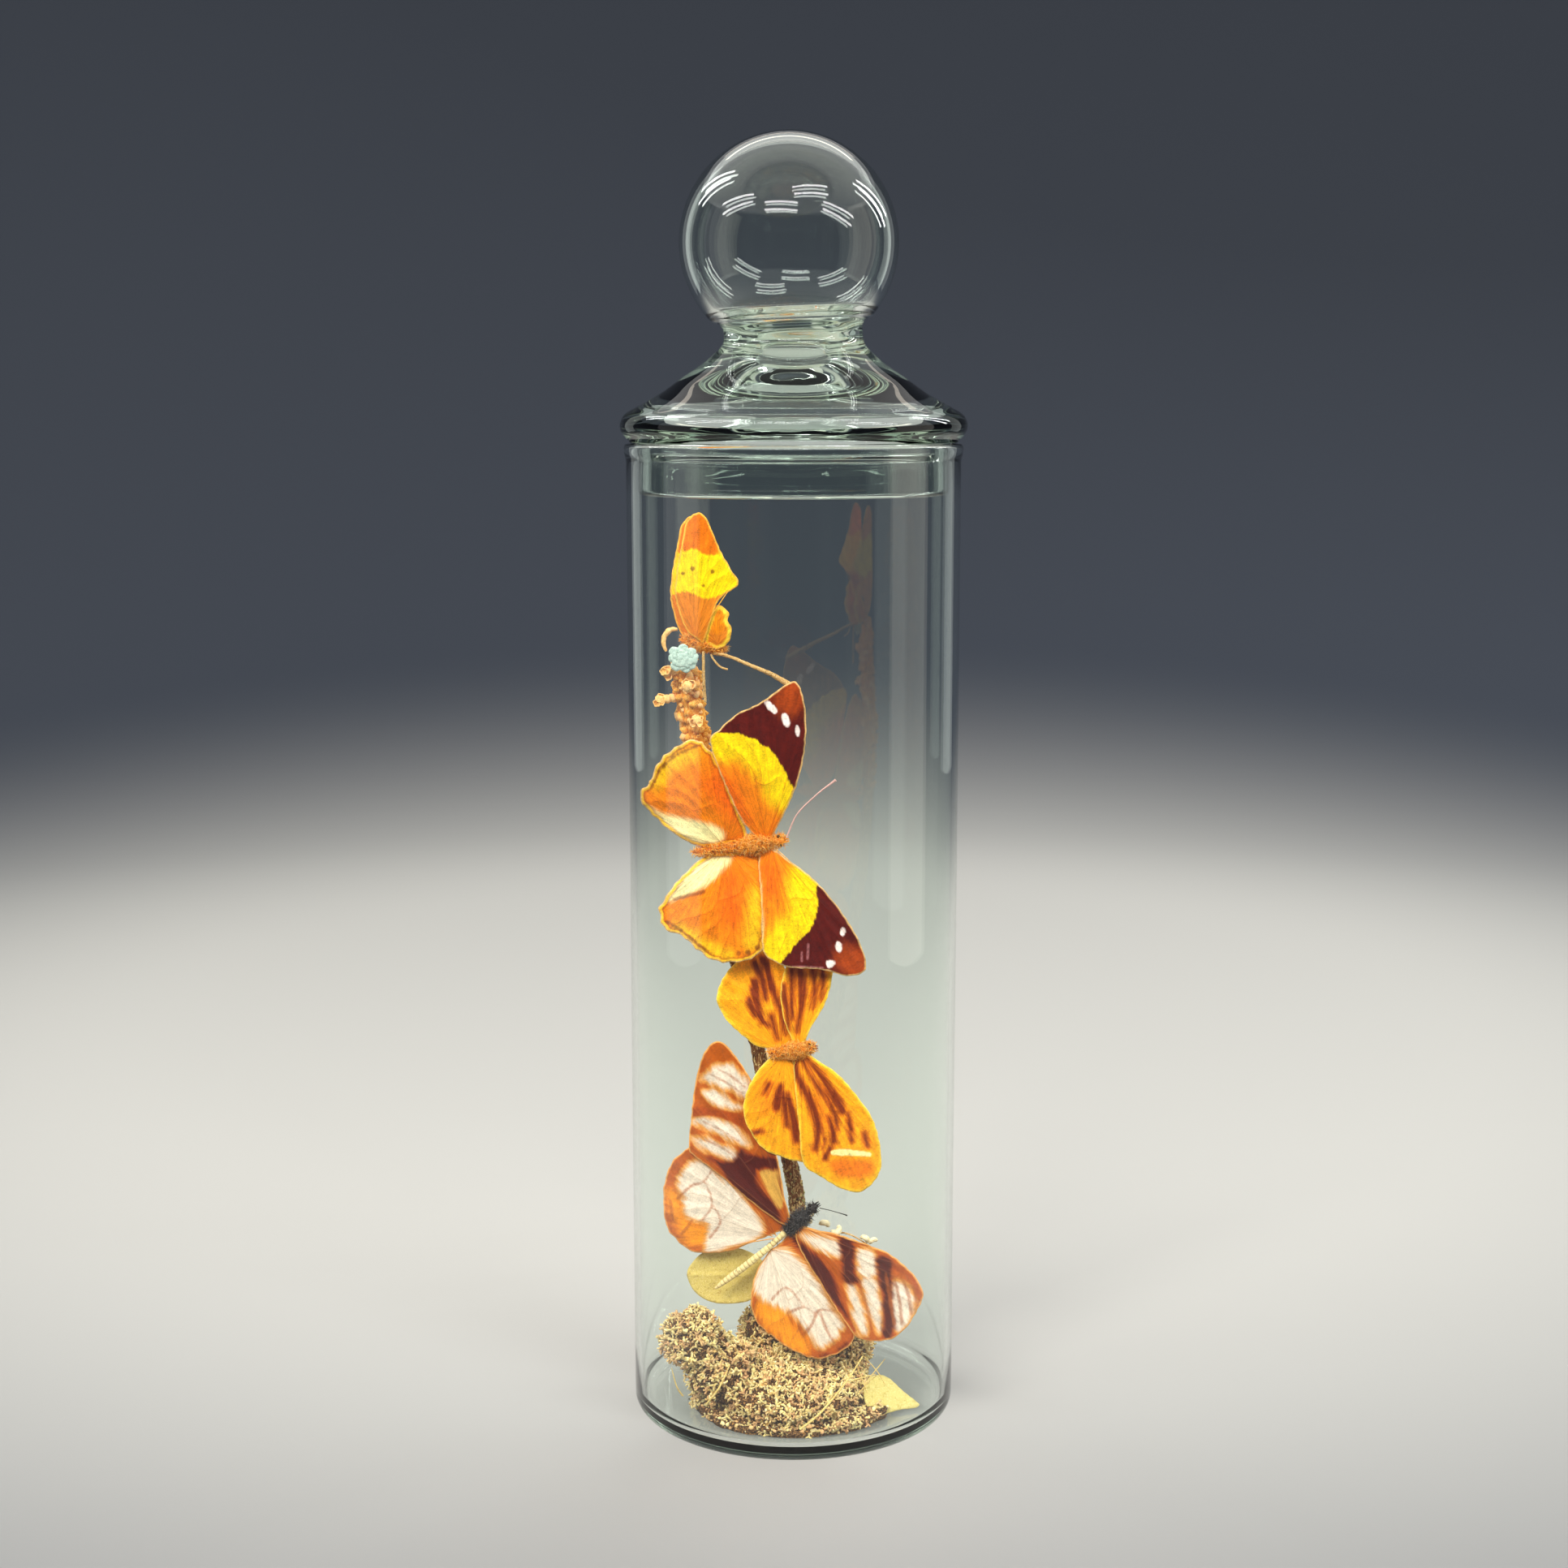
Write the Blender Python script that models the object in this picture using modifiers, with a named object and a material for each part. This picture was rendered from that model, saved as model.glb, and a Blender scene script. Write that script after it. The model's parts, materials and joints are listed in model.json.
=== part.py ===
"""A tall glass display jar with a hollow ball-topped lid. Inside stand a lichen-grown stick, dried moss,
leaves and four dried butterflies. Metres, +Z up, origin at the middle of the jar's foot."""

import math

import bmesh
import bpy
from mathutils import Matrix, Vector, noise

MM = 0.001
GAP = 0.3  # between two pieces that touch, mm

# Jar, mm.
TURN_STEPS = 36
JAR_RADIUS = 50.0
JAR_WALL = 2.0
JAR_HEIGHT = 300.4
JAR_FLOOR = 4.0
HEEL_RADIUS = 4.5
INNER_HEEL_RADIUS = 3.0
RIM_BEAD = 0.6  # how far the fire-polished rim stands out
BEAD_TOP = 1.2  # the bead's full width starts this far under the rim
BEAD_FOOT = 3.4  # and ends this far under it
BEAD_FADE = 4.6  # and is gone this far under it
RIM_ROUND = 0.7  # how far the rim's corners are eased

# Lid, mm. Heights are from the jar's foot.
SEAT_Z = JAR_HEIGHT + GAP
BALL_RADIUS = 32.5
BALL_WALL = 3.1
BALL_Z = 358.8
BALL_CUT_Z = 336.8
NECK_RADIUS = 20.6
NECK_EASE = 0.9  # how far the corner under the ball is eased
NECK_DROP = 2.4  # the neck starts this far under the ball
BORE_RADIUS = 11.0
HOLLOW_START = -38.0  # the ball's hollow is round from this angle up, degrees
HOLLOW_FUNNEL = ((BORE_RADIUS, 330.5), (11.6, 333.2), (13.4, 335.0), (16.6, 336.6), (20.4, 338.5))
SHOULDER = ((20.6, 331.0), (22.7, 327.9), (26.8, 324.1), (33.5, 319.5), (39.4, 315.3), (47.0, 311.0))
FLANGE = ((50.4, 308.9), (51.8, 306.2), (51.5, 303.8), (50.1, 302.0), (48.9, SEAT_Z))
PLUG_RADIUS = 46.6
PLUG_WALL = 3.2
PLUG_Z = 285.5
PLUG_EASE = 0.8  # how far the plug's corners are eased
SEAT_EASE = 1.5
UNDER_DOME = ((42.6, 303.0), (38.5, 307.0), (28.0, 311.5), (17.0, 315.2), (BORE_RADIUS, 320.5))

# Butterflies, mm. Each wing outline runs (along the body towards the head, outwards from the body).
WING_THICK = 0.5
WING_LIFT = 0.4  # a forewing lies this far over the wing plane and a hindwing this far under it
GOLDEN_LEFT_FORE = ((2.3, 2.5), (6.4, 2.6), (14.5, 14.5), (19.4, 26.1), (21.8, 38.6), (20.9, 48.2),
                    (17.2, 48.7), (9.0, 44.5), (0.7, 41.6), (-4.8, 37.8), (-7.9, 35.4), (-7.2, 28.5),
                    (-4.7, 17.8), (-1.9, 8.2))
GOLDEN_LEFT_HIND = ((-1.3, 3.1), (-3.4, 14.7), (-6.5, 28.2), (-12.1, 35.5), (-19.0, 34.1), (-24.9, 30.0),
                    (-28.8, 23.9), (-31.4, 22.5), (-32.0, 18.6), (-27.6, 12.1), (-21.6, 5.7), (-15.4, 2.4),
                    (-7.8, 2.3))
GOLDEN_RIGHT_FORE = ((4.2, 2.6), (6.8, 3.4), (15.1, 10.6), (21.1, 18.4), (26.5, 28.5), (29.2, 36.6),
                     (29.1, 42.7), (23.7, 43.9), (15.6, 40.8), (6.5, 38.9), (1.6, 36.2), (-1.1, 32.1),
                     (0.4, 17.7), (1.3, 5.2))
GOLDEN_RIGHT_HIND = ((-8.2, 2.3), (-14.6, 2.3), (-23.4, 7.2), (-29.6, 13.2), (-31.5, 16.2), (-30.3, 22.2),
                     (-25.8, 24.8), (-21.3, 29.9), (-17.0, 33.8), (-10.2, 35.5), (-4.8, 34.9), (-0.5, 31.4),
                     (2.8, 18.0), (2.5, 5.4), (-0.9, 2.6))
STRIPED_LEFT_FORE = ((0.5, 2.0), (2.6, 2.0), (7.2, 7.6), (11.8, 13.5), (15.1, 21.6), (16.8, 30.0),
                     (15.9, 38.0), (12.6, 39.5), (8.0, 36.1), (2.9, 29.2), (-1.4, 19.9), (-1.9, 9.9))
STRIPED_LEFT_HIND = ((-2.0, 2.0), (-11.0, 3.3), (-17.5, 9.3), (-20.8, 14.8), (-21.6, 19.5), (-19.4, 24.3),
                     (-15.6, 28.3), (-11.1, 31.2), (-4.9, 31.8), (-0.3, 28.1), (1.5, 19.5), (1.6, 9.3),
                     (-0.2, 2.3))
STRIPED_RIGHT_FORE = ((1.2, 2.0), (4.4, 2.9), (11.7, 8.5), (17.1, 16.6), (20.6, 23.7), (21.8, 31.2),
                      (21.2, 39.3), (17.6, 44.3), (12.8, 46.2), (7.5, 43.9), (2.6, 39.9), (-2.3, 34.9),
                      (-2.0, 24.3), (-1.6, 13.0), (-0.9, 4.2))
STRIPED_RIGHT_HIND = ((-2.6, 2.0), (-8.0, 2.3), (-13.7, 6.5), (-17.3, 12.3), (-18.4, 17.8), (-17.1, 23.0),
                      (-14.1, 28.6), (-8.3, 32.4), (-1.3, 34.9), (2.6, 32.7), (4.8, 24.1), (3.5, 12.5),
                      (1.1, 2.5))
WINDOW_LEFT_FORE = ((-1.1, 2.9), (2.7, 9.0), (6.9, 15.4), (13.9, 27.6), (17.2, 36.5), (19.3, 44.0),
                    (20.2, 53.3), (19.3, 57.6), (15.6, 58.5), (10.9, 56.9), (3.8, 52.1), (-4.0, 45.1),
                    (-10.1, 39.3), (-10.4, 35.9), (-8.3, 26.0), (-6.7, 14.5), (-4.2, 3.3))
WINDOW_LEFT_HIND = ((-4.1, 2.3), (-3.5, 12.6), (-3.6, 23.7), (-5.3, 33.3), (-8.6, 38.5), (-11.6, 39.8),
                    (-18.5, 39.5), (-25.9, 34.8), (-31.9, 26.9), (-32.6, 21.1), (-31.0, 14.4), (-22.3, 7.2),
                    (-13.4, 4.4), (-7.4, 2.6))
WINDOW_RIGHT_FORE = ((-1.6, 2.4), (0.1, 3.0), (5.7, 9.1), (10.8, 17.0), (15.5, 26.2), (16.6, 35.2),
                     (15.1, 41.0), (11.0, 43.6), (3.4, 45.8), (-2.8, 44.8), (-8.9, 39.1), (-8.8, 31.7),
                     (-7.1, 20.3), (-4.7, 6.1))
WINDOW_RIGHT_HIND = ((-8.5, 2.3), (-14.5, 2.2), (-22.7, 4.7), (-28.3, 9.7), (-30.3, 15.2), (-29.4, 21.4),
                     (-27.7, 28.0), (-24.0, 34.7), (-18.6, 37.8), (-11.8, 38.7), (-7.5, 34.6), (-4.2, 24.5),
                     (-2.7, 11.2), (-3.8, 2.8))
YELLOW_NEAR_FORE = ((0.7, 1.3), (5.4, 3.3), (9.5, 9.2), (11.2, 14.6), (11.9, 22.5), (12.0, 28.7),
                    (12.1, 33.7), (9.9, 37.4), (6.5, 36.7), (0.4, 28.4), (-3.9, 23.6), (-7.3, 19.6),
                    (-3.9, 15.5), (-2.3, 12.6), (-1.6, 6.7), (-0.8, 1.1))
YELLOW_NEAR_HIND = ((-0.8, 1.0), (-0.9, 7.6), (-2.4, 12.0), (-4.5, 11.5), (-6.6, 10.2), (-6.6, 7.9),
                    (-8.0, 6.2), (-8.5, 3.8), (-7.7, 1.6), (-5.8, 0.2), (-3.1, 0.2))
FAR_SHIFT = (1.6, -1.6)  # the yellow butterfly's far wings lie this much forward and lower, mm
NEAR_LIFTS = (1.2, 0.4)  # its near forewing and hindwing stand this far out from its middle
FAR_LIFTS = (-4.0, -3.2)  # and its far ones this far behind it
YELLOW_BODY_LIFT = -1.4

# Plants, mm. A route is (x, y, z) and the radius there.
BRANCH = ((3.8, 3.0, 22.0, 2.6), (2.2, 4.0, 47.5, 2.5), (0.4, 6.0, 69.0, 2.4), (-5.0, 8.0, 88.8, 2.3),
          (-10.3, 9.0, 108.3, 2.3), (-17.7, 10.5, 140.7, 2.4), (-23.6, 11.0, 169.2, 2.6),
          (-28.0, 10.0, 193.6, 3.4), (-30.3, 7.5, 211.6, 4.2), (-31.7, 5.5, 221.9, 4.4),
          (-33.3, 4.5, 232.1, 4.0), (-33.6, 4.2, 238.5, 2.6))
SIDE_TWIG = ((-24.6, 3.0, 237.4, 0.5), (-19.2, 1.6, 236.2, 0.5), (-13.0, 0.5, 233.7, 0.55),
             (-6.8, 0.0, 231.1, 0.7), (-1.7, 0.5, 228.1, 0.9), (1.8, 2.0, 226.0, 0.8))
FORK_TWIG = ((-25.0, -0.6, 237.2, 0.25), (-24.0, -0.8, 235.4, 0.3), (-22.1, -0.8, 233.4, 0.3),
             (-19.9, -0.8, 232.6, 0.3))
STEM = ((-27.2, -1.6, 238.2, 0.45), (-27.2, -1.8, 231.3, 0.45), (-26.8, -1.4, 222.8, 0.45))
BARK_CURL = ((-38.7, 0.5, 238.0, 0.5), (-39.4, 0.6, 241.6, 0.8), (-37.8, 1.0, 244.2, 0.9),
             (-35.2, 1.2, 244.6, 0.5))
SPRIG = ((11.0, 1.5, 34.0, 0.35), (13.0, -1.0, 46.0, 0.35), (13.4, -3.4, 55.0, 0.3),
         (17.5, -5.4, 56.2, 0.25), (24.0, -7.4, 53.0, 0.2))
SEEDS = ((6.0, -4.0, 60.9, 1.3), (9.6, -4.6, 58.6, 1.2), (13.0, -6.0, 58.2, 1.3), (21.9, -8.4, 55.2, 1.1),
         (25.0, -8.8, 54.7, 1.0))
ORANGE_CUPS = ((-38.7, 0.4, 231.4, 2.4), (-40.8, 1.4, 223.0, 2.3), (-32.0, -1.4, 227.6, 2.5),
               (-29.4, 0.4, 216.8, 2.2))
CUP_DEPTH = 0.7  # of a cup's radius
ROSETTE_AT = (-33.1, -3.4, 236.3)
ROSETTE_RADII = (4.7, 1.5, 4.5)
# Moss lumps: centre and radii.
MOSS_LUMPS = (((-1.5, -9.0, 10.5), (27.0, 33.0, 10.5)), ((-31.0, -19.5, 28.5), (11.5, 10.0, 10.5)),
              ((16.5, 3.0, 19.0), (11.0, 14.0, 10.0)), ((0.0, -14.0, 3.5), (35.0, 30.0, 3.4)),
              ((-2.0, 5.0, 22.0), (17.0, 14.0, 11.0)), ((-22.0, -17.0, 17.0), (13.0, 14.0, 11.5)))
MOSS_ROUGH = 1.4
MOSS_NOISE_SCALE = 0.13  # per mm
MOSS_CLEAR = 2.1  # from the moss to the jar's wall, as its rounded inner corner needs
MOSS_BASE = JAR_FLOOR + GAP
MOSS_ROOM_HEIGHT = 60.0
SOCKET_REACH = 60.0
ROUND_LEAF_AT = (-20.4, -6.0, 43.0)
ROUND_LEAF_SIZE = (26.0, 18.5)
ROUND_LEAF_UP = (0.0, 0.13, 1.0)
ROUND_LEAF_LONG = (0.9, 0.0, 0.44)
POINTED_LEAF = ((-1.5, -5.5), (-1.5, 5.5), (0.8, 7.2), (6.5, 3.6), (11.5, 0.0), (6.5, -3.6), (0.8, -7.2))
POINTED_LEAF_AT = (28.5, -18.5, 10.4)
POINTED_LEAF_LONG = (0.931, -0.043, -0.364)
POINTED_LEAF_SIDE = (0.21, 0.86, 0.47)
LEAF_THICK = 0.6

# Colour, roughness.
GLASS = ((0.86, 0.93, 0.88), 0.03)
GOLDEN_WING = ((0.86, 0.38, 0.03), 0.6)
STRIPED_WING = ((0.88, 0.42, 0.03), 0.6)
WINDOW_WING = ((0.75, 0.55, 0.38), 0.45)
YELLOW_WING = ((0.92, 0.62, 0.02), 0.6)
CHITIN = ((0.25, 0.12, 0.05), 0.5)
BARK = ((0.32, 0.22, 0.11), 0.9)
MOSS = ((0.50, 0.42, 0.20), 0.95)
DRY_LEAF = ((0.72, 0.62, 0.28), 0.8)
BLUE_LICHEN = ((0.50, 0.66, 0.60), 0.9)
ORANGE_LICHEN = ((0.72, 0.42, 0.20), 0.9)
SEED = ((0.85, 0.80, 0.66), 0.5)


def clear_scene():
    for old in list(bpy.data.objects):
        bpy.data.objects.remove(old, do_unlink=True)


def collection_of(name):
    collection = bpy.data.collections.new(name)
    bpy.context.scene.collection.children.link(collection)
    return collection


def material_of(name, finish):
    colour, roughness = finish
    material = bpy.data.materials.new(name)
    material.use_nodes = True
    shader = material.node_tree.nodes["Principled BSDF"]
    shader.inputs["Base Color"].default_value = (*colour, 1.0)
    shader.inputs["Roughness"].default_value = roughness
    shader.inputs["Metallic"].default_value = 0.0
    if finish is GLASS:
        shader.inputs["Transmission Weight"].default_value = 1.0
        shader.inputs["IOR"].default_value = 1.5
    return material


def new_object(name, data, material, collection):
    obj = bpy.data.objects.new(name, data)
    data.materials.append(material)
    collection.objects.link(obj)
    return obj


def arc(centre, radii, start, end, steps):
    """Points in the (radius, height) plane from one angle to another, in degrees."""
    angles = [math.radians(start + (end - start) * i / steps) for i in range(steps + 1)]
    return [(centre[0] + radii[0] * math.cos(a), centre[1] + radii[1] * math.sin(a)) for a in angles]


def turned(name, profile, material, collection):
    """A round piece from a profile in mm with both ends on the axis and its solid on the right of its way."""
    mesh = bpy.data.meshes.new(name)
    points = [(radius * MM, 0.0, height * MM) for radius, height in profile]
    mesh.from_pydata(points, [(i, i + 1) for i in range(len(points) - 1)], [])
    obj = new_object(name, mesh, material, collection)
    screw = obj.modifiers.new("turn", "SCREW")
    screw.steps = TURN_STEPS
    screw.render_steps = TURN_STEPS
    screw.use_merge_vertices = True
    screw.merge_threshold = 0.00001
    return obj


def jar_profile():
    """Out over the jar's floor, up its inside, over the rim, down its outside and in under its foot."""
    inner = JAR_RADIUS - JAR_WALL
    bead = JAR_RADIUS + RIM_BEAD
    corner = INNER_HEEL_RADIUS
    inside = arc((inner - corner, JAR_FLOOR + corner), (corner, corner), -90, 0, 3)
    rim = [(inner, JAR_HEIGHT - RIM_ROUND), (inner + RIM_ROUND, JAR_HEIGHT), (bead - RIM_BEAD, JAR_HEIGHT)]
    side = [(bead, JAR_HEIGHT - BEAD_TOP), (bead, JAR_HEIGHT - BEAD_FOOT), (JAR_RADIUS, JAR_HEIGHT - BEAD_FADE)]
    heel = arc((JAR_RADIUS - HEEL_RADIUS, HEEL_RADIUS), (HEEL_RADIUS, HEEL_RADIUS), 0, -90, 4)
    return [(0.0, JAR_FLOOR)] + inside + rim + side + heel + [(0.0, 0.0)]


def lid_profile():
    """Down the lid's outside from the top of its ball, and up its inside to the top of the hollow."""
    cut_angle = math.degrees(math.asin((BALL_CUT_Z - BALL_Z) / BALL_RADIUS))
    ball_side = arc((0.0, BALL_Z), (BALL_RADIUS, BALL_RADIUS), 90, cut_angle, 9)[1:]
    neck = [(NECK_RADIUS + NECK_EASE, BALL_CUT_Z - NECK_EASE), (NECK_RADIUS, BALL_CUT_Z - NECK_DROP)]
    bore = PLUG_RADIUS - PLUG_WALL
    plug = [(PLUG_RADIUS + PLUG_EASE, SEAT_Z), (PLUG_RADIUS, SEAT_Z - SEAT_EASE),
            (PLUG_RADIUS, PLUG_Z + PLUG_EASE), (PLUG_RADIUS - PLUG_EASE, PLUG_Z),
            (bore + PLUG_EASE, PLUG_Z), (bore, PLUG_Z + PLUG_EASE)]
    hollow = BALL_RADIUS - BALL_WALL
    hollow_side = arc((0.0, BALL_Z), (hollow, hollow), HOLLOW_START, 90, 9)[:-1]
    outside = [(0.0, BALL_Z + BALL_RADIUS)] + ball_side + neck + list(SHOULDER) + list(FLANGE) + plug
    return outside + list(UNDER_DOME) + list(HOLLOW_FUNNEL) + hollow_side + [(0.0, BALL_Z + hollow)]


def tube(name, route, material, collection, sides=2, place=None):
    """A round tube along (x, y, z, radius) points in mm, with filled ends."""
    curve = bpy.data.curves.new(name, "CURVE")
    curve.dimensions = "3D"
    curve.bevel_depth = MM
    curve.bevel_resolution = sides
    curve.use_fill_caps = True
    spline = curve.splines.new("POLY")
    spline.points.add(len(route) - 1)
    for point, (x, y, z, radius) in zip(spline.points, route):
        point.co = (x * MM, y * MM, z * MM, 1.0)
        point.radius = radius
    obj = new_object(name, curve, material, collection)
    if place is not None:
        obj.matrix_world = place
    return obj


def flat(name, outline, thickness, material, collection, place):
    """A flat plate from an outline in mm, lying across the placing matrix's third axis."""
    curve = bpy.data.curves.new(name, "CURVE")
    curve.dimensions = "2D"
    curve.fill_mode = "BOTH"
    curve.extrude = thickness * MM / 2
    spline = curve.splines.new("POLY")
    spline.points.add(len(outline) - 1)
    for point, (u, v) in zip(spline.points, outline):
        point.co = (u * MM, v * MM, 0.0, 1.0)
    spline.use_cyclic_u = True
    obj = new_object(name, curve, material, collection)
    obj.matrix_world = place
    return obj


def placing(first, second, origin):
    """The matrix whose first two axes are given, at a point in mm."""
    third = first.cross(second)
    matrix = Matrix((first, second, third)).transposed().to_4x4()
    matrix.translation = Vector(origin) * MM
    return matrix


def squared(direction, other):
    """The direction made square to another that is a unit long, and that other."""
    direction = Vector(direction)
    return (direction - other * direction.dot(other)).normalized(), other


class Butterfly:
    """A dried butterfly whose back faces -Y and whose body runs in an upright plane."""

    def __init__(self, name, thorax, heading, wing_material, body_material, collection):
        angle = math.radians(heading)
        self.name = name
        self.thorax = Vector(thorax)
        self.along = Vector((math.cos(angle), 0.0, math.sin(angle)))
        self.across = Vector((-math.sin(angle), 0.0, math.cos(angle)))
        self.back = Vector((0.0, -1.0, 0.0))
        self.wing_material = wing_material
        self.body_material = body_material
        self.collection = collection

    def wing(self, part, outline, side, tilt, lift):
        """side is 1 for the left wing and -1 for the right; tilt raises its tip, in degrees."""
        rise = math.radians(tilt)
        out = side * math.cos(rise) * self.across + math.sin(rise) * self.back
        normal = -side * math.sin(rise) * self.across + math.cos(rise) * self.back
        place = placing(self.along, out, self.thorax + lift * normal)
        flat(f"{self.name}_{part}", outline, WING_THICK, self.wing_material, self.collection, place)

    def body(self, route, lift=0.0):
        place = placing(self.along, self.across, self.thorax + lift * self.back)
        tube(f"{self.name}_body", route, self.body_material, self.collection, 2, place)


def make_golden(materials, collection):
    golden = Butterfly("golden_butterfly", (-12.6, 1.0, 178.5), 7.9, materials["golden"],
                       materials["chitin"], collection)
    golden.wing("left_forewing", GOLDEN_LEFT_FORE, 1, 8, WING_LIFT)
    golden.wing("left_hindwing", GOLDEN_LEFT_HIND, 1, 8, -WING_LIFT)
    golden.wing("right_forewing", GOLDEN_RIGHT_FORE, -1, 8, WING_LIFT)
    golden.wing("right_hindwing", GOLDEN_RIGHT_HIND, -1, 8, -WING_LIFT)
    golden.body(((-18.5, 0.0, -0.4, 0.4), (-16.0, 0.0, -0.2, 1.1), (-11.0, 0.0, 0.0, 1.6),
                 (-6.0, 0.0, 0.0, 1.5), (-3.6, 0.0, 0.0, 1.3), (-1.5, 0.0, 0.0, 2.0), (2.0, 0.0, 0.0, 2.1),
                 (5.0, 0.0, 0.0, 1.7), (6.4, 0.0, 0.0, 0.9), (8.3, 0.0, 0.0, 1.3), (9.9, 0.0, 0.0, 0.8)))


def make_striped(materials, collection):
    striped = Butterfly("striped_butterfly", (0.4, -3.0, 114.7), 8.4, materials["striped"],
                        materials["chitin"], collection)
    striped.wing("left_forewing", STRIPED_LEFT_FORE, 1, -12, WING_LIFT)
    striped.wing("left_hindwing", STRIPED_LEFT_HIND, 1, -12, -WING_LIFT)
    striped.wing("right_forewing", STRIPED_RIGHT_FORE, -1, 9, WING_LIFT)
    striped.wing("right_hindwing", STRIPED_RIGHT_HIND, -1, 9, -WING_LIFT)
    striped.body(((-8.0, 0.0, 0.0, 0.5), (-5.5, 0.0, 0.0, 1.0), (-2.6, 0.0, 0.0, 1.0), (-1.2, 0.0, 0.0, 1.4),
                  (1.6, 0.0, 0.0, 1.5), (3.2, 0.0, 0.0, 1.0), (4.6, 0.0, 0.0, 1.2), (5.8, 0.0, 0.0, 0.7)))


def make_window(materials, collection):
    window = Butterfly("window_butterfly", (1.4, -10.0, 62.0), 43.2, materials["window"],
                       materials["chitin"], collection)
    window.wing("left_forewing", WINDOW_LEFT_FORE, 1, -12, WING_LIFT)
    window.wing("left_hindwing", WINDOW_LEFT_HIND, 1, -12, -WING_LIFT)
    window.wing("right_forewing", WINDOW_RIGHT_FORE, -1, 18, WING_LIFT)
    window.wing("right_hindwing", WINDOW_RIGHT_HIND, -1, 18, -WING_LIFT)
    window.body(((-33.5, 1.6, 0.0, 0.35), (-30.0, 1.4, 0.3, 0.9), (-24.0, 0.9, 0.6, 1.1),
                 (-16.0, 0.3, 0.6, 1.1), (-9.0, 0.0, 0.2, 0.9), (-5.0, 0.0, 0.0, 1.2), (-2.0, 0.0, 0.0, 1.9),
                 (1.8, 0.0, 0.0, 2.0), (4.2, 0.0, 0.0, 1.1), (6.0, 0.0, 0.0, 1.5), (7.6, 0.0, 0.0, 0.9)))


def make_yellow(materials, collection):
    yellow = Butterfly("yellow_butterfly", (-28.0, 2.0, 241.1), 167.2, materials["yellow"],
                       materials["chitin"], collection)
    far_fore = [(u + FAR_SHIFT[0], v + FAR_SHIFT[1]) for u, v in YELLOW_NEAR_FORE]
    far_hind = [(u + FAR_SHIFT[0], v + FAR_SHIFT[1]) for u, v in YELLOW_NEAR_HIND]
    yellow.wing("left_forewing", YELLOW_NEAR_FORE, -1, 3, NEAR_LIFTS[0])
    yellow.wing("left_hindwing", YELLOW_NEAR_HIND, -1, 3, NEAR_LIFTS[1])
    yellow.wing("right_hindwing", far_hind, -1, -1, FAR_LIFTS[1])
    yellow.wing("right_forewing", far_fore, -1, -1, FAR_LIFTS[0])
    yellow.body(((-7.5, 1.0, 0.0, 0.4), (-5.0, 1.2, 0.0, 0.9), (-2.5, 1.2, 0.0, 0.9), (-1.2, 1.1, 0.0, 1.1),
                 (1.4, 1.1, 0.0, 1.2), (2.8, 0.9, 0.0, 0.8), (4.2, 0.8, 0.0, 1.0), (5.4, 0.6, 0.0, 0.6)),
                YELLOW_BODY_LIFT)


def make_antennae(materials, collection):
    tube("golden_butterfly_antenna", ((-2.0, -1.2, 181.2, 0.18), (1.1, -2.0, 188.4, 0.15),
                                      (7.0, -3.0, 194.6, 0.15), (11.4, -3.8, 198.2, 0.2),
                                      (12.8, -4.1, 199.3, 0.35)), materials["chitin"], collection, 1)
    tube("window_butterfly_antenna", ((8.2, -11.0, 66.6, 0.15), (11.4, -12.0, 66.2, 0.12),
                                      (15.2, -13.0, 65.4, 0.15), (16.6, -13.2, 65.0, 0.25)),
         materials["chitin"], collection, 1)


def lump(name, centre, radii, material, collection, rough, seed):
    """A squashed ball whose surface is pushed in and out by a smooth noise, all in mm."""
    form = bmesh.new()
    bmesh.ops.create_icosphere(form, subdivisions=2, radius=1.0)
    for vert in form.verts:
        point = Vector(centre) + Vector([r * c for r, c in zip(radii, vert.co)])
        push = rough * noise.noise(point * MOSS_NOISE_SCALE + Vector((seed, 0.0, 0.0)))
        vert.co = (point + vert.co.normalized() * push) * MM
    mesh = bpy.data.meshes.new(name)
    form.to_mesh(mesh)
    form.free()
    return new_object(name, mesh, material, collection)


def cut(target, operation, cutter):
    boolean = target.modifiers.new(operation.lower(), "BOOLEAN")
    boolean.operation = operation
    boolean.object = cutter
    cutter.hide_render = True
    cutter.display_type = "WIRE"


def primitive(name, collection, matrix, **size):
    """A plain cylinder or cone as a cutter."""
    form = bmesh.new()
    bmesh.ops.create_cone(form, cap_ends=True, matrix=matrix, **size)
    mesh = bpy.data.meshes.new(name)
    form.to_mesh(mesh)
    form.free()
    obj = bpy.data.objects.new(name, mesh)
    collection.objects.link(obj)
    return obj


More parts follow.
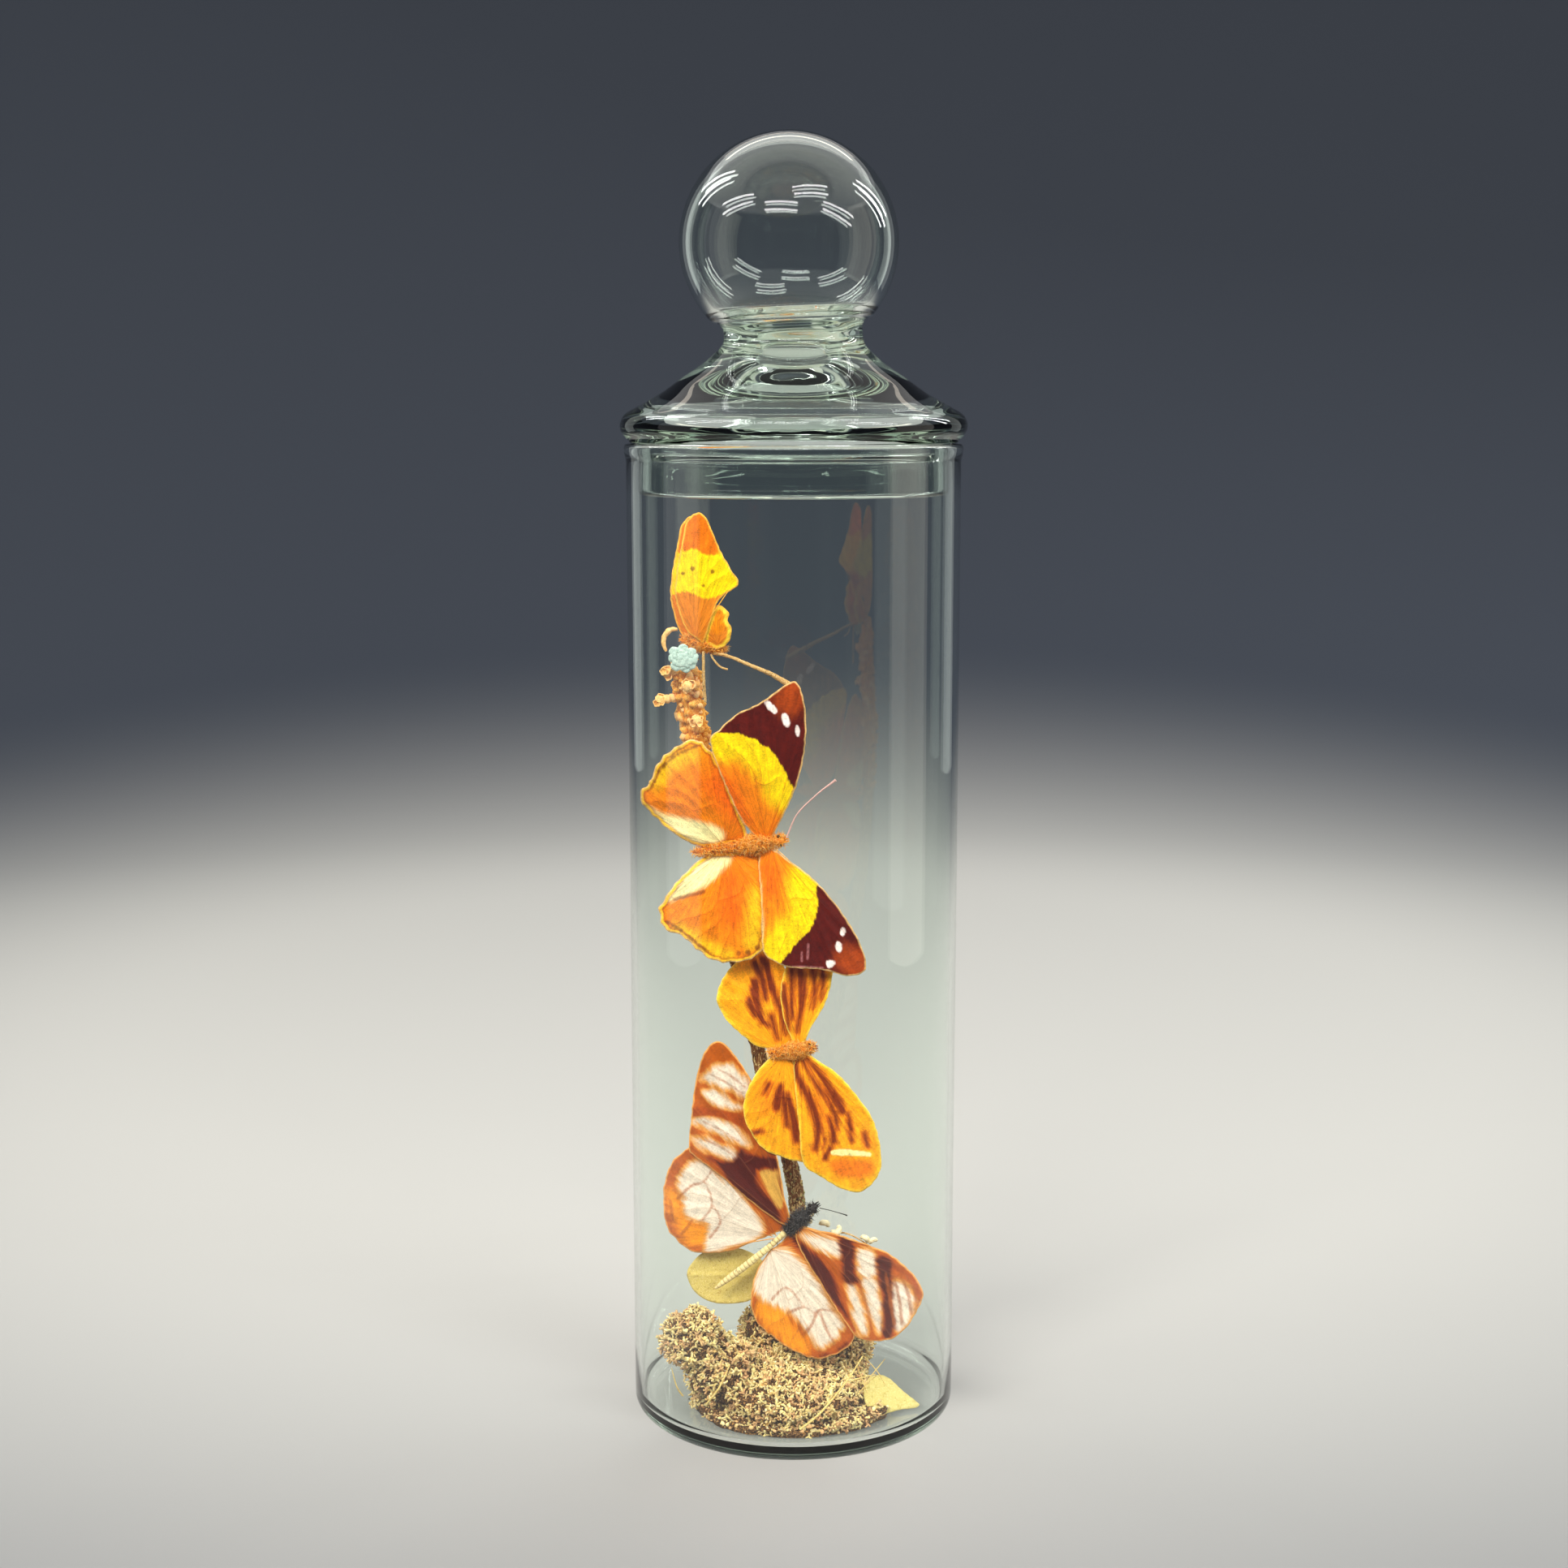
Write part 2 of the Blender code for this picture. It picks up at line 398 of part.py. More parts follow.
def make_moss(materials, collection, cutters):
    centre, radii = MOSS_LUMPS[0]
    moss = lump("moss_mound", centre, radii, materials["moss"], collection, MOSS_ROUGH, 0.0)
    for number, (centre, radii) in enumerate(MOSS_LUMPS[1:], start=1):
        more = lump(f"moss_lump_{number}", centre, radii, materials["moss"], cutters, MOSS_ROUGH, number)
        cut(moss, "UNION", more)
    inside = JAR_RADIUS - JAR_WALL - MOSS_CLEAR
    middle = MOSS_BASE + MOSS_ROOM_HEIGHT / 2
    room = primitive("moss_room", cutters, Matrix.Translation((0.0, 0.0, middle * MM)), segments=40,
                     radius1=inside * MM, radius2=inside * MM, depth=MOSS_ROOM_HEIGHT * MM)
    cut(moss, "INTERSECT", room)
    low = Vector(BRANCH[0][:3])
    way = (Vector(BRANCH[1][:3]) - low).normalized()
    turn = Vector((0.0, 0.0, 1.0)).rotation_difference(way).to_matrix().to_4x4()
    shift = Matrix.Translation((low + way * (SOCKET_REACH / 2 - 2 * GAP)) * MM)
    socket_radius = (BRANCH[0][3] + 2 * GAP) * MM
    socket = primitive("branch_socket", cutters, shift @ turn, segments=16, radius1=socket_radius,
                       radius2=socket_radius, depth=SOCKET_REACH * MM)
    cut(moss, "DIFFERENCE", socket)


def make_plants(materials, collection):
    tube("branch", BRANCH, materials["bark"], collection, 3)
    tube("side_twig", SIDE_TWIG, materials["bark"], collection, 1)
    tube("fork_twig", FORK_TWIG, materials["bark"], collection, 1)
    tube("thin_stem", STEM, materials["bark"], collection, 1)
    tube("bark_curl", BARK_CURL, materials["bark"], collection, 1)
    tube("seed_sprig", SPRIG, materials["bark"], collection, 1)
    for number, (x, y, z, radius) in enumerate(SEEDS, start=1):
        ball(f"seed_{number}", (x, y, z), (radius, radius, radius), materials["seed"], collection)
    for number, (x, y, z, radius) in enumerate(ORANGE_CUPS, start=1):
        ball(f"orange_lichen_{number}", (x, y, z), (radius, CUP_DEPTH * radius, radius),
             materials["orange_lichen"], collection)
    ball("blue_lichen", ROSETTE_AT, ROSETTE_RADII, materials["blue_lichen"], collection)
    round_leaf = arc((0.0, 0.0), (ROUND_LEAF_SIZE[0] / 2, ROUND_LEAF_SIZE[1] / 2), 0, 340, 17)
    up = Vector(ROUND_LEAF_UP).normalized()
    flat("round_leaf", round_leaf, LEAF_THICK, materials["leaf"], collection,
         placing(*squared(ROUND_LEAF_LONG, up), ROUND_LEAF_AT))
    down = Vector(POINTED_LEAF_LONG).normalized()
    side, _ = squared(POINTED_LEAF_SIDE, down)
    flat("pointed_leaf", POINTED_LEAF, LEAF_THICK, materials["leaf"], collection,
         placing(down, side, POINTED_LEAF_AT))


def ball(name, centre, radii, material, collection):
    """A small rounded lump."""
    form = bmesh.new()
    bmesh.ops.create_icosphere(form, subdivisions=1, radius=1.0)
    for vert in form.verts:
        vert.co = [(c + r * v) * MM for c, r, v in zip(centre, radii, vert.co)]
    mesh = bpy.data.meshes.new(name)
    form.to_mesh(mesh)
    form.free()
    return new_object(name, mesh, material, collection)


def main():
    clear_scene()
    collection = collection_of("insect_in_glass_dome")
    cutters = collection_of("cutters")
    finishes = {"glass": GLASS, "golden": GOLDEN_WING, "striped": STRIPED_WING, "window": WINDOW_WING,
                "yellow": YELLOW_WING, "chitin": CHITIN, "bark": BARK, "moss": MOSS, "leaf": DRY_LEAF,
                "blue_lichen": BLUE_LICHEN, "orange_lichen": ORANGE_LICHEN, "seed": SEED}
    materials = {name: material_of(name, finish) for name, finish in finishes.items()}
    turned("jar", jar_profile(), materials["glass"], collection)
    turned("lid", lid_profile(), materials["glass"], collection)
    make_moss(materials, collection, cutters)
    make_plants(materials, collection)
    make_golden(materials, collection)
    make_striped(materials, collection)
    make_window(materials, collection)
    make_yellow(materials, collection)
    make_antennae(materials, collection)


main()
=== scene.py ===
"""Looks of a tall glass display jar whose ball-topped lid closes over four dried butterflies on a stick.

Every sub-assembly is a class with its sizes as fields. Lengths inside a class are in millimetres, and its
meshes are written in metres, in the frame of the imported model.
"""

import json
import logging
import math
import random
from dataclasses import dataclass, field
from enum import Enum

import bmesh
import bpy
import numpy as np
from mathutils import Matrix, Quaternion, Vector, noise
from mathutils.geometry import delaunay_2d_cdt

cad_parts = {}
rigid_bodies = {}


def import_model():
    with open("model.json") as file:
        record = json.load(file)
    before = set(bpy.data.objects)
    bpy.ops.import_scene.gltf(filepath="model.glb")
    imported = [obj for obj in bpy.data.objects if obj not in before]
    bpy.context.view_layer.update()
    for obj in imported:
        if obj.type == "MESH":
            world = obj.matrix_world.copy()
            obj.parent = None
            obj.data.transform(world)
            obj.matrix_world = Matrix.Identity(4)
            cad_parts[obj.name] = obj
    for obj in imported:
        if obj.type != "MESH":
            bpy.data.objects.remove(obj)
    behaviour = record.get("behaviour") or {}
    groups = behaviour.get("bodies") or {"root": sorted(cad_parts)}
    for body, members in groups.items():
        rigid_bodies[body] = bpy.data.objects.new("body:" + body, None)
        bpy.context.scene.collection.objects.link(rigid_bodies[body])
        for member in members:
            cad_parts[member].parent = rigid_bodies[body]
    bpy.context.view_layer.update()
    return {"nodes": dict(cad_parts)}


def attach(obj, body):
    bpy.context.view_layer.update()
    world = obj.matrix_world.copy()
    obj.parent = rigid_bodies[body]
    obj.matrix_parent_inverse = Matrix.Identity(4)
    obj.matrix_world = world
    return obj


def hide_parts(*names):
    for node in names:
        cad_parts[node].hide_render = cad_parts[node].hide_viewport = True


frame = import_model()

LOG = logging.getLogger("insects_in_glass_jar")
MM = 0.001
BODY = "root"
FAR_AWAY = 99.0  # the distance to a mark that a wing doesn't have, mm

Point2 = tuple[float, float]
Route = tuple[tuple[float, float, float, float], ...]


class Slot(Enum):
    """The record's material slots."""

    GLASS = "clear_glass"
    GOLDEN = "golden_wing"
    STRIPED = "striped_wing"
    WINDOW = "window_wing"
    YELLOW = "yellow_wing"
    INSECT = "insect_body"
    BARK = "bark"
    MOSS = "dry_moss"
    LEAF = "dry_leaf"
    BLUE_LICHEN = "blue_lichen"
    ORANGE_LICHEN = "orange_lichen"
    SEED = "seed"


def rgb(red: float, green: float, blue: float) -> tuple[float, float, float, float]:
    """Turns a display colour into the linear colour that shaders take.

    Args:
        red: Red, from 0 to 255.
        green: Green, from 0 to 255.
        blue: Blue, from 0 to 255.

    Returns:
        The linear colour, with full alpha.
    """
    parts = [value / 255 for value in (red, green, blue)]
    linear = [c / 12.92 if c <= 0.04045 else ((c + 0.055) / 1.055) ** 2.4 for c in parts]
    return (*linear, 1.0)


class Graph:
    """A node tree under construction, for a shader or for geometry."""

    def __init__(self, tree: bpy.types.NodeTree) -> None:
        """Keeps the tree that nodes are added to."""
        self.tree = tree

    @staticmethod
    def pick(sockets: object, key: str | int) -> bpy.types.NodeSocket:
        """Finds a socket in use by its name, or by its place among those in use."""
        live = [socket for socket in sockets if socket.enabled]
        if isinstance(key, int):
            return live[key]
        return next(socket for socket in live if socket.name == key)

    def feed(self, node: bpy.types.Node, key: str | int, value: object) -> None:
        """Links a node or a socket into an input, or sets the input's own value.

        Args:
            node: The node that takes the value.
            key: The input's name or place.
            value: A node, a socket, a number, a colour, a vector or a string.
        """
        socket = self.pick(node.inputs, key)
        if isinstance(value, bpy.types.Node):
            value = self.pick(value.outputs, 0)
        if isinstance(value, bpy.types.NodeSocket):
            self.tree.links.new(value, socket)
        else:
            socket.default_value = value

    def add(self, kind: str, feeds: dict | None = None, **settings: object) -> bpy.types.Node:
        """Adds a node.

        Args:
            kind: The node's type name.
            feeds: What goes into its inputs, by name or place.
            **settings: The node's own properties.

        Returns:
            The new node.
        """
        node = self.tree.nodes.new(kind)
        for key, value in settings.items():
            setattr(node, key, value)
        for key, value in (feeds or {}).items():
            self.feed(node, key, value)
        return node

    def math(self, operation: str, *values: object) -> bpy.types.Node:
        """Adds a Math node with its values in order."""
        return self.add("ShaderNodeMath", dict(enumerate(values)), operation=operation)

    def declare(self, name: str, kind: str, default: object = None, output: bool = False) -> None:
        """Adds a named input or output to the tree's interface.

        Args:
            name: The socket's name.
            kind: The socket's type name, without its NodeSocket prefix.
            default: The value it has when nothing is linked.
            output: True for an output.
        """
        way = "OUTPUT" if output else "INPUT"
        socket = self.tree.interface.new_socket(name, in_out=way, socket_type="NodeSocket" + kind)
        if default is not None:
            socket.default_value = default


# Shader groups that several finishes share.


def make_mark_group() -> bpy.types.NodeTree:
    """Builds the group that turns the distance to a mark into a soft, ragged mask along the wing's rays."""
    graph = Graph(bpy.data.node_groups.new("mark", "ShaderNodeTree"))
    for name, kind, default in (
        ("Distance", "Float", FAR_AWAY),
        ("Limit", "Float", 0.0),
        ("Softness", "Float", 0.3),
        ("Raggedness", "Float", 0.3),
        ("Strength", "Float", 1.0),
        ("Ray", "Vector", (0.0, 0.0, 0.0)),
    ):
        graph.declare(name, kind, default)
    graph.declare("Mask", "Float", output=True)
    given = graph.add("NodeGroupInput")
    stretched = graph.add(
        "ShaderNodeVectorMath", {0: given.outputs["Ray"], 1: (0.14, 1.1, 1.0)}, operation="MULTIPLY"
    )
    grain = graph.add("ShaderNodeTexNoise", {"Vector": stretched, "Scale": 1.0, "Detail": 3.0})
    swing = graph.math("MULTIPLY_ADD", grain, 2.4, -1.2)
    moved = graph.math("MULTIPLY_ADD", swing, given.outputs["Raggedness"], given.outputs["Distance"])
    near = graph.math("SUBTRACT", given.outputs["Limit"], given.outputs["Softness"])
    far = graph.math("ADD", given.outputs["Limit"], given.outputs["Softness"])
    mask = graph.add(
        "ShaderNodeMapRange",
        {"Value": moved, "From Min": near, "From Max": far, "To Min": 1.0, "To Max": 0.0},
        interpolation_type="SMOOTHSTEP",
    )
    strength = graph.math("MULTIPLY", mask, given.outputs["Strength"])
    graph.add("NodeGroupOutput", {"Mask": strength})
    return graph.tree


def make_scale_group() -> bpy.types.NodeTree:
    """Builds the group that lays a wing's rows of dusty scales over its colour, with their height."""
    graph = Graph(bpy.data.node_groups.new("wing_scales", "ShaderNodeTree"))
    graph.declare("Color", "Color", (0.5, 0.5, 0.5, 1.0))
    graph.declare("Ray", "Vector", (0.0, 0.0, 0.0))
    graph.declare("Grain", "Float", 0.3)
    graph.declare("Color", "Color", output=True)
    graph.declare("Height", "Float", output=True)
    given = graph.add("NodeGroupInput")
    long_way = graph.add(
        "ShaderNodeVectorMath", {0: given.outputs["Ray"], 1: (0.13, 1.5, 1.0)}, operation="MULTIPLY"
    )
    rays = graph.add("ShaderNodeTexNoise", {"Vector": long_way, "Scale": 1.0, "Detail": 4.0})
    dust = graph.add("ShaderNodeTexNoise", {"Vector": given.outputs["Ray"], "Scale": 2.6, "Detail": 2.0})
    both = graph.math("ADD", rays, dust)
    blotch = graph.add("ShaderNodeTexNoise", {"Vector": given.outputs["Ray"], "Scale": 0.55, "Detail": 5.0})
    swing = graph.math("SUBTRACT", graph.math("MULTIPLY_ADD", blotch, 0.8, both), 1.4)
    value = graph.math("MULTIPLY_ADD", swing, given.outputs["Grain"], 1.0)
    toned = graph.add("ShaderNodeHueSaturation", {"Color": given.outputs["Color"], "Value": value})
    end = graph.add("NodeGroupOutput")
    graph.feed(end, "Color", toned)
    graph.feed(end, "Height", both)
    return graph.tree


def make_patch_group() -> bpy.types.NodeTree:
    """Builds the group that mottles dry plant matter between three tones, with its height."""
    graph = Graph(bpy.data.node_groups.new("dry_patches", "ShaderNodeTree"))
    for name, kind, default in (
        ("Vector", "Vector", (0.0, 0.0, 0.0)),
        ("Scale", "Float", 200.0),
        ("Deep", "Color", (0.1, 0.05, 0.02, 1.0)),
        ("Main", "Color", (0.4, 0.3, 0.1, 1.0)),
        ("Light", "Color", (0.8, 0.7, 0.4, 1.0)),
    ):
        graph.declare(name, kind, default)
    graph.declare("Color", "Color", output=True)
    graph.declare("Height", "Float", output=True)
    given = graph.add("NodeGroupInput")
    wide = graph.add(
        "ShaderNodeTexNoise",
        {"Vector": given.outputs["Vector"], "Scale": given.outputs["Scale"], "Detail": 5.0, "Roughness": 0.6},
    )
    finer = graph.math("MULTIPLY", given.outputs["Scale"], 4.3)
    fine = graph.add(
        "ShaderNodeTexNoise", {"Vector": given.outputs["Vector"], "Scale": finer, "Detail": 3.0}
    )
    deep = graph.add("ShaderNodeMapRange", {"Value": wide, "From Min": 0.46, "From Max": 0.34})
    light = graph.add("ShaderNodeMapRange", {"Value": fine, "From Min": 0.5, "From Max": 0.68})
    low = graph.add(
        "ShaderNodeMix",
        {"Factor": deep, "A": given.outputs["Main"], "B": given.outputs["Deep"]},
        data_type="RGBA",
    )
    high = graph.add(
        "ShaderNodeMix", {"Factor": light, "A": low, "B": given.outputs["Light"]}, data_type="RGBA"
    )
    height = graph.math("MULTIPLY_ADD", fine, 0.4, wide)
    end = graph.add("NodeGroupOutput")
    graph.feed(end, "Color", high)
    graph.feed(end, "Height", height)
    return graph.tree


class Surface(Graph):
    """A material under construction round one Principled BSDF."""

    def __init__(self, name: str, shared: "SharedGroups") -> None:
        """Starts the material.

        Args:
            name: The material's name.
            shared: The shader groups that finishes share.
        """
        self.material = bpy.data.materials.new(name)
        self.material.use_nodes = True
        super().__init__(self.material.node_tree)
        self.shader = self.tree.nodes["Principled BSDF"]
        self.place = self.add("ShaderNodeTexCoord").outputs["Object"]
        self.shared = shared

    def attribute(self, name: str, part: str = "Fac") -> bpy.types.NodeSocket:
        """Reads one of the mesh's own attributes."""
        return self.add("ShaderNodeAttribute", attribute_name=name).outputs[part]

    def group(self, tree: bpy.types.NodeTree, feeds: dict) -> bpy.types.Node:
        """Places a shared group with its values."""
        node = self.tree.nodes.new("ShaderNodeGroup")
        node.node_tree = tree
        for key, value in feeds.items():
            self.feed(node, key, value)
        return node

    def mix(self, mask: object, under: object, over: object) -> bpy.types.NodeSocket:
        """Lays one colour over another where the mask is 1."""
        node = self.add("ShaderNodeMix", {"Factor": mask, "A": under, "B": over}, data_type="RGBA")
        return self.pick(node.outputs, "Result")

    def noise(self, scale: float, detail: float = 3.0, vector: object = None) -> bpy.types.Node:
        """Adds a noise over the piece, in features to the metre."""
        return self.add(
            "ShaderNodeTexNoise", {"Vector": vector or self.place, "Scale": scale, "Detail": detail}
        )

    def between(self, value: object, low: float, high: float) -> bpy.types.Node:
        """Maps a value so that low gives 0 and high gives 1, smoothly."""
        return self.add(
            "ShaderNodeMapRange",
            {"Value": value, "From Min": low, "From Max": high},
            interpolation_type="SMOOTHSTEP",
        )

    def bump(self, height: object, distance: float, strength: float = 0.6) -> None:
        """Feeds a height into the shader's normal.

        Args:
            height: The height, from 0 to 1.
            distance: How tall a height of 1 is, in mm.
            strength: How much of it shows.
        """
        node = self.add(
            "ShaderNodeBump", {"Height": height, "Distance": distance * MM, "Strength": strength}
        )
        self.feed(self.shader, "Normal", node)

    def set(self, **values: object) -> None:
        """Sets or links the shader's sockets, whose names have spaces in place of underscores."""
        for key, value in values.items():
            self.feed(self.shader, key.replace("_", " "), value)


class SharedGroups:
    """The shader groups, each built once."""

    def __init__(self) -> None:
        """Builds every shared group."""
        self.mark = make_mark_group()
        self.scales = make_scale_group()
        self.patches = make_patch_group()


# Finishes.


@dataclass(frozen=True)
class GlassFinish:
    """Clear soda glass, faintly green where it is thick."""

    name: str = "clear_soda_glass"
    ior: float = 1.5
    tint: tuple = rgb(249, 253, 250)
    depth_colour: tuple = rgb(178, 222, 176)
    density: float = 9.0  # absorption for each metre of glass

    def build(self, shared: SharedGroups) -> bpy.types.Material:
        """Makes the material."""
        surface = Surface(self.name, shared)
        surface.set(
            Base_Color=self.tint, Roughness=0.0, IOR=self.ior, Transmission_Weight=1.0, Metallic=0.0
        )
        depth = surface.add(
            "ShaderNodeVolumeAbsorption", {"Color": self.depth_colour, "Density": self.density}
        )
        output = surface.tree.nodes["Material Output"]
        surface.feed(output, "Volume", depth)
        return surface.material


@dataclass(frozen=True)
class Layer:
    """One coloured mark over a wing's ground colour. Limit, softness and raggedness are in mm."""

    mark: str
    colour: tuple
    limit: float = 0.0
    softness: float = 0.3
    raggedness: float = 0.3
    strength: float = 1.0


@dataclass(frozen=True)
class WingFinish:
    """A butterfly's wing: a ground colour, its marks in order, and rows of dusty scales."""

    name: str
    ground: tuple
    layers: tuple[Layer, ...]
    under_colour: tuple
    under_strength: float = 0.5
    grain: float = 1.0
    roughness: float = 0.62

    def build(self, shared: SharedGroups) -> bpy.types.Material:
        """Makes the material."""
        surface = Surface(self.name, shared)
        ray = surface.attribute("ray", "Vector")
        colour = self.ground
        for layer in self.layers:
            mask = surface.group(
                shared.mark,
                {
                    "Distance": surface.attribute(layer.mark),
                    "Limit": layer.limit,
                    "Softness": layer.softness,
                    "Raggedness": layer.raggedness,
                    "Strength": layer.strength,
                    "Ray": ray,
                },
            )
            colour = surface.mix(mask, colour, layer.colour)
        under = surface.math("MULTIPLY", surface.attribute("under"), self.under_strength)
        colour = surface.mix(under, colour, self.under_colour)
        scales = surface.group(shared.scales, {"Color": colour, "Ray": ray, "Grain": self.grain})
        surface.set(
            Base_Color=scales.outputs["Color"],
            Roughness=self.roughness,
            Specular_IOR_Level=0.2,
        )
        surface.bump(scales.outputs["Height"], 0.1, 0.6)
        return surface.material


@dataclass(frozen=True)
class PatchFinish:
    """Dry plant matter mottled between three tones. Scale is in features to the metre."""

    name: str
    deep: tuple
    main: tuple
    light: tuple
    scale: float = 200.0
    bump: float = 0.4
    roughness: float = 0.85
    sheen: float = 0.0
    toned: bool = False  # follows the tone kept on each scattered piece
    other: tuple | None = None  # the colour at the far end of that tone

    def build(self, shared: SharedGroups) -> bpy.types.Material:
        """Makes the material."""
        surface = Surface(self.name, shared)
        patches = surface.group(
            shared.patches,
            {
                "Vector": surface.place,
                "Scale": self.scale,
                "Deep": self.deep,
                "Main": self.main,
                "Light": self.light,
            },
        )
        colour = patches.outputs["Color"]
        if self.toned:
            tone = surface.attribute("tone")
            if self.other is not None:
                colour = surface.mix(surface.between(tone, 0.35, 1.0), colour, self.other)
            # painted shade: the value drops where a piece's shade attribute is low, towards the base of each
            # moss strand
            value = surface.math("MULTIPLY_ADD", surface.attribute("shade"), 0.6, 0.55)
            node = surface.add("ShaderNodeHueSaturation", {"Color": colour, "Value": value})
            colour = surface.pick(node.outputs, 0)
        surface.set(
            Base_Color=colour,
            Roughness=self.roughness,
            Sheen_Weight=self.sheen,
            Specular_IOR_Level=0.3,
        )
        surface.bump(patches.outputs["Height"], self.bump)
        return surface.material


@dataclass(frozen=True)
class BarkFinish:
    """Dark bark low on the stick that turns to golden, powdery bark near its top."""

    name: str = "lichened_bark"
    low_tones: tuple = (rgb(50, 26, 10), rgb(122, 76, 34), rgb(226, 196, 134))
    high_tones: tuple = (rgb(150, 84, 12), rgb(222, 142, 40), rgb(250, 206, 120))
    turn_start: float = 0.165  # metres above the foot
    turn_end: float = 0.2

    def build(self, shared: SharedGroups) -> bpy.types.Material:
        """Makes the material."""
        surface = Surface(self.name, shared)
        squeezed = surface.add(
            "ShaderNodeVectorMath", {0: surface.place, 1: (1.0, 1.0, 0.4)}, operation="MULTIPLY"
        )
        halves = []
        for tones in (self.low_tones, self.high_tones):
            feeds = dict(zip(("Deep", "Main", "Light"), tones))
            halves.append(surface.group(shared.patches, {"Vector": squeezed, "Scale": 420.0, **feeds}))
        height = surface.add("ShaderNodeSeparateXYZ", {0: surface.place}).outputs["Z"]
        ragged = surface.math("MULTIPLY_ADD", surface.noise(60.0), 0.03, height)
        turn = surface.between(ragged, self.turn_start + 0.015, self.turn_end + 0.015)
        colour = surface.mix(turn, halves[0].outputs["Color"], halves[1].outputs["Color"])
        surface.set(Base_Color=colour, Roughness=0.85, Specular_IOR_Level=0.3)
        surface.bump(halves[0].outputs["Height"], 0.5, 0.8)
        return surface.material


@dataclass(frozen=True)
class ChitinFinish:
    """A dried insect's skin: banded along the body, with glossy eyes."""

    name: str
    skin: tuple
    abdomen: tuple
    band: tuple
    eye: tuple = rgb(28, 14, 8)
    bands: float = 0.8
    roughness: float = 0.45

    def build(self, shared: SharedGroups) -> bpy.types.Material:
        """Makes the material."""
        surface = Surface(self.name, shared)
        groove = surface.attribute("groove")
        speckle = surface.noise(2500.0)
        banded = surface.math("MULTIPLY", surface.between(groove, 0.35, 0.85), self.bands)
        colour = surface.mix(surface.attribute("abdomen"), self.skin, self.abdomen)
        colour = surface.mix(banded, colour, self.band)
        value = surface.math("MULTIPLY_ADD", speckle, 0.7, 0.65)
        toned = surface.add("ShaderNodeHueSaturation", {"Color": colour, "Value": value})
        eye = surface.attribute("eye")
        colour = surface.mix(eye, toned, self.eye)
        shine = surface.math("MULTIPLY_ADD", eye, -0.3, self.roughness)
        surface.set(Base_Color=colour, Roughness=shine)
        surface.bump(speckle, 0.1, 0.4)
        return surface.material


@dataclass(frozen=True)
class StageFinish:
    """A pale floor that runs up into a greyer backdrop."""

    name: str = "studio_sweep"
    near: tuple = rgb(176, 175, 170)
    far: tuple = rgb(58, 63, 72)
    centre: tuple = (0.0, -0.5, 0.0)  # takes the pale pool back behind the jar
    near_radius: float = 0.32
    far_radius: float = 0.95

    def build(self, shared: SharedGroups) -> bpy.types.Material:
        """Makes the material."""
        surface = Surface(self.name, shared)
        moved = surface.add("ShaderNodeVectorMath", {0: surface.place, 1: self.centre}, operation="ADD")
        reach = surface.add("ShaderNodeVectorMath", {0: moved}, operation="LENGTH")
        fade = surface.between(reach.outputs["Value"], self.near_radius, self.far_radius)
        colour = surface.mix(fade, self.near, self.far)
        surface.set(Base_Color=colour, Roughness=0.7, Specular_IOR_Level=0.25)
        surface.bump(surface.noise(900.0, 2.0), 0.1, 0.15)
        return surface.material


GOLDEN_FINISH = WingFinish(
    name="golden_wing_scales",
    ground=rgb(242, 128, 4),
    layers=(
        Layer("warm", rgb(244, 96, 2), 1.6, 3.8, 1.6, 0.8),
        Layer("dark", rgb(255, 210, 0), 8.5, 3.2, 2.2),
        Layer("glow", rgb(255, 196, 20), 1.2, 2.6, 1.0, 0.85),
        Layer("pale", rgb(255, 238, 168), -0.2, 1.3, 1.1),
        Layer("vein", rgb(196, 78, 4), 0.1, 0.28, 0.1, 0.55),
        Layer("hem", rgb(150, 62, 8), 1.5, 0.4, 0.5, 0.6),
        Layer("hem", rgb(250, 190, 40), 1.0, 0.25, 0.35, 0.95),
        Layer("shadow", rgb(120, 50, 10), 0.3, 0.5, 0.5, 0.75),
        Layer("dark", rgb(84, 14, 4), 0.1, 0.35, 0.85),
        Layer("apex", rgb(170, 66, 10), 3.0, 3.0, 1.8, 0.85),
        Layer("spot", rgb(255, 230, 220), -0.5, 0.3, 0.75),
        Layer("pink", rgb(190, 120, 120), 0.15, 0.3, 0.2, 0.7),
        Layer("edge", rgb(236, 188, 120), 0.4, 0.25, 0.25, 0.85),
    ),
    under_colour=rgb(206, 160, 96),
)
STRIPED_FINISH = WingFinish(
    name="striped_wing_scales",
    ground=rgb(246, 158, 10),
    layers=(
        Layer("warm", rgb(234, 118, 6), 2.0, 4.0, 1.6, 0.75),
        Layer("vein", rgb(214, 112, 8), 0.1, 0.3, 0.1, 0.5),
        Layer("tip", rgb(234, 112, 8), 0.0, 1.2, 0.8, 0.9),
        Layer("edge", rgb(250, 192, 36), 0.9, 0.6, 0.5, 0.8),
        Layer("streak", rgb(190, 84, 2), 0.75, 0.6, 1.1, 0.85),
        Layer("streak", rgb(112, 34, 2), -0.05, 0.5, 0.9, 0.92),
        Layer("cream", rgb(255, 240, 156), 0.0, 0.35, 0.3),
        Layer("edge", rgb(250, 214, 96), 0.3, 0.2, 0.2, 0.7),
    ),
    under_colour=rgb(214, 150, 60),
)
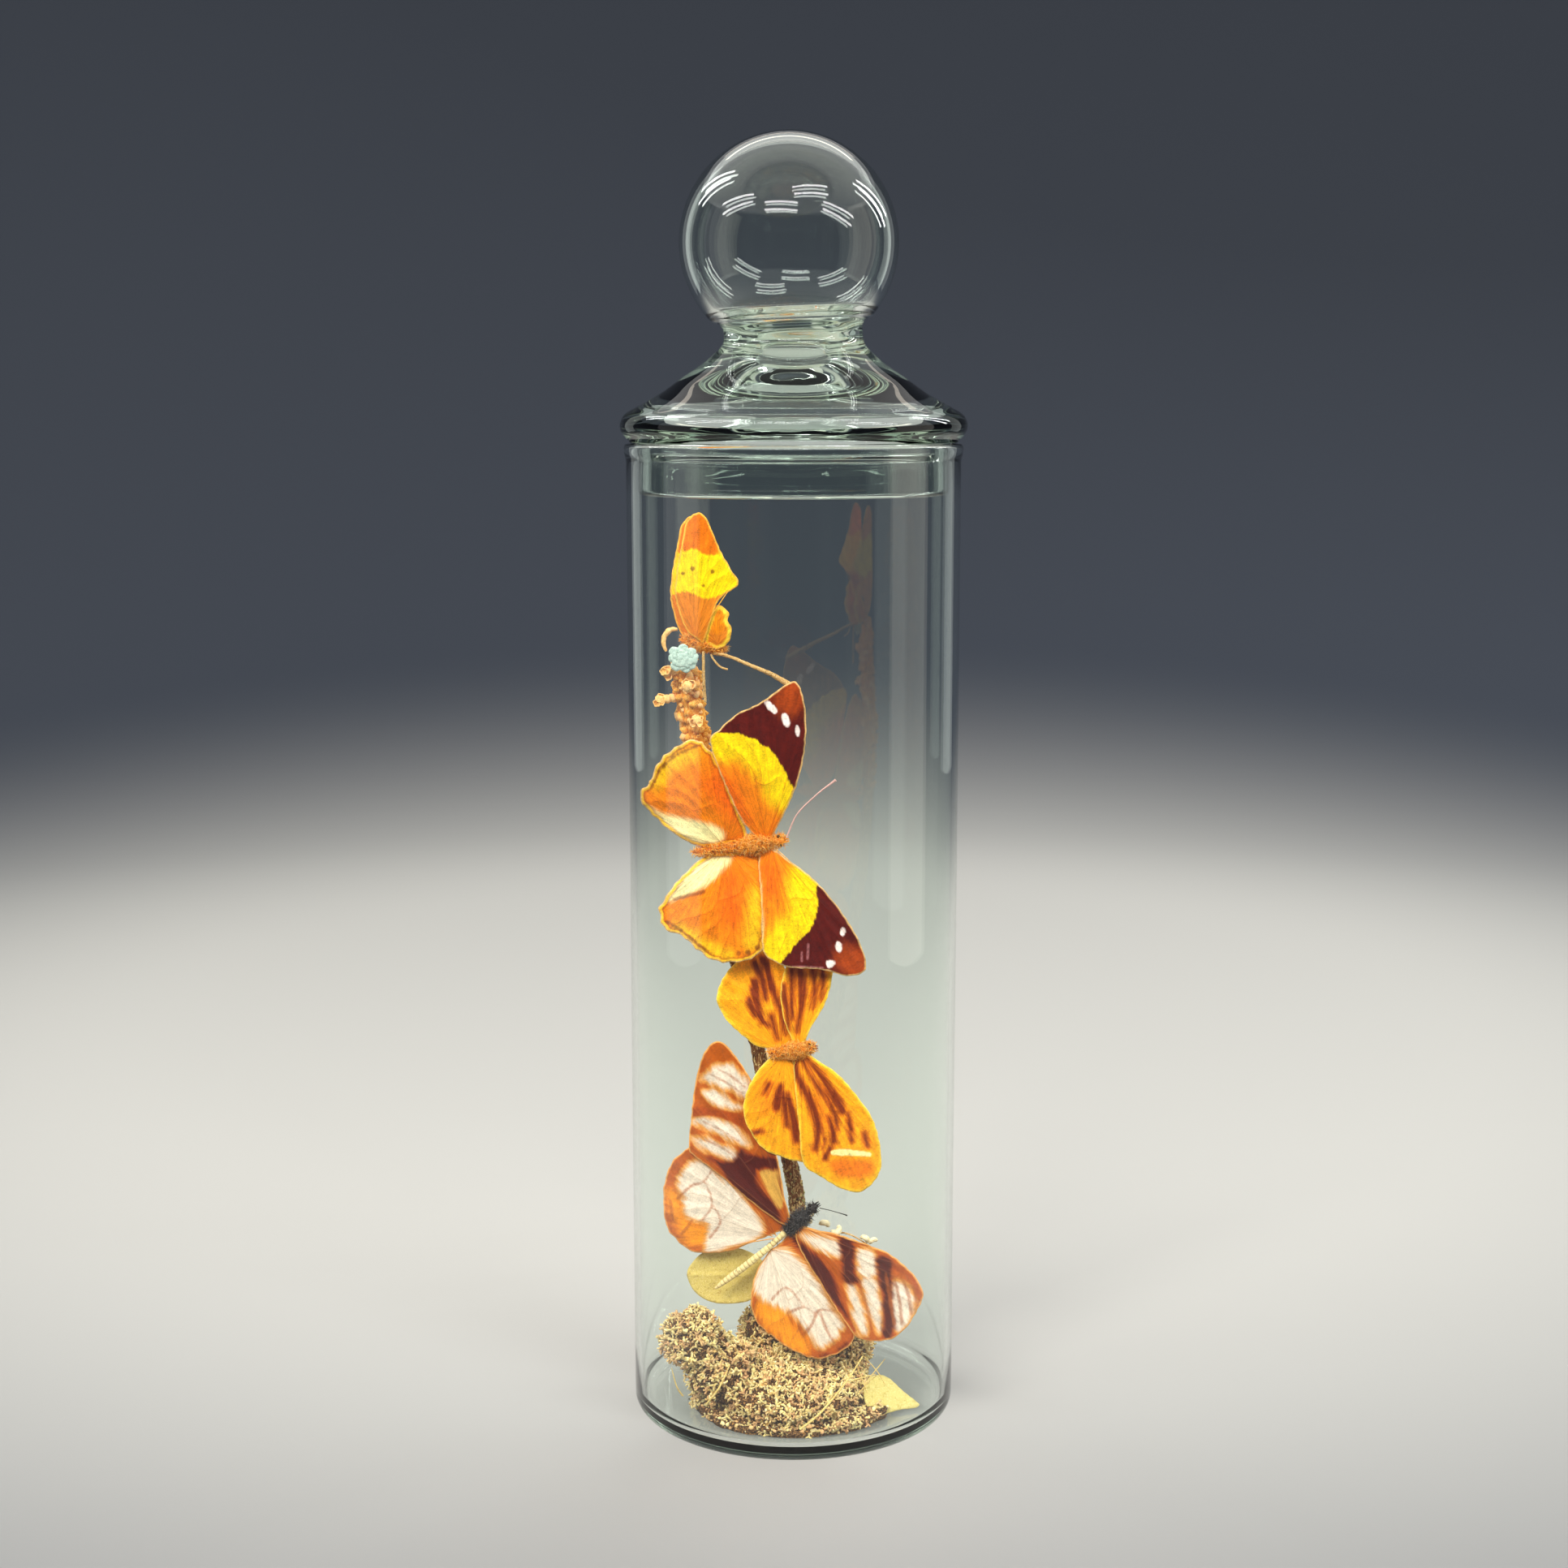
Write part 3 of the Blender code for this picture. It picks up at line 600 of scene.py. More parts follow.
WINDOW_FINISH = WingFinish(
    name="window_wing_membrane",
    ground=rgb(172, 80, 6),
    layers=(
        Layer("border", rgb(236, 140, 10), -0.8, 2.4, 3.0),
        Layer("pane", rgb(216, 150, 70), 0.7, 0.6, 1.3, 0.85),
        Layer("pane", rgb(224, 206, 184), -0.5, 1.0, 1.6),
        Layer("cell", rgb(204, 152, 66), 0.0, 0.5, 0.5),
        Layer("dark", rgb(128, 44, 6), 0.5, 0.7, 1.4, 0.8),
        Layer("dark", rgb(72, 14, 4), -0.3, 0.6, 1.2),
        Layer("bar", rgb(160, 66, 8), 0.0, 0.6, 1.0),
        Layer("line", rgb(156, 76, 16), 0.12, 0.4, 0.4, 0.7),
        Layer("vein", rgb(150, 88, 44), 0.05, 0.4, 0.1, 0.5),
        Layer("edge", rgb(226, 160, 84), 0.4, 0.25, 0.25, 0.9),
    ),
    under_colour=rgb(186, 146, 110),
    under_strength=0.35,
    grain=0.7,
    roughness=0.5,
)
YELLOW_FINISH = WingFinish(
    name="yellow_wing_scales",
    ground=rgb(226, 128, 28),
    layers=(
        Layer("band", rgb(255, 214, 2), 0.0, 0.4, 0.8),
        Layer("apex", rgb(236, 116, 6), 0.0, 0.45, 0.7),
        Layer("orange", rgb(244, 140, 10), 0.0, 0.6, 0.6),
        Layer("vein", rgb(196, 96, 10), 0.06, 0.22, 0.1, 0.45),
        Layer("spot", rgb(140, 78, 4), 0.0, 0.3, 0.3, 0.85),
        Layer("hem", rgb(255, 216, 60), 1.2, 0.4, 0.35, 0.95),
        Layer("edge", rgb(250, 186, 70), 0.45, 0.25, 0.2, 0.9),
    ),
    under_colour=rgb(232, 190, 120),
    under_strength=0.4,
)


Materials = dict[str, bpy.types.Material]


def make_materials() -> Materials:
    """Builds every material of the object once, with the node groups that they share."""
    shared = SharedGroups()
    made = {
        name: finish.build(shared)
        for name, finish in (
            ("glass", GlassFinish()), ("golden", GOLDEN_FINISH), ("striped", STRIPED_FINISH),
            ("window", WINDOW_FINISH), ("yellow", YELLOW_FINISH), ("bark", BarkFinish()),
            ("stage", StageFinish()),
        )
    }
    plain = (
        ChitinFinish("tan_chitin", rgb(236, 146, 26), rgb(214, 116, 16), rgb(110, 42, 6)),
        ChitinFinish("rust_chitin", rgb(150, 62, 16), rgb(206, 116, 30), rgb(90, 30, 8)),
        ChitinFinish("black_chitin", rgb(24, 16, 14), rgb(236, 214, 150), rgb(176, 136, 74)),
        ChitinFinish("plum_chitin", rgb(214, 168, 158), rgb(214, 168, 158), rgb(150, 100, 92)),
        PatchFinish("moss_shadow", rgb(20, 10, 5), rgb(62, 36, 16), rgb(176, 128, 70), 420.0, 1.0),
        PatchFinish(
            "reindeer_moss", rgb(214, 168, 92), rgb(248, 224, 148), rgb(255, 244, 196), 260.0, 0.2,
            toned=True, other=rgb(226, 176, 122),
        ),
        PatchFinish("straw", rgb(180, 140, 70), rgb(222, 190, 110), rgb(240, 220, 150), 500.0, 0.1),
        PatchFinish(
            "round_leaf_skin", rgb(176, 144, 60), rgb(208, 184, 96), rgb(228, 208, 136), 900.0, 0.3,
        ),
        PatchFinish(
            "pointed_leaf_skin", rgb(186, 166, 84), rgb(206, 188, 108), rgb(222, 206, 138), 500.0, 0.2,
        ),
        PatchFinish(
            "blue_lichen_skin", rgb(150, 176, 160), rgb(180, 204, 190), rgb(212, 224, 206), 700.0, 0.15,
        ),
        PatchFinish(
            "orange_lichen_skin", rgb(214, 134, 60), rgb(246, 192, 116), rgb(253, 222, 164), 700.0, 0.2,
        ),
        PatchFinish(
            "golden_crust", rgb(190, 110, 24), rgb(234, 160, 56), rgb(252, 212, 130), 800.0, 0.15,
            toned=True, other=rgb(246, 196, 132),
        ),
        PatchFinish(
            "cream_crust", rgb(128, 112, 56), rgb(206, 186, 118), rgb(240, 228, 180), 900.0, 0.1,
            toned=True, other=rgb(140, 152, 92),
        ),
        PatchFinish("twig_bark", rgb(120, 80, 36), rgb(196, 152, 92), rgb(232, 204, 148), 700.0, 0.12),
        PatchFinish("seed_skin", rgb(200, 172, 110), rgb(238, 222, 178), rgb(250, 242, 214), 900.0, 0.15),
        PatchFinish("tan_fur", rgb(176, 84, 6), rgb(250, 150, 20), rgb(255, 200, 76), 500.0, 0.05,
                    toned=True, other=rgb(250, 206, 120)),
        PatchFinish("black_fur", rgb(10, 8, 8), rgb(30, 22, 20), rgb(92, 70, 56), 900.0, 0.05, sheen=0.3),
    )
    made.update({finish.name: finish.build(shared) for finish in plain})
    return made


# Meshes.


def link(obj: bpy.types.Object) -> bpy.types.Object:
    """Puts an object in the scene."""
    bpy.context.scene.collection.objects.link(obj)
    return obj


@dataclass
class Form:
    """Points in mm, faces, and numbers kept on each point."""

    points: list = field(default_factory=list)
    faces: list = field(default_factory=list)
    numbers: dict[str, list] = field(default_factory=dict)

    def join(self, points: list, faces: list, **numbers: object) -> None:
        """Adds a shell to the form.

        Args:
            points: Its points.
            faces: Its faces, by their places among those points.
            **numbers: One number for the whole shell, or one for each point, by attribute name.
        """
        start = len(self.points)
        self.points.extend(tuple(p) for p in points)
        self.faces.extend(tuple(i + start for i in f) for f in faces)
        for name in set(self.numbers) | set(numbers):
            kept = self.numbers.setdefault(name, [0.0] * start)
            value = numbers.get(name, 0.0)
            kept.extend(value if isinstance(value, (list, tuple, np.ndarray)) else [value] * len(points))

    def mesh(
        self, name: str, material: bpy.types.Material | None = None, smooth: bool = True
    ) -> bpy.types.Mesh:
        """Makes the Blender mesh.

        Args:
            name: The mesh's name.
            material: Its material, if it takes one now.
            smooth: Whether its faces are shaded smooth.

        Returns:
            The mesh, in metres.
        """
        mesh = bpy.data.meshes.new(name)
        mesh.from_pydata([[c * MM for c in p] for p in self.points], [], self.faces)
        for key, values in self.numbers.items():
            mesh.attributes.new(key, "FLOAT", "POINT").data.foreach_set("value", np.array(values, float))
        if material is not None:
            mesh.materials.append(material)
        mesh.polygons.foreach_set("use_smooth", [smooth] * len(mesh.polygons))
        mesh.update()
        return mesh

    def piece(self, name: str, material: bpy.types.Material, smooth: bool = True) -> bpy.types.Object:
        """Makes the Blender object and puts it in the scene."""
        return link(bpy.data.objects.new(name, self.mesh(name, material, smooth)))


def catmull(points: np.ndarray, spacing: float, closed: bool) -> np.ndarray:
    """Runs a smooth curve through points.

    Args:
        points: The points, one a row, in any number of dimensions.
        spacing: About how far apart the new points lie.
        closed: Whether the last point joins the first.

    Returns:
        The curve's points.
    """
    points = np.asarray(points, float)
    count = len(points)
    made = []
    for i in range(count if closed else count - 1):
        if closed:
            a, b, c, d = (points[(i + k) % count] for k in (-1, 0, 1, 2))
        else:
            a, b, c, d = (points[min(max(i + k, 0), count - 1)] for k in (-1, 0, 1, 2))
        steps = max(1, round(float(np.linalg.norm(c - b)) / spacing))
        for t in np.arange(steps) / steps:
            made.append(
                0.5
                * (2 * b + (c - a) * t + (2 * a - 5 * b + 4 * c - d) * t**2 + (3 * b - a - 3 * c + d) * t**3)
            )
    if not closed:
        made.append(points[-1])
    return np.array(made)


def to_segments(spots: np.ndarray, path: np.ndarray, closed: bool) -> tuple[np.ndarray, np.ndarray]:
    """Finds how far each spot lies from a path.

    Args:
        spots: The spots, one (u, v) a row.
        path: The path's points.
        closed: Whether the last point joins the first.

    Returns:
        The distances, and how far along the path the nearest place lies, from 0 to 1.
    """
    starts = path if closed else path[:-1]
    ends = np.roll(path, -1, axis=0) if closed else path[1:]
    along = ends - starts
    length = np.maximum((along**2).sum(axis=1), 1e-9)
    gap = spots[:, None, :] - starts[None]
    t = np.clip((gap * along[None]).sum(axis=2) / length, 0, 1)
    off = np.linalg.norm(gap - t[..., None] * along[None], axis=2)
    best = off.argmin(axis=1)
    rows = np.arange(len(spots))
    return off[rows, best], (best + t[rows, best]) / len(starts)


def is_inside(spots: np.ndarray, outline: np.ndarray) -> np.ndarray:
    """Says which spots lie inside a closed outline."""
    ends = np.roll(outline, -1, axis=0)
    x, y = spots[:, :1], spots[:, 1:]
    crosses = (outline[:, 1] > y) != (ends[:, 1] > y)
    rise = np.where(ends[:, 1] == outline[:, 1], 1e-9, ends[:, 1] - outline[:, 1])
    reach = outline[:, 0] + (y - outline[:, 1]) * (ends[:, 0] - outline[:, 0]) / rise
    return (crosses & (x < reach)).sum(axis=1) % 2 == 1


def fill_outline(rim: np.ndarray, spacing: float) -> tuple[np.ndarray, list]:
    """Fills an outline with small triangles.

    Args:
        rim: The outline.
        spacing: About how far apart the points inside it lie.

    Returns:
        The points and the faces.
    """
    low, high = rim.min(axis=0), rim.max(axis=0)
    rows = np.arange(low[1], high[1], spacing * 0.87)
    grid = np.array(
        [
            (x + (number % 2) * spacing / 2, y)
            for number, y in enumerate(rows)
            for x in np.arange(low[0], high[0], spacing)
        ]
    )
    grid = grid[is_inside(grid, rim)]
    off, _ = to_segments(grid, rim, True)
    grid = grid[off > spacing * 0.55]
    spots = [Vector(p) for p in np.concatenate([rim, grid])]
    points, _, faces, *_ = delaunay_2d_cdt(spots, [], [list(range(len(rim)))], 1, 1e-5)
    return np.array([tuple(p) for p in points]), faces


# Marks on a wing, in (along the body, outwards) mm.


@dataclass(frozen=True)
class Patch:
    """A filled mark with a smooth outline."""

    outline: tuple[Point2, ...]

    def distance(self, spots: np.ndarray) -> np.ndarray:
        """Gives each spot's distance to the mark's edge, less than 0 inside it."""
        outline = catmull(self.outline, 0.8, True)
        off, _ = to_segments(spots, outline, True)
        return np.where(is_inside(spots, outline), -off, off)


@dataclass(frozen=True)
class Stripe:
    """A drawn line whose half width runs from one value to another."""

    path: tuple[Point2, ...]
    start: float = 0.35
    end: float = 0.7

    def distance(self, spots: np.ndarray) -> np.ndarray:
        """Gives each spot's distance to the mark's edge, less than 0 inside it."""
        off, along = to_segments(spots, catmull(self.path, 0.8, False), False)
        swell = np.sin(np.pi * np.clip(along, 0.0, 1.0)) * 0.25
        return off - (self.start + (self.end - self.start) * along) * (0.85 + swell)


@dataclass(frozen=True)
class Dot:
    """A round mark."""

    centre: Point2
    radius: float

    def distance(self, spots: np.ndarray) -> np.ndarray:
        """Gives each spot's distance to the mark's edge, less than 0 inside it."""
        return np.linalg.norm(spots - np.array(self.centre), axis=1) - self.radius


Marks = dict[str, tuple]


@dataclass
class Wing:
    """One wing: its outline, how it is set on the body, and its marks."""

    name: str
    outline: tuple[Point2, ...]
    side: int
    tilt: float
    lift: float
    marks: Marks
    hind: bool = False
    scallop: float = 0.0  # depth of the teeth along its outer margin, mm
    spacing: float = 0.62
    thickness: float = 0.12
    tuck: float = 1.5  # how far its base runs in under the body, mm

    vein_ends = (0.03, 0.13, 0.25, 0.38, 0.52, 0.66, 0.8, 0.93)
    cell = (0.16, 0.58)
    cell_reach = 0.47

    def rim(self) -> np.ndarray:
        """Gives the smooth outline, with its teeth."""
        rim = catmull(self.outline, self.spacing, True)
        centre = rim.mean(axis=0)
        out = (rim - centre) / np.linalg.norm(rim - centre, axis=1)[:, None]
        reach = np.linalg.norm(rim - self.root(), axis=1)
        outer = np.clip((reach / reach.max() - 0.45) / 0.3, 0, 1)
        steps = np.arange(len(rim))
        wobble = 0.09 * np.sin(steps * 0.9 + 2 * np.sin(steps * 0.23))
        teeth = self.scallop * np.abs(np.sin(steps * math.pi * self.spacing / 4.6))
        rim = rim + out * (wobble - teeth * outer)[:, None]
        rim[:, 1] -= self.tuck * np.clip(1 - rim[:, 1] / 6.0, 0, 1)
        return rim

    def root(self) -> np.ndarray:
        """Gives the place where the wing's veins start."""
        near = [p for p in self.outline if p[1] < 5.0]
        return np.array((sum(p[0] for p in near) / len(near), 0.4))

    def polar(self, rim: np.ndarray) -> tuple[np.ndarray, np.ndarray]:
        """Measures the rim from the root.

        Args:
            rim: The wing's outline.

        Returns:
            The angles of its outer part in order, and the reach at each.
        """
        off = rim - self.root()
        reach = np.linalg.norm(off, axis=1)
        angle = np.arctan2(off[:, 1], off[:, 0])
        outer = reach > 0.4 * reach.max()
        order = np.argsort(angle[outer])
        return angle[outer][order], reach[outer][order]

    def veins(self, rim: np.ndarray) -> list[np.ndarray]:
        """Draws the veins: a closed cell from the root, and a fan from it to the margin.

        Args:
            rim: The wing's outline.

        Returns:
            Each vein's points.
        """
        angles, reaches = self.polar(rim)
        first, last = angles[0], angles[-1]

        def spot(fan: float, part: float) -> np.ndarray:
            """Gives the place at a fraction of the fan and a fraction of the wing's reach there."""
            angle = first + (last - first) * fan
            reach = float(np.interp(angle, angles, reaches)) * part
            return self.root() + reach * np.array((math.cos(angle), math.sin(angle)))

        low, high = self.cell
        drawn = []
        for number, fan in enumerate(self.vein_ends):
            if number in (0, len(self.vein_ends) - 1):
                start, from_part = fan, 0.04
            else:
                start = low + (high - low) * (number - 1) / (len(self.vein_ends) - 3)
                from_part = self.cell_reach
            parts = np.linspace(0, 1, 16)
            ease = parts * parts * (3 - 2 * parts)
            drawn.append(
                np.array(
                    [
                        spot(start + (fan - start) * e, from_part + (0.985 - from_part) * p)
                        for p, e in zip(parts, ease)
                    ]
                )
            )
        for side in self.cell:
            drawn.append(np.array([spot(side, part) for part in np.linspace(0.04, self.cell_reach, 12)]))
        across = np.linspace(low, high, 10)
        sag = 0.06 * np.sin(np.pi * (across - low) / (high - low))
        drawn.append(np.array([spot(fan, self.cell_reach - s) for fan, s in zip(across, sag)]))
        return drawn

    def numbers(self, spots: np.ndarray, rim: np.ndarray, veins: list) -> dict[str, np.ndarray]:
        """Works out what the finish reads at each point of the wing.

        Args:
            spots: The wing's points.
            rim: Its outline.
            veins: Its veins.

        Returns:
            The distance to every kind of mark, in mm.
        """
        edge, _ = to_segments(spots, rim, True)
        vein = np.min([to_segments(spots, path, False)[0] for path in veins], axis=0)
        found = {"edge": edge, "vein": vein, "hem": edge if self.hind else np.full(len(spots), FAR_AWAY)}
        for mark in MARK_NAMES:
            shapes = self.marks.get(mark, ())
            found[mark] = (
                np.min([shape.distance(spots) for shape in shapes], axis=0)
                if shapes
                else np.full(len(spots), FAR_AWAY)
            )
        return found


MARK_NAMES = (
    "warm", "dark", "glow", "pale", "shadow", "apex", "spot", "pink", "tip", "streak", "cream", "border",
    "pane", "cell", "bar", "line", "band", "orange",
)


@dataclass
class Butterfly:
    """A dried butterfly: its place, wings, body and legs, in its own (along, across, back) frame."""

    name: str
    thorax: tuple[float, float, float]
    heading: float
    wings: tuple[Wing, ...]
    body: Route
    wing_slot: Slot
    camber: float = 1.2
    body_lift: float = 0.0
    thorax_span: tuple[float, float] = (-3.0, 4.5)
    skin: str = "tan_chitin"
    abdomen_fur: float = 0.5  # against 1 on the thorax

    def __post_init__(self) -> None:
        """Works out the body's frame."""
        angle = math.radians(self.heading)
        self.along = np.array((math.cos(angle), 0.0, math.sin(angle)))
        self.across = np.array((-math.sin(angle), 0.0, math.cos(angle)))
        self.back = np.array((0.0, -1.0, 0.0))

    def relief(self, spots: np.ndarray, span: float) -> np.ndarray:
        """Gives the wings' shared bend towards the viewer, so that one wing never cuts through the next.

        Args:
            spots: The (u, v) places.
            span: How far the wings reach out.

        Returns:
            The height over the wings' plane, in mm.
        """
        out = np.clip(spots[:, 1] / span, 0, 1)
        bend = self.camber * np.sin(np.pi * out**0.8)
        seed = 10.0 + self.thorax[2]
        wave = [noise.noise(Vector((u * 0.075, v * 0.075, seed))) for u, v in spots]
        return bend + 0.7 * out * np.array(wave)

    def lay(self, wing: Wing, spots: np.ndarray, height: np.ndarray) -> np.ndarray:
        """Places a wing's points in the model's frame.

        Args:
            wing: The wing.
            spots: The (u, v) places.
            height: The height of each over the wing's plane.

        Returns:
            The points in mm.
        """
        rise = math.radians(wing.tilt)
        out = wing.side * math.cos(rise) * self.across + math.sin(rise) * self.back
        up = -wing.side * math.sin(rise) * self.across + math.cos(rise) * self.back
        base = np.array(self.thorax)
        heights = (height + wing.lift)[:, None]
        return base + spots[:, :1] * self.along + spots[:, 1:] * out + heights * up

    def dress_wing(self, wing: Wing, material: bpy.types.Material) -> bpy.types.Object:
        """Builds one wing's membrane.

        Args:
            wing: The wing.
            material: Its finish.

        Returns:
            The piece.
        """
        rim = wing.rim()
        veins = wing.veins(rim)
        spots, faces = fill_outline(rim, wing.spacing)
        numbers = wing.numbers(spots, rim, veins)
        span = max(p[1] for p in wing.outline)
        ridge = 0.13 * np.exp(-((numbers["vein"] / 0.55) ** 2))
        sag = 0.34 * (1 - np.exp(-((numbers["vein"] / 2.1) ** 2)))
        height = self.relief(spots, span) + ridge - sag
        off = spots - wing.root()
        reach = np.linalg.norm(off, axis=1)
        angle = np.arctan2(off[:, 1], off[:, 0])
        ray = np.stack([reach, angle * 22.0, np.full(len(spots), wing.lift * 9 + wing.side * 5)], axis=1)
        half = wing.thickness / 2
        top = self.lay(wing, spots, height + half)
        low = self.lay(wing, spots, height - half)
        count = len(spots)
        up = faces if wing.side > 0 else [f[::-1] for f in faces]
        down = [tuple(i + count for i in reversed(f)) for f in up]
        pairs = {(f[i], f[(i + 1) % len(f)]) for f in up for i in range(len(f))}
        walls = [(b, a, a + count, b + count) for a, b in pairs if (b, a) not in pairs]
        form = Form()
        both = {key: np.concatenate([value, value]) for key, value in numbers.items()}
        under = np.concatenate([np.zeros(count), np.ones(count)])
        form.join(list(top) + list(low), [tuple(f) for f in up] + down + walls, under=under, **both)
        piece = form.piece(f"{self.name}_{wing.name}_membrane", material)
        data = piece.data.attributes.new("ray", "FLOAT_VECTOR", "POINT").data
        data.foreach_set("vector", np.concatenate([ray, ray]).ravel())
        return piece

    def vein_routes(self, wing: Wing) -> list[np.ndarray]:
        """Lays a wing's veins over its membrane, as rows of (x, y, z, radius)."""
        rim = wing.rim()
        span = max(p[1] for p in wing.outline)
        routes = []
        for path in wing.veins(rim):
            reach = np.linalg.norm(path - wing.root(), axis=1)
            radius = 0.17 - 0.1 * np.clip(reach / max(span, 1.0), 0, 1)
            points = self.lay(wing, path, self.relief(path, span) + 0.13)
            routes.append(np.concatenate([points, radius[:, None]], axis=1))
        return routes

    def at(self, u: float, v: float, w: float) -> np.ndarray:
        """Gives the model-frame place of a point in the body's frame."""
        return np.array(self.thorax) + u * self.along + v * self.across + (w + self.body_lift) * self.back

    def body_form(self) -> Form:
        """Builds the abdomen, thorax and head as one skin, with two eyes."""
        route = catmull(np.array(self.body), 0.35, False)
        rear, front = self.thorax_span
        u = route[:, 0]
        abdomen = u < rear
        ring = np.abs(np.sin(u * math.pi / 1.35))
        route[:, 3] *= np.where(abdomen, 0.86 + 0.16 * ring**0.5, 1.0)
        thorax = (u >= rear) & (u <= front)
        swell = np.where(thorax, np.sin(np.pi * np.clip((u - rear) / (front - rear), 0, 1)), 0.0)
        route[:, 3] *= 1 + 0.1 * swell
        points = np.array([self.at(*p[:3]) for p in route])
        form = Form()
        body_points, faces = tube(points, np.maximum(route[:, 3], 0.05), 20)
        groove = np.repeat(np.where(abdomen, 1 - ring, 0.2), 20)
        furry = np.repeat(np.where(thorax, 1.0, np.where(abdomen, self.abdomen_fur, 0.45)), 20)
        cap = np.full(2, 0.2)
        form.join(
            body_points,
            faces,
            groove=np.concatenate([groove, cap]),
            weight=np.concatenate([furry, cap]),
            abdomen=np.concatenate([np.repeat(np.where(abdomen, 1.0, 0.0), 20), (1.0, 0.0)]),
            eye=0.0,
        )
        head = max(self.body[-2], self.body[-3], key=lambda p: p[3] if p[0] > front else 0.0)
        for side in (-1, 1):
            centre = self.at(head[0] + 0.15, head[1] + side * head[3] * 0.72, head[2] + head[3] * 0.2)
            ball_points, ball_faces = ball(centre, (head[3] * 0.56,) * 3, 2)
            form.join(ball_points, ball_faces, eye=1.0)
        return form

    def leg_routes(self) -> list[np.ndarray]:
        """Bends six thin legs under the thorax, and two short palps at the head."""
        routes = []
        rear, front = self.thorax_span
        girth = max(p[3] for p in self.body)
        for side in (-1, 1):
            for number, part in enumerate((0.25, 0.5, 0.78)):
                start = rear + (front - rear) * part
                swing = (number - 1) * 1.6 - 0.6
                knee = (start + swing * 0.5, side * girth * 1.1, -girth * 1.35)
                foot = (start + swing * 1.4 - 0.6, side * girth * 0.45, -girth * 2.1)
                path = np.array([(start, side * girth * 0.5, -girth * 0.6), knee, foot])
                smooth = catmull(path, 0.5, False)
                radius = np.linspace(0.16, 0.07, len(smooth))
                points = [self.at(*p) for p in smooth]
                routes.append(np.concatenate([np.array(points), radius[:, None]], axis=1))
        head = self.body[-1]
        for side in (-1, 1):
            palp = np.array(
                [
                    (head[0] - 0.4, head[1] + side * 0.3, head[2]),
                    (head[0] + 0.8, head[1] + side * 0.4, head[2] + 0.1),
                    (head[0] + 1.5, head[1] + side * 0.3, head[2] + 0.5),
                ]
            )
            smooth = catmull(palp, 0.3, False)
            radius = np.linspace(0.34, 0.12, len(smooth))
            points = [self.at(*p) for p in smooth]
            routes.append(np.concatenate([np.array(points), radius[:, None]], axis=1))
        return routes


def frames_along(points: np.ndarray) -> tuple[np.ndarray, np.ndarray]:
    """Finds two directions square to a path at each of its points, without twist.

    Args:
        points: The path.

    Returns:
        The first and the second directions.
    """
    tangents = np.gradient(points, axis=0)
    tangents /= np.maximum(np.linalg.norm(tangents, axis=1), 1e-9)[:, None]
    start = np.array((0.0, 1.0, 0.0)) if abs(tangents[0][1]) < 0.9 else np.array((1.0, 0.0, 0.0))
    first = []
    for tangent in tangents:
        start = start - tangent * start.dot(tangent)
        start = start / max(np.linalg.norm(start), 1e-9)
        first.append(start)
    first = np.array(first)
    return first, np.cross(tangents, first)


def tube(points: np.ndarray, radii: np.ndarray, sides: int, rough: object = None) -> tuple[list, list]:
    """Builds a closed tube along a path.

    Args:
        points: The path, in mm.
        radii: The radius at each point.
        sides: How many sides it has.
        rough: A function that gives a push outwards at a place, or None.

    Returns:
        The points and the faces. The last two points are the ends' middles.
    """
    first, second = frames_along(points)
    made = []
    for centre, a, b, radius in zip(points, first, second, radii):
        for k in range(sides):
            turn = 2 * math.pi * k / sides
            way = a * math.cos(turn) + b * math.sin(turn)
            push = rough(centre + way * radius) if rough else 0.0
            made.append(centre + way * max(radius + push, 0.02))
    faces = []
    rings = len(points)
    for i in range(rings - 1):
        for k in range(sides):
            n = (k + 1) % sides
            faces.append((i * sides + k, i * sides + n, (i + 1) * sides + n, (i + 1) * sides + k))
    made += [points[0], points[-1]]
    low, high = len(made) - 2, len(made) - 1
    for k in range(sides):
        n = (k + 1) % sides
        faces.append((low, n, k))
        faces.append((high, (rings - 1) * sides + k, (rings - 1) * sides + n))
    return made, faces


def ball(centre: object, radii: tuple, steps: int, rough: object = None) -> tuple[list, list]:
    """Builds a rounded lump.

    Args:
        centre: Its middle, in mm.
        radii: Its three radii.
        steps: How finely it is divided.
        rough: A function that gives a push outwards at a place, or None.

    Returns:
        The points and the faces.
    """
    form = bmesh.new()
    bmesh.ops.create_icosphere(form, subdivisions=steps, radius=1.0)
    middle = Vector(centre)
    points = []
    for vert in form.verts:
        spot = middle + Vector([r * c for r, c in zip(radii, vert.co)])
        if rough:
            spot += vert.co.normalized() * rough(spot)
        points.append(tuple(spot))
    faces = [tuple(v.index for v in face.verts) for face in form.faces]
    form.free()
    return points, faces


# Geometry Nodes.


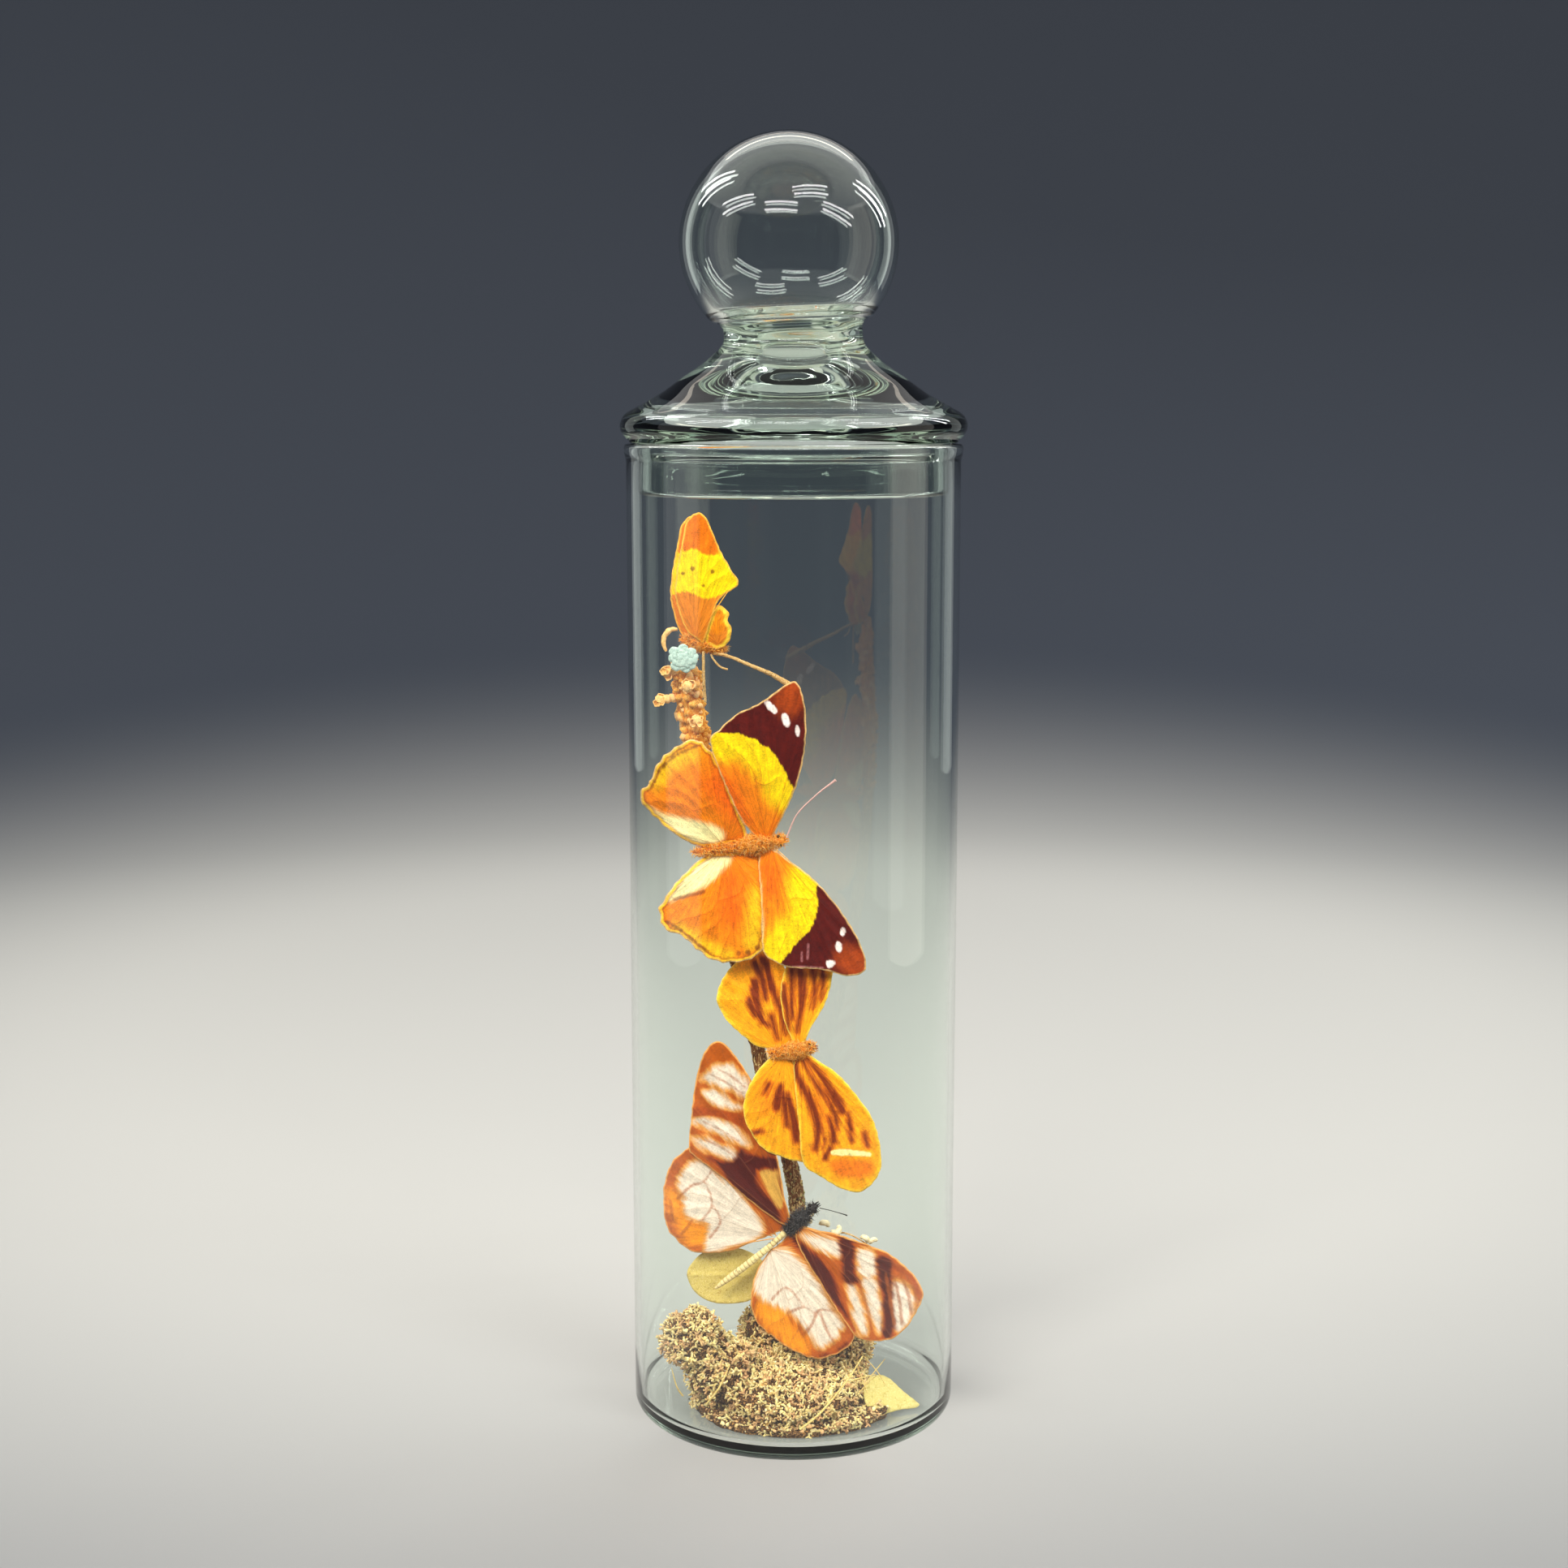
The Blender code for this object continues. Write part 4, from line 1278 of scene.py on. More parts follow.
class GeometryTool(Graph):
    """A Geometry Nodes tree, run on a host mesh and baked to a plain piece."""

    def __init__(self, name: str, inputs: tuple) -> None:
        """Starts the tree.

        Args:
            name: The tree's name.
            inputs: Its inputs, as (name, type, default).
        """
        super().__init__(bpy.data.node_groups.new(name, "GeometryNodeTree"))
        self.tree.is_modifier = True
        self.declare("Geometry", "Geometry")
        for key, kind, default in inputs:
            self.declare(key, kind, default)
        self.declare("Material", "Material")
        self.declare("Geometry", "Geometry", output=True)
        self.given = self.add("NodeGroupInput").outputs

    def close(self, geometry: object) -> None:
        """Ends the tree: shades the mesh smooth, realizes it and sets its material."""
        smooth = self.add("GeometryNodeSetShadeSmooth", {"Geometry": geometry, "Shade Smooth": True})
        real = self.add("GeometryNodeRealizeInstances", {"Geometry": smooth})
        dressed = self.add(
            "GeometryNodeSetMaterial", {"Geometry": real, "Material": self.given["Material"]}
        )
        self.add("NodeGroupOutput", {"Geometry": dressed})

    def run(self, name: str, host: bpy.types.Mesh, **values: object) -> bpy.types.Object:
        """Runs the tree on a mesh.

        Args:
            name: The piece's name.
            host: The mesh that goes in.
            **values: The tree's inputs, with underscores for the spaces in their names.

        Returns:
            The baked piece, in the scene.
        """
        carrier = link(bpy.data.objects.new(name + "_host", host))
        modifier = carrier.modifiers.new("build", "NODES")
        modifier.node_group = self.tree
        identifiers = {
            item.name: item.identifier
            for item in self.tree.interface.items_tree
            if item.item_type == "SOCKET" and item.in_out == "INPUT"
        }
        for key, value in values.items():
            modifier[identifiers[key.replace("_", " ")]] = value
        carrier.update_tag()
        bpy.context.view_layer.update()
        graph = bpy.context.evaluated_depsgraph_get()
        mesh = bpy.data.meshes.new_from_object(
            carrier.evaluated_get(graph), preserve_all_data_layers=True, depsgraph=graph
        )
        bpy.data.objects.remove(carrier)
        mesh.name = name
        return link(bpy.data.objects.new(name, mesh))


class TurnTool(GeometryTool):
    """Turns a profile, kept as a line of points at +X, into a round piece."""

    def __init__(self) -> None:
        """Builds the tree."""
        super().__init__("turned_glass", (("Steps", "Int", 96),))
        given = self.given
        profile = given["Geometry"]
        count = self.add("GeometryNodeAttributeDomainSize", {"Geometry": profile}).outputs["Point Count"]
        columns = self.math("ADD", given["Steps"], 1.0)
        grid = self.add("GeometryNodeMeshGrid", {"Vertices X": count, "Vertices Y": columns})
        index = self.add("GeometryNodeInputIndex")
        row = self.math("FLOOR", self.math("DIVIDE", index, columns))
        column = self.math("MODULO", index, columns)
        sample = self.add("GeometryNodeSampleIndex", data_type="FLOAT_VECTOR", domain="POINT")
        self.feed(sample, "Geometry", profile)
        self.feed(sample, "Value", self.add("GeometryNodeInputPosition"))
        self.feed(sample, "Index", row)
        spot = self.add("ShaderNodeSeparateXYZ", {0: sample})
        angle = self.math("MULTIPLY", self.math("DIVIDE", column, given["Steps"]), 2 * math.pi)
        x = self.math("MULTIPLY", spot.outputs["X"], self.math("COSINE", angle))
        y = self.math("MULTIPLY", spot.outputs["X"], self.math("SINE", angle))
        place = self.add("ShaderNodeCombineXYZ", {"X": x, "Y": y, "Z": spot.outputs["Z"]})
        bent = self.add("GeometryNodeSetPosition", {"Geometry": grid, "Position": place})
        whole = self.add("GeometryNodeMergeByDistance", {"Geometry": bent, "Distance": 0.001 * MM})
        self.close(whole)

    def turn(
        self, name: str, profile: np.ndarray, steps: int, material: bpy.types.Material
    ) -> bpy.types.Object:
        """Turns one profile.

        Args:
            name: The piece's name.
            profile: Its (radius, height) points in mm.
            steps: How many steps go round.
            material: Its finish.

        Returns:
            The piece, with its faces pointing outwards.
        """
        line = bpy.data.meshes.new(name + "_profile")
        line.from_pydata([(r * MM, 0.0, z * MM) for r, z in profile], [], [])
        piece = self.run(name, line, Steps=steps, Material=material)
        face_outwards(piece)
        return piece


class ThreadTool(GeometryTool):
    """Draws tapering round threads along lines whose points keep their own girth."""

    def __init__(self) -> None:
        """Builds the tree."""
        super().__init__("threads", (("Sides", "Int", 6),))
        line = self.add("GeometryNodeMeshToCurve", {"Mesh": self.given["Geometry"]})
        ring = self.add(
            "GeometryNodeCurvePrimitiveCircle", {"Resolution": self.given["Sides"], "Radius": 1.0}
        )
        girth = self.add("GeometryNodeInputNamedAttribute", {"Name": "girth"}, data_type="FLOAT")
        drawn = self.add(
            "GeometryNodeCurveToMesh",
            {"Curve": line, "Profile Curve": ring, "Scale": girth, "Fill Caps": True},
        )
        self.close(drawn)

    def draw(
        self, name: str, routes: list[np.ndarray], sides: int, material: bpy.types.Material
    ) -> bpy.types.Object:
        """Draws every route as one piece.

        Args:
            name: The piece's name.
            routes: Rows of (x, y, z, radius) in mm.
            sides: How many sides a thread has.
            material: Its finish.

        Returns:
            The piece.
        """
        points, edges, girth = [], [], []
        for route in routes:
            start = len(points)
            points.extend((route[:, :3] * MM).tolist())
            girth.extend((route[:, 3] * MM).tolist())
            edges.extend((start + i, start + i + 1) for i in range(len(route) - 1))
        lines = bpy.data.meshes.new(name + "_lines")
        lines.from_pydata(points, edges, [])
        lines.attributes.new("girth", "FLOAT", "POINT").data.foreach_set("value", girth)
        piece = self.run(name, lines, Sides=sides, Material=material)
        face_outwards(piece)
        return piece


class ScatterTool(GeometryTool):
    """Scatters small pieces over a surface, thicker where its weight is higher."""

    def __init__(self) -> None:
        """Builds the tree."""
        inputs = (
            ("Pieces", "Collection", None),
            ("Density", "Float", 1000.0),
            ("Seed", "Int", 1),
            ("Smallest", "Float", 0.7),
            ("Largest", "Float", 1.3),
            ("Lean", "Float", 0.5),
        )
        super().__init__("scattered", inputs)
        given = self.given
        weight = self.add("GeometryNodeInputNamedAttribute", {"Name": "weight"}, data_type="FLOAT")
        density = self.math("MULTIPLY", weight, given["Density"])
        spread = self.add(
            "GeometryNodeDistributePointsOnFaces",
            {"Mesh": given["Geometry"], "Density": density, "Seed": given["Seed"]},
        )
        pieces = self.add(
            "GeometryNodeCollectionInfo",
            {"Collection": given["Pieces"], "Separate Children": True, "Reset Children": True},
        )
        less = self.math("MULTIPLY", given["Lean"], -1.0)
        low = self.add("ShaderNodeCombineXYZ", {"X": less, "Y": less, "Z": 0.0})
        high = self.add("ShaderNodeCombineXYZ", {"X": given["Lean"], "Y": given["Lean"], "Z": 2 * math.pi})
        lean = self.add("FunctionNodeRandomValue", data_type="FLOAT_VECTOR")
        self.feed(lean, "Min", low)
        self.feed(lean, "Max", high)
        self.feed(lean, "Seed", given["Seed"])
        spin = self.add("FunctionNodeEulerToRotation", {"Euler": lean})
        turned = self.add(
            "FunctionNodeRotateRotation",
            {"Rotation": spread.outputs["Rotation"], "Rotate By": spin},
            rotation_space="LOCAL",
        )
        later = self.math("ADD", given["Seed"], 7.0)
        size = self.add(
            "FunctionNodeRandomValue",
            {"Min": given["Smallest"], "Max": given["Largest"], "Seed": later},
        )
        placed = self.add(
            "GeometryNodeInstanceOnPoints",
            {
                "Points": spread.outputs["Points"],
                "Instance": pieces,
                "Pick Instance": True,
                "Rotation": turned,
                "Scale": size,
            },
        )
        latest = self.math("ADD", given["Seed"], 13.0)
        tone = self.add("FunctionNodeRandomValue", {"Min": 0.0, "Max": 1.0, "Seed": latest})
        kept = self.add(
            "GeometryNodeStoreNamedAttribute",
            {"Geometry": placed, "Name": "tone", "Value": tone},
            data_type="FLOAT",
            domain="INSTANCE",
        )
        self.close(kept)

    def scatter(
        self,
        name: str,
        surface: bpy.types.Mesh,
        pieces: list[bpy.types.Mesh],
        count: int,
        material: bpy.types.Material,
        **values: float,
    ) -> bpy.types.Object:
        """Scatters pieces over a surface.

        Args:
            name: The new piece's name.
            surface: The surface, whose points keep a weight.
            pieces: The small pieces, standing on the origin along +Z.
            count: About how many there are where the weight is 1 all over.
            material: Their finish.
            **values: The tree's other inputs.

        Returns:
            The piece.
        """
        area = sum(face.area for face in surface.polygons)
        kinds = bpy.data.collections.new(name + "_kinds")
        for number, mesh in enumerate(pieces):
            kinds.objects.link(bpy.data.objects.new(f"{name}_kind_{number:02d}", mesh))
        baked = self.run(
            name, surface, Pieces=kinds, Density=count / max(area, 1e-9), Material=material, **values
        )
        for obj in list(kinds.objects):
            bpy.data.objects.remove(obj)
        bpy.data.collections.remove(kinds)
        return baked


def face_outwards(piece: bpy.types.Object) -> None:
    """Turns every face of a closed piece outwards."""
    form = bmesh.new()
    form.from_mesh(piece.data)
    bmesh.ops.recalc_face_normals(form, faces=form.faces)
    form.to_mesh(piece.data)
    form.free()


class Tools:
    """The Geometry Nodes trees, each built once."""

    def __init__(self) -> None:
        """Builds every tree."""
        self.turner = TurnTool()
        self.threader = ThreadTool()
        self.scatterer = ScatterTool()


def settle(piece: bpy.types.Object, slot: Slot, *nodes: str) -> bpy.types.Object:
    """Attaches a finished piece to its body and hides the CAD nodes that it replaces.

    Args:
        piece: The piece.
        slot: The record's material slot. Not used.
        *nodes: The CAD nodes that it replaces.

    Returns:
        The same piece.
    """
    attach(piece, BODY)
    if nodes:
        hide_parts(*nodes)
    LOG.info("%s: %d faces", piece.name, len(piece.data.polygons))
    return piece


def arc(centre: Point2, radii: Point2, start: float, end: float, steps: int) -> list[Point2]:
    """Gives points of an arc in the (radius, height) plane.

    Args:
        centre: The arc's middle.
        radii: Its radius across and its radius up.
        start: Its first angle in degrees.
        end: Its last angle in degrees.
        steps: How many steps it has.

    Returns:
        The points.
    """
    angles = np.radians(np.linspace(start, end, steps + 1))
    return [(centre[0] + radii[0] * math.cos(a), centre[1] + radii[1] * math.sin(a)) for a in angles]


# The glass.


@dataclass
class Glassware:
    """The straight jar and its hollow ball-topped lid."""

    radius: float = 50.0
    wall: float = 2.0
    height: float = 300.4
    floor: float = 4.0
    heel: float = 4.5
    bead: float = 0.6
    seat: float = 300.7
    ball_radius: float = 32.5
    ball_wall: float = 3.1
    ball_z: float = 358.8
    ball_cut: float = 336.8
    ball_lean: float = 2.5  # degrees, to the left
    bore: float = 11.0
    neck: float = 20.6
    plug_radius: float = 46.6
    plug_wall: float = 3.2
    plug_z: float = 285.5
    steps: int = 160

    def jar_profile(self) -> np.ndarray:
        """Runs up the jar's inside, over its rim and down its outside."""
        inner = self.radius - self.wall
        lip = (inner + self.radius + self.bead) / 2
        round_off = (self.radius + self.bead - inner) / 2
        inner_heel = arc((inner - 4.0, self.floor + 4.0), (4.0, 4.0), -90, 0, 10)
        inside = [(0.0, self.floor), (20.0, self.floor), (38.0, self.floor)] + inner_heel
        inside += [(inner, z) for z in np.linspace(20, self.height - round_off - 4, 24)]
        rim = arc((lip, self.height - round_off), (round_off, round_off), 180, 0, 12)
        fade = [
            (self.radius + self.bead * out, self.height - drop) for out, drop in ((0.9, 3.0), (0.35, 4.2))
        ]
        outside = [(self.radius, z) for z in np.linspace(self.height - 5.2, 8, 24)]
        heel = arc((self.radius - self.heel, self.heel), (self.heel, self.heel), 0, -90, 12)
        foot = [(r, 0.0) for r in (42.0, 34.0, 22.0, 10.0, 0.0)]
        return np.array(inside + rim + fade + outside + heel + foot)

    def lid_profile(self) -> np.ndarray:
        """Runs down the lid's outside and back up its inside."""
        cut = math.degrees(math.asin((self.ball_cut - self.ball_z) / self.ball_radius))
        outer = arc((0.0, self.ball_z), (self.ball_radius, self.ball_radius), 90, cut + 1.5, 40)
        edge_radius = outer[-1][0]
        cut_corner = [(edge_radius - 0.5, self.ball_cut - 0.05), (edge_radius - 1.4, self.ball_cut - 0.3)]
        groove = [(self.neck + 0.9, self.ball_cut - 0.9), (self.neck + 0.1, self.ball_cut - 2.2)]
        shoulder = catmull(
            np.array(
                ((20.6, 333.0), (20.9, 330.0), (22.9, 327.4), (26.8, 324.1), (33.5, 319.5), (39.4, 315.3),
                 (47.0, 311.0))
            ),
            1.2,
            False,
        ).tolist()
        flange = catmull(
            np.array(
                ((47.0, 311.0), (50.4, 308.9), (51.8, 306.2), (51.5, 303.8), (50.1, 302.0), (48.9, self.seat))
            ),
            0.6,
            False,
        ).tolist()[1:]
        inner = self.plug_radius - self.plug_wall
        plug = [(self.plug_radius + 0.8, self.seat), (self.plug_radius + 0.2, self.seat - 0.7)]
        plug += [(self.plug_radius, z) for z in np.linspace(self.seat - 1.8, self.plug_z + 2.2, 8)]
        plug += arc((self.plug_radius - self.plug_wall / 2, self.plug_z + 1.6), (1.6, 1.6), 0, -180, 12)
        plug += [(inner, z) for z in np.linspace(self.plug_z + 2.4, 299.0, 6)]
        dome = catmull(
            np.array(
                ((inner, 300.0), (42.2, 303.6), (38.0, 307.2), (28.0, 311.5), (17.0, 315.2), (11.4, 319.0),
                 (self.bore, 324.0))
            ),
            1.2,
            False,
        ).tolist()
        hollow = self.ball_radius - self.ball_wall
        bore = [(self.bore, z) for z in np.linspace(325.0, 329.0, 4)]
        funnel = (
            (self.bore, 330.5), (11.6, 333.2), (13.4, 335.0), (16.6, 336.6), (20.4, 338.5), (23.17, 340.7),
        )
        base = catmull(np.array(funnel), 0.8, False).tolist()[:-1]
        top = arc((0.0, self.ball_z), (hollow, hollow), -38.0, 90, 60)
        outside = outer + cut_corner + groove + shoulder[1:] + flange + plug
        profile = np.array(outside + dome + bore + base + top)
        profile[[0, -1], 0] = 0.0
        return profile

    def waver(self, piece: bpy.types.Object) -> None:
        """Gives blown glass its slight unevenness."""
        for vert in piece.data.vertices:
            flat = Vector((vert.co.x, vert.co.y, 0.0))
            if flat.length > 8 * MM:
                spot = vert.co * 14.0 + Vector((0.0, 0.0, vert.co.z * -6.0))
                vert.co += flat.normalized() * noise.noise(spot) * 0.16 * MM

    def lean_ball(self, piece: bpy.types.Object) -> None:
        """Leans the ball a little over the neck, as it was blown."""
        low, high = 326.0 * MM, 338.0 * MM
        lean = math.radians(self.ball_lean)
        for vert in piece.data.vertices:
            part = min(max((vert.co.z - low) / (high - low), 0.0), 1.0)
            angle = lean * part * part * (3 - 2 * part)
            rise = vert.co.z - low
            x = vert.co.x
            vert.co.x = x * math.cos(angle) - rise * math.sin(angle)
            vert.co.z = low + x * math.sin(angle) + rise * math.cos(angle)

    def build(self, tools: Tools, materials: Materials) -> None:
        """Builds the jar and the lid."""
        jar = tools.turner.turn("jar_glass", self.jar_profile(), self.steps, materials["glass"])
        self.waver(jar)
        lid = tools.turner.turn("lid_glass", self.lid_profile(), self.steps, materials["glass"])
        self.lean_ball(lid)
        for piece, node in ((jar, "jar"), (lid, "lid")):
            piece.visible_shadow = False
            piece.visible_diffuse = False
            settle(piece, Slot.GLASS, node)


# The stick and what grows on it.


def crumb_meshes(name: str, radius: float, seed: int, kinds: int = 5) -> list[bpy.types.Mesh]:
    """Makes a few small rough lumps for scattering.

    Args:
        name: The meshes' name.
        radius: Their radius in mm.
        seed: What sets their shapes.
        kinds: How many there are.

    Returns:
        The meshes.
    """
    made = []
    for kind in range(kinds):
        form = Form()
        shift = Vector((seed * 3.1 + kind * 7.7, 0.0, 0.0))

        def rough(spot: Vector) -> float:
            """Pushes the lump's surface in and out."""
            return radius * 0.55 * noise.noise(spot * (1.1 / radius) + shift)

        radii = (radius, radius * 0.85, radius * 0.7)
        form.join(*ball((0.0, 0.0, radius * 0.25), radii, 1, rough), shade=0.75)
        made.append(form.mesh(f"{name}_{kind}"))
    return made


@dataclass
class Stick:
    """The leaning branch, its twigs, its lichens and the curl of bark at its top."""

    route: Route = (
        (3.8, 3.0, 22.0, 2.6), (2.2, 4.0, 47.5, 2.5), (0.4, 6.0, 69.0, 2.4), (-5.0, 8.0, 88.8, 2.3),
        (-10.3, 9.0, 108.3, 2.3), (-17.7, 10.5, 140.7, 2.4), (-23.6, 11.0, 169.2, 2.6),
        (-28.0, 10.0, 193.6, 3.4), (-30.3, 7.5, 211.6, 4.2), (-31.7, 5.5, 221.9, 4.4),
        (-33.3, 4.5, 232.1, 4.0), (-33.6, 4.2, 238.5, 2.6),
    )
    side_twig: Route = (
        (-24.6, 3.0, 237.4, 0.5), (-19.2, 1.6, 236.2, 0.5), (-13.0, 0.5, 233.7, 0.55),
        (-6.8, 0.0, 231.1, 0.7), (-1.7, 0.5, 228.1, 0.9), (1.8, 2.0, 226.0, 0.8),
    )
    fork_twig: Route = (
        (-25.0, -0.6, 237.2, 0.25), (-24.0, -0.8, 235.4, 0.3), (-22.1, -0.8, 233.4, 0.3),
        (-19.9, -0.8, 232.6, 0.3),
    )
    thin_stem: Route = (
        (-27.2, -1.6, 238.2, 0.45), (-27.2, -1.8, 231.3, 0.45), (-26.8, -1.4, 222.8, 0.45),
    )
    bark_curl: Route = (
        (-38.7, 0.5, 238.0, 0.5), (-39.4, 0.6, 241.6, 0.8), (-37.8, 1.0, 244.2, 0.9),
        (-35.2, 1.2, 244.6, 0.5),
    )
    cups: Route = (
        (-38.7, 0.4, 231.4, 2.4), (-40.8, 1.4, 223.0, 2.3), (-32.0, -1.4, 227.6, 2.5),
        (-29.4, 0.4, 216.8, 2.2),
    )
    rosette_at: tuple = (-33.1, -3.4, 236.3)
    rosette_radii: tuple = (4.7, 1.5, 4.5)
    sides: int = 36

    @staticmethod
    def bark_push(spot: object) -> float:
        """Gives the bark's ridges, plates and knots at a place, in mm."""
        x, y, z = spot
        ridge = noise.noise(Vector((x * 0.9, y * 0.9, z * 0.22)))
        plate = noise.noise(Vector((x * 0.5, y * 0.5, z * 0.5 + 40.0)))
        grain = noise.noise(Vector((x * 2.6, y * 2.6, z * 1.4)))
        swell = noise.noise(Vector((3.0, 8.0, z * 0.11)))
        lumpy = min(max((z - 185.0) / 20.0, 0.0), 1.0)
        return 0.42 * ridge + 0.3 * plate + 0.16 * grain + 0.35 * swell + lumpy * 0.9 * plate

    def build_branch(self, tools: Tools, materials: Materials) -> None:
        """Builds the branch and scatters its lichen crumbs over it."""
        route = catmull(np.array(self.route), 0.55, False)
        top = route[:, 2] > 205.0
        route[top, 3] *= 0.86
        form = Form()
        points, faces = tube(route[:, :3], route[:, 3], self.sides, self.bark_push)
        heights = np.array([p[2] for p in points])
        golden = np.clip((heights - 176.0) / 26.0, 0, 1)
        cream = (1 - golden) * (heights < 75) + (1 - golden) * 0.3
        form.join(points, faces, weight=golden)
        bark = form.piece("branch_bark", materials["bark"])
        settle(bark, Slot.BARK, "branch")
        for name, count, weight, radius, material, slot in (
            ("golden_crust", 700, golden, 1.4, materials["golden_crust"], Slot.ORANGE_LICHEN),
            ("cream_crust", 2300, cream, 0.4, materials["cream_crust"], Slot.BARK),
        ):
            surface = bark.data.copy()
            surface.attributes["weight"].data.foreach_set("value", np.ascontiguousarray(weight, float))
            crust = tools.scatterer.scatter(
                name, surface, crumb_meshes(name, radius, count), count, material,
                Seed=count, Smallest=0.45, Largest=1.25, Lean=0.5,
            )
            settle(crust, slot)

    def build_twigs(self, materials: Materials) -> None:
        """Builds the side twigs and the thin stem."""
        for name, route in (
            ("side_twig", self.side_twig), ("fork_twig", self.fork_twig), ("thin_stem", self.thin_stem),
        ):
            path = catmull(np.array(route), 0.35, False)

            def knotty(spot: object) -> float:
                """Gives a thin twig's small knots."""
                return 0.1 * noise.noise(Vector(spot) * 1.1) + 0.06 * noise.noise(Vector(spot) * 3.1)

            form = Form()
            form.join(*tube(path[:, :3], path[:, 3], 14, knotty))
            settle(form.piece(name + "_wood", materials["twig_bark"]), Slot.BARK, name)

    def build_curl(self, materials: Materials) -> None:
        """Builds the strip of bark that curls over at the top."""
        path = catmull(np.array(self.bark_curl), 0.3, False)
        form = Form()

        def frayed(spot: object) -> float:
            """Gives the strip's frayed surface."""
            return 0.3 * noise.noise(Vector(spot) * 0.9) + 0.12 * noise.noise(Vector(spot) * 2.7)

        form.join(*tube(path[:, :3], path[:, 3] * 0.92, 16, frayed))
        settle(form.piece("bark_curl_strip", materials["orange_lichen_skin"]), Slot.BARK, "bark_curl")

    def build_cups(self, materials: Materials) -> None:
        """Builds each lichen cup as a clump of small ruffled bowls."""
        for number, (x, y, z, radius) in enumerate(self.cups, start=1):
            draw = random.Random(100 + number)
            form = Form()
            for _ in range(5):
                centre = np.array([x, y, z]) + np.array([draw.uniform(-0.5, 0.5) * radius for _ in range(3)])
                centre[1] -= 0.15 * radius
                size = radius * draw.uniform(0.42, 0.66)
                form.join(*self.cup(centre, size, draw))
            route = np.array(self.route)
            bough = np.array([np.interp(z + 1.0, route[:, 2], route[:, axis]) for axis in range(3)])
            for part in (0.0, 0.22, 0.44, 0.66):
                middle = (1 - part) * np.array((x, y + 0.2, z)) + part * bough
                form.join(*ball(middle, (radius * 0.62, radius * 0.5, radius * 0.62), 3,
                                lambda spot: 0.45 * noise.noise(spot * 1.1)))
            piece = form.piece(f"orange_lichen_{number}_cups", materials["orange_lichen_skin"])
            settle(piece, Slot.ORANGE_LICHEN, f"orange_lichen_{number}")

    @staticmethod
    def cup(centre: np.ndarray, size: float, draw: random.Random) -> tuple[list, list]:
        """Shapes one thick-walled bowl with a ruffled rim, facing outwards and up."""
        way = Vector((draw.uniform(-0.9, 0.4), -1.0, draw.uniform(-0.2, 0.9))).normalized()
        turn = Vector((0.0, 0.0, 1.0)).rotation_difference(way).to_matrix()
        outer = arc((0.0, 0.0), (size, size * 0.8), -90, 0, 5)
        profile = outer + arc((0.0, 0.0), (size * 0.78, size * 0.6), 0, -90, 5)
        sides = 16
        points, faces = [], []
        waves = draw.randint(3, 5)
        for reach, height in profile:
            for k in range(sides):
                angle = 2 * math.pi * k / sides
                ruffle = 1 + 0.13 * math.sin(waves * angle) * (height / size + 1)
                local = Vector((reach * ruffle * math.cos(angle), reach * ruffle * math.sin(angle), height))
                points.append(tuple(Vector(centre) + turn @ local))
        for i in range(len(profile) - 1):
            for k in range(sides):
                n = (k + 1) % sides
                faces.append((i * sides + k, i * sides + n, (i + 1) * sides + n, (i + 1) * sides + k))
        return points, faces

    def build_rosette(self, materials: Materials) -> None:
        """Builds the blue-green lichen as overlapping rounded lobes."""
        draw = random.Random(7)
        form = Form()
        rx, ry, rz = self.rosette_radii
        for number in range(24):
            angle = number * 2.4
            reach = math.sqrt((number + 0.5) / 24)
            centre = (
                self.rosette_at[0] + rx * 0.72 * reach * math.cos(angle),
                self.rosette_at[1] - ry * 0.55 * (1 - reach * reach) + 0.4,
                self.rosette_at[2] + rz * 0.72 * reach * math.sin(angle),
            )
            size = draw.uniform(1.3, 1.9)
            shift = Vector((number * 5.0, 0.0, 0.0))
            form.join(*ball(centre, (size, 0.6, size * 0.9), 3,
                            lambda spot, shift=shift: 0.28 * noise.noise(spot * 0.8 + shift)))
        rosette = form.piece("blue_lichen_rosette", materials["blue_lichen_skin"])
        settle(rosette, Slot.BLUE_LICHEN, "blue_lichen")

    def build(self, tools: Tools, materials: Materials) -> None:
        """Builds the whole stick."""
        self.build_branch(tools, materials)
        self.build_twigs(materials)
        self.build_curl(materials)
        self.build_cups(materials)
        self.build_rosette(materials)


# The dry ground: moss, leaves and seeds.


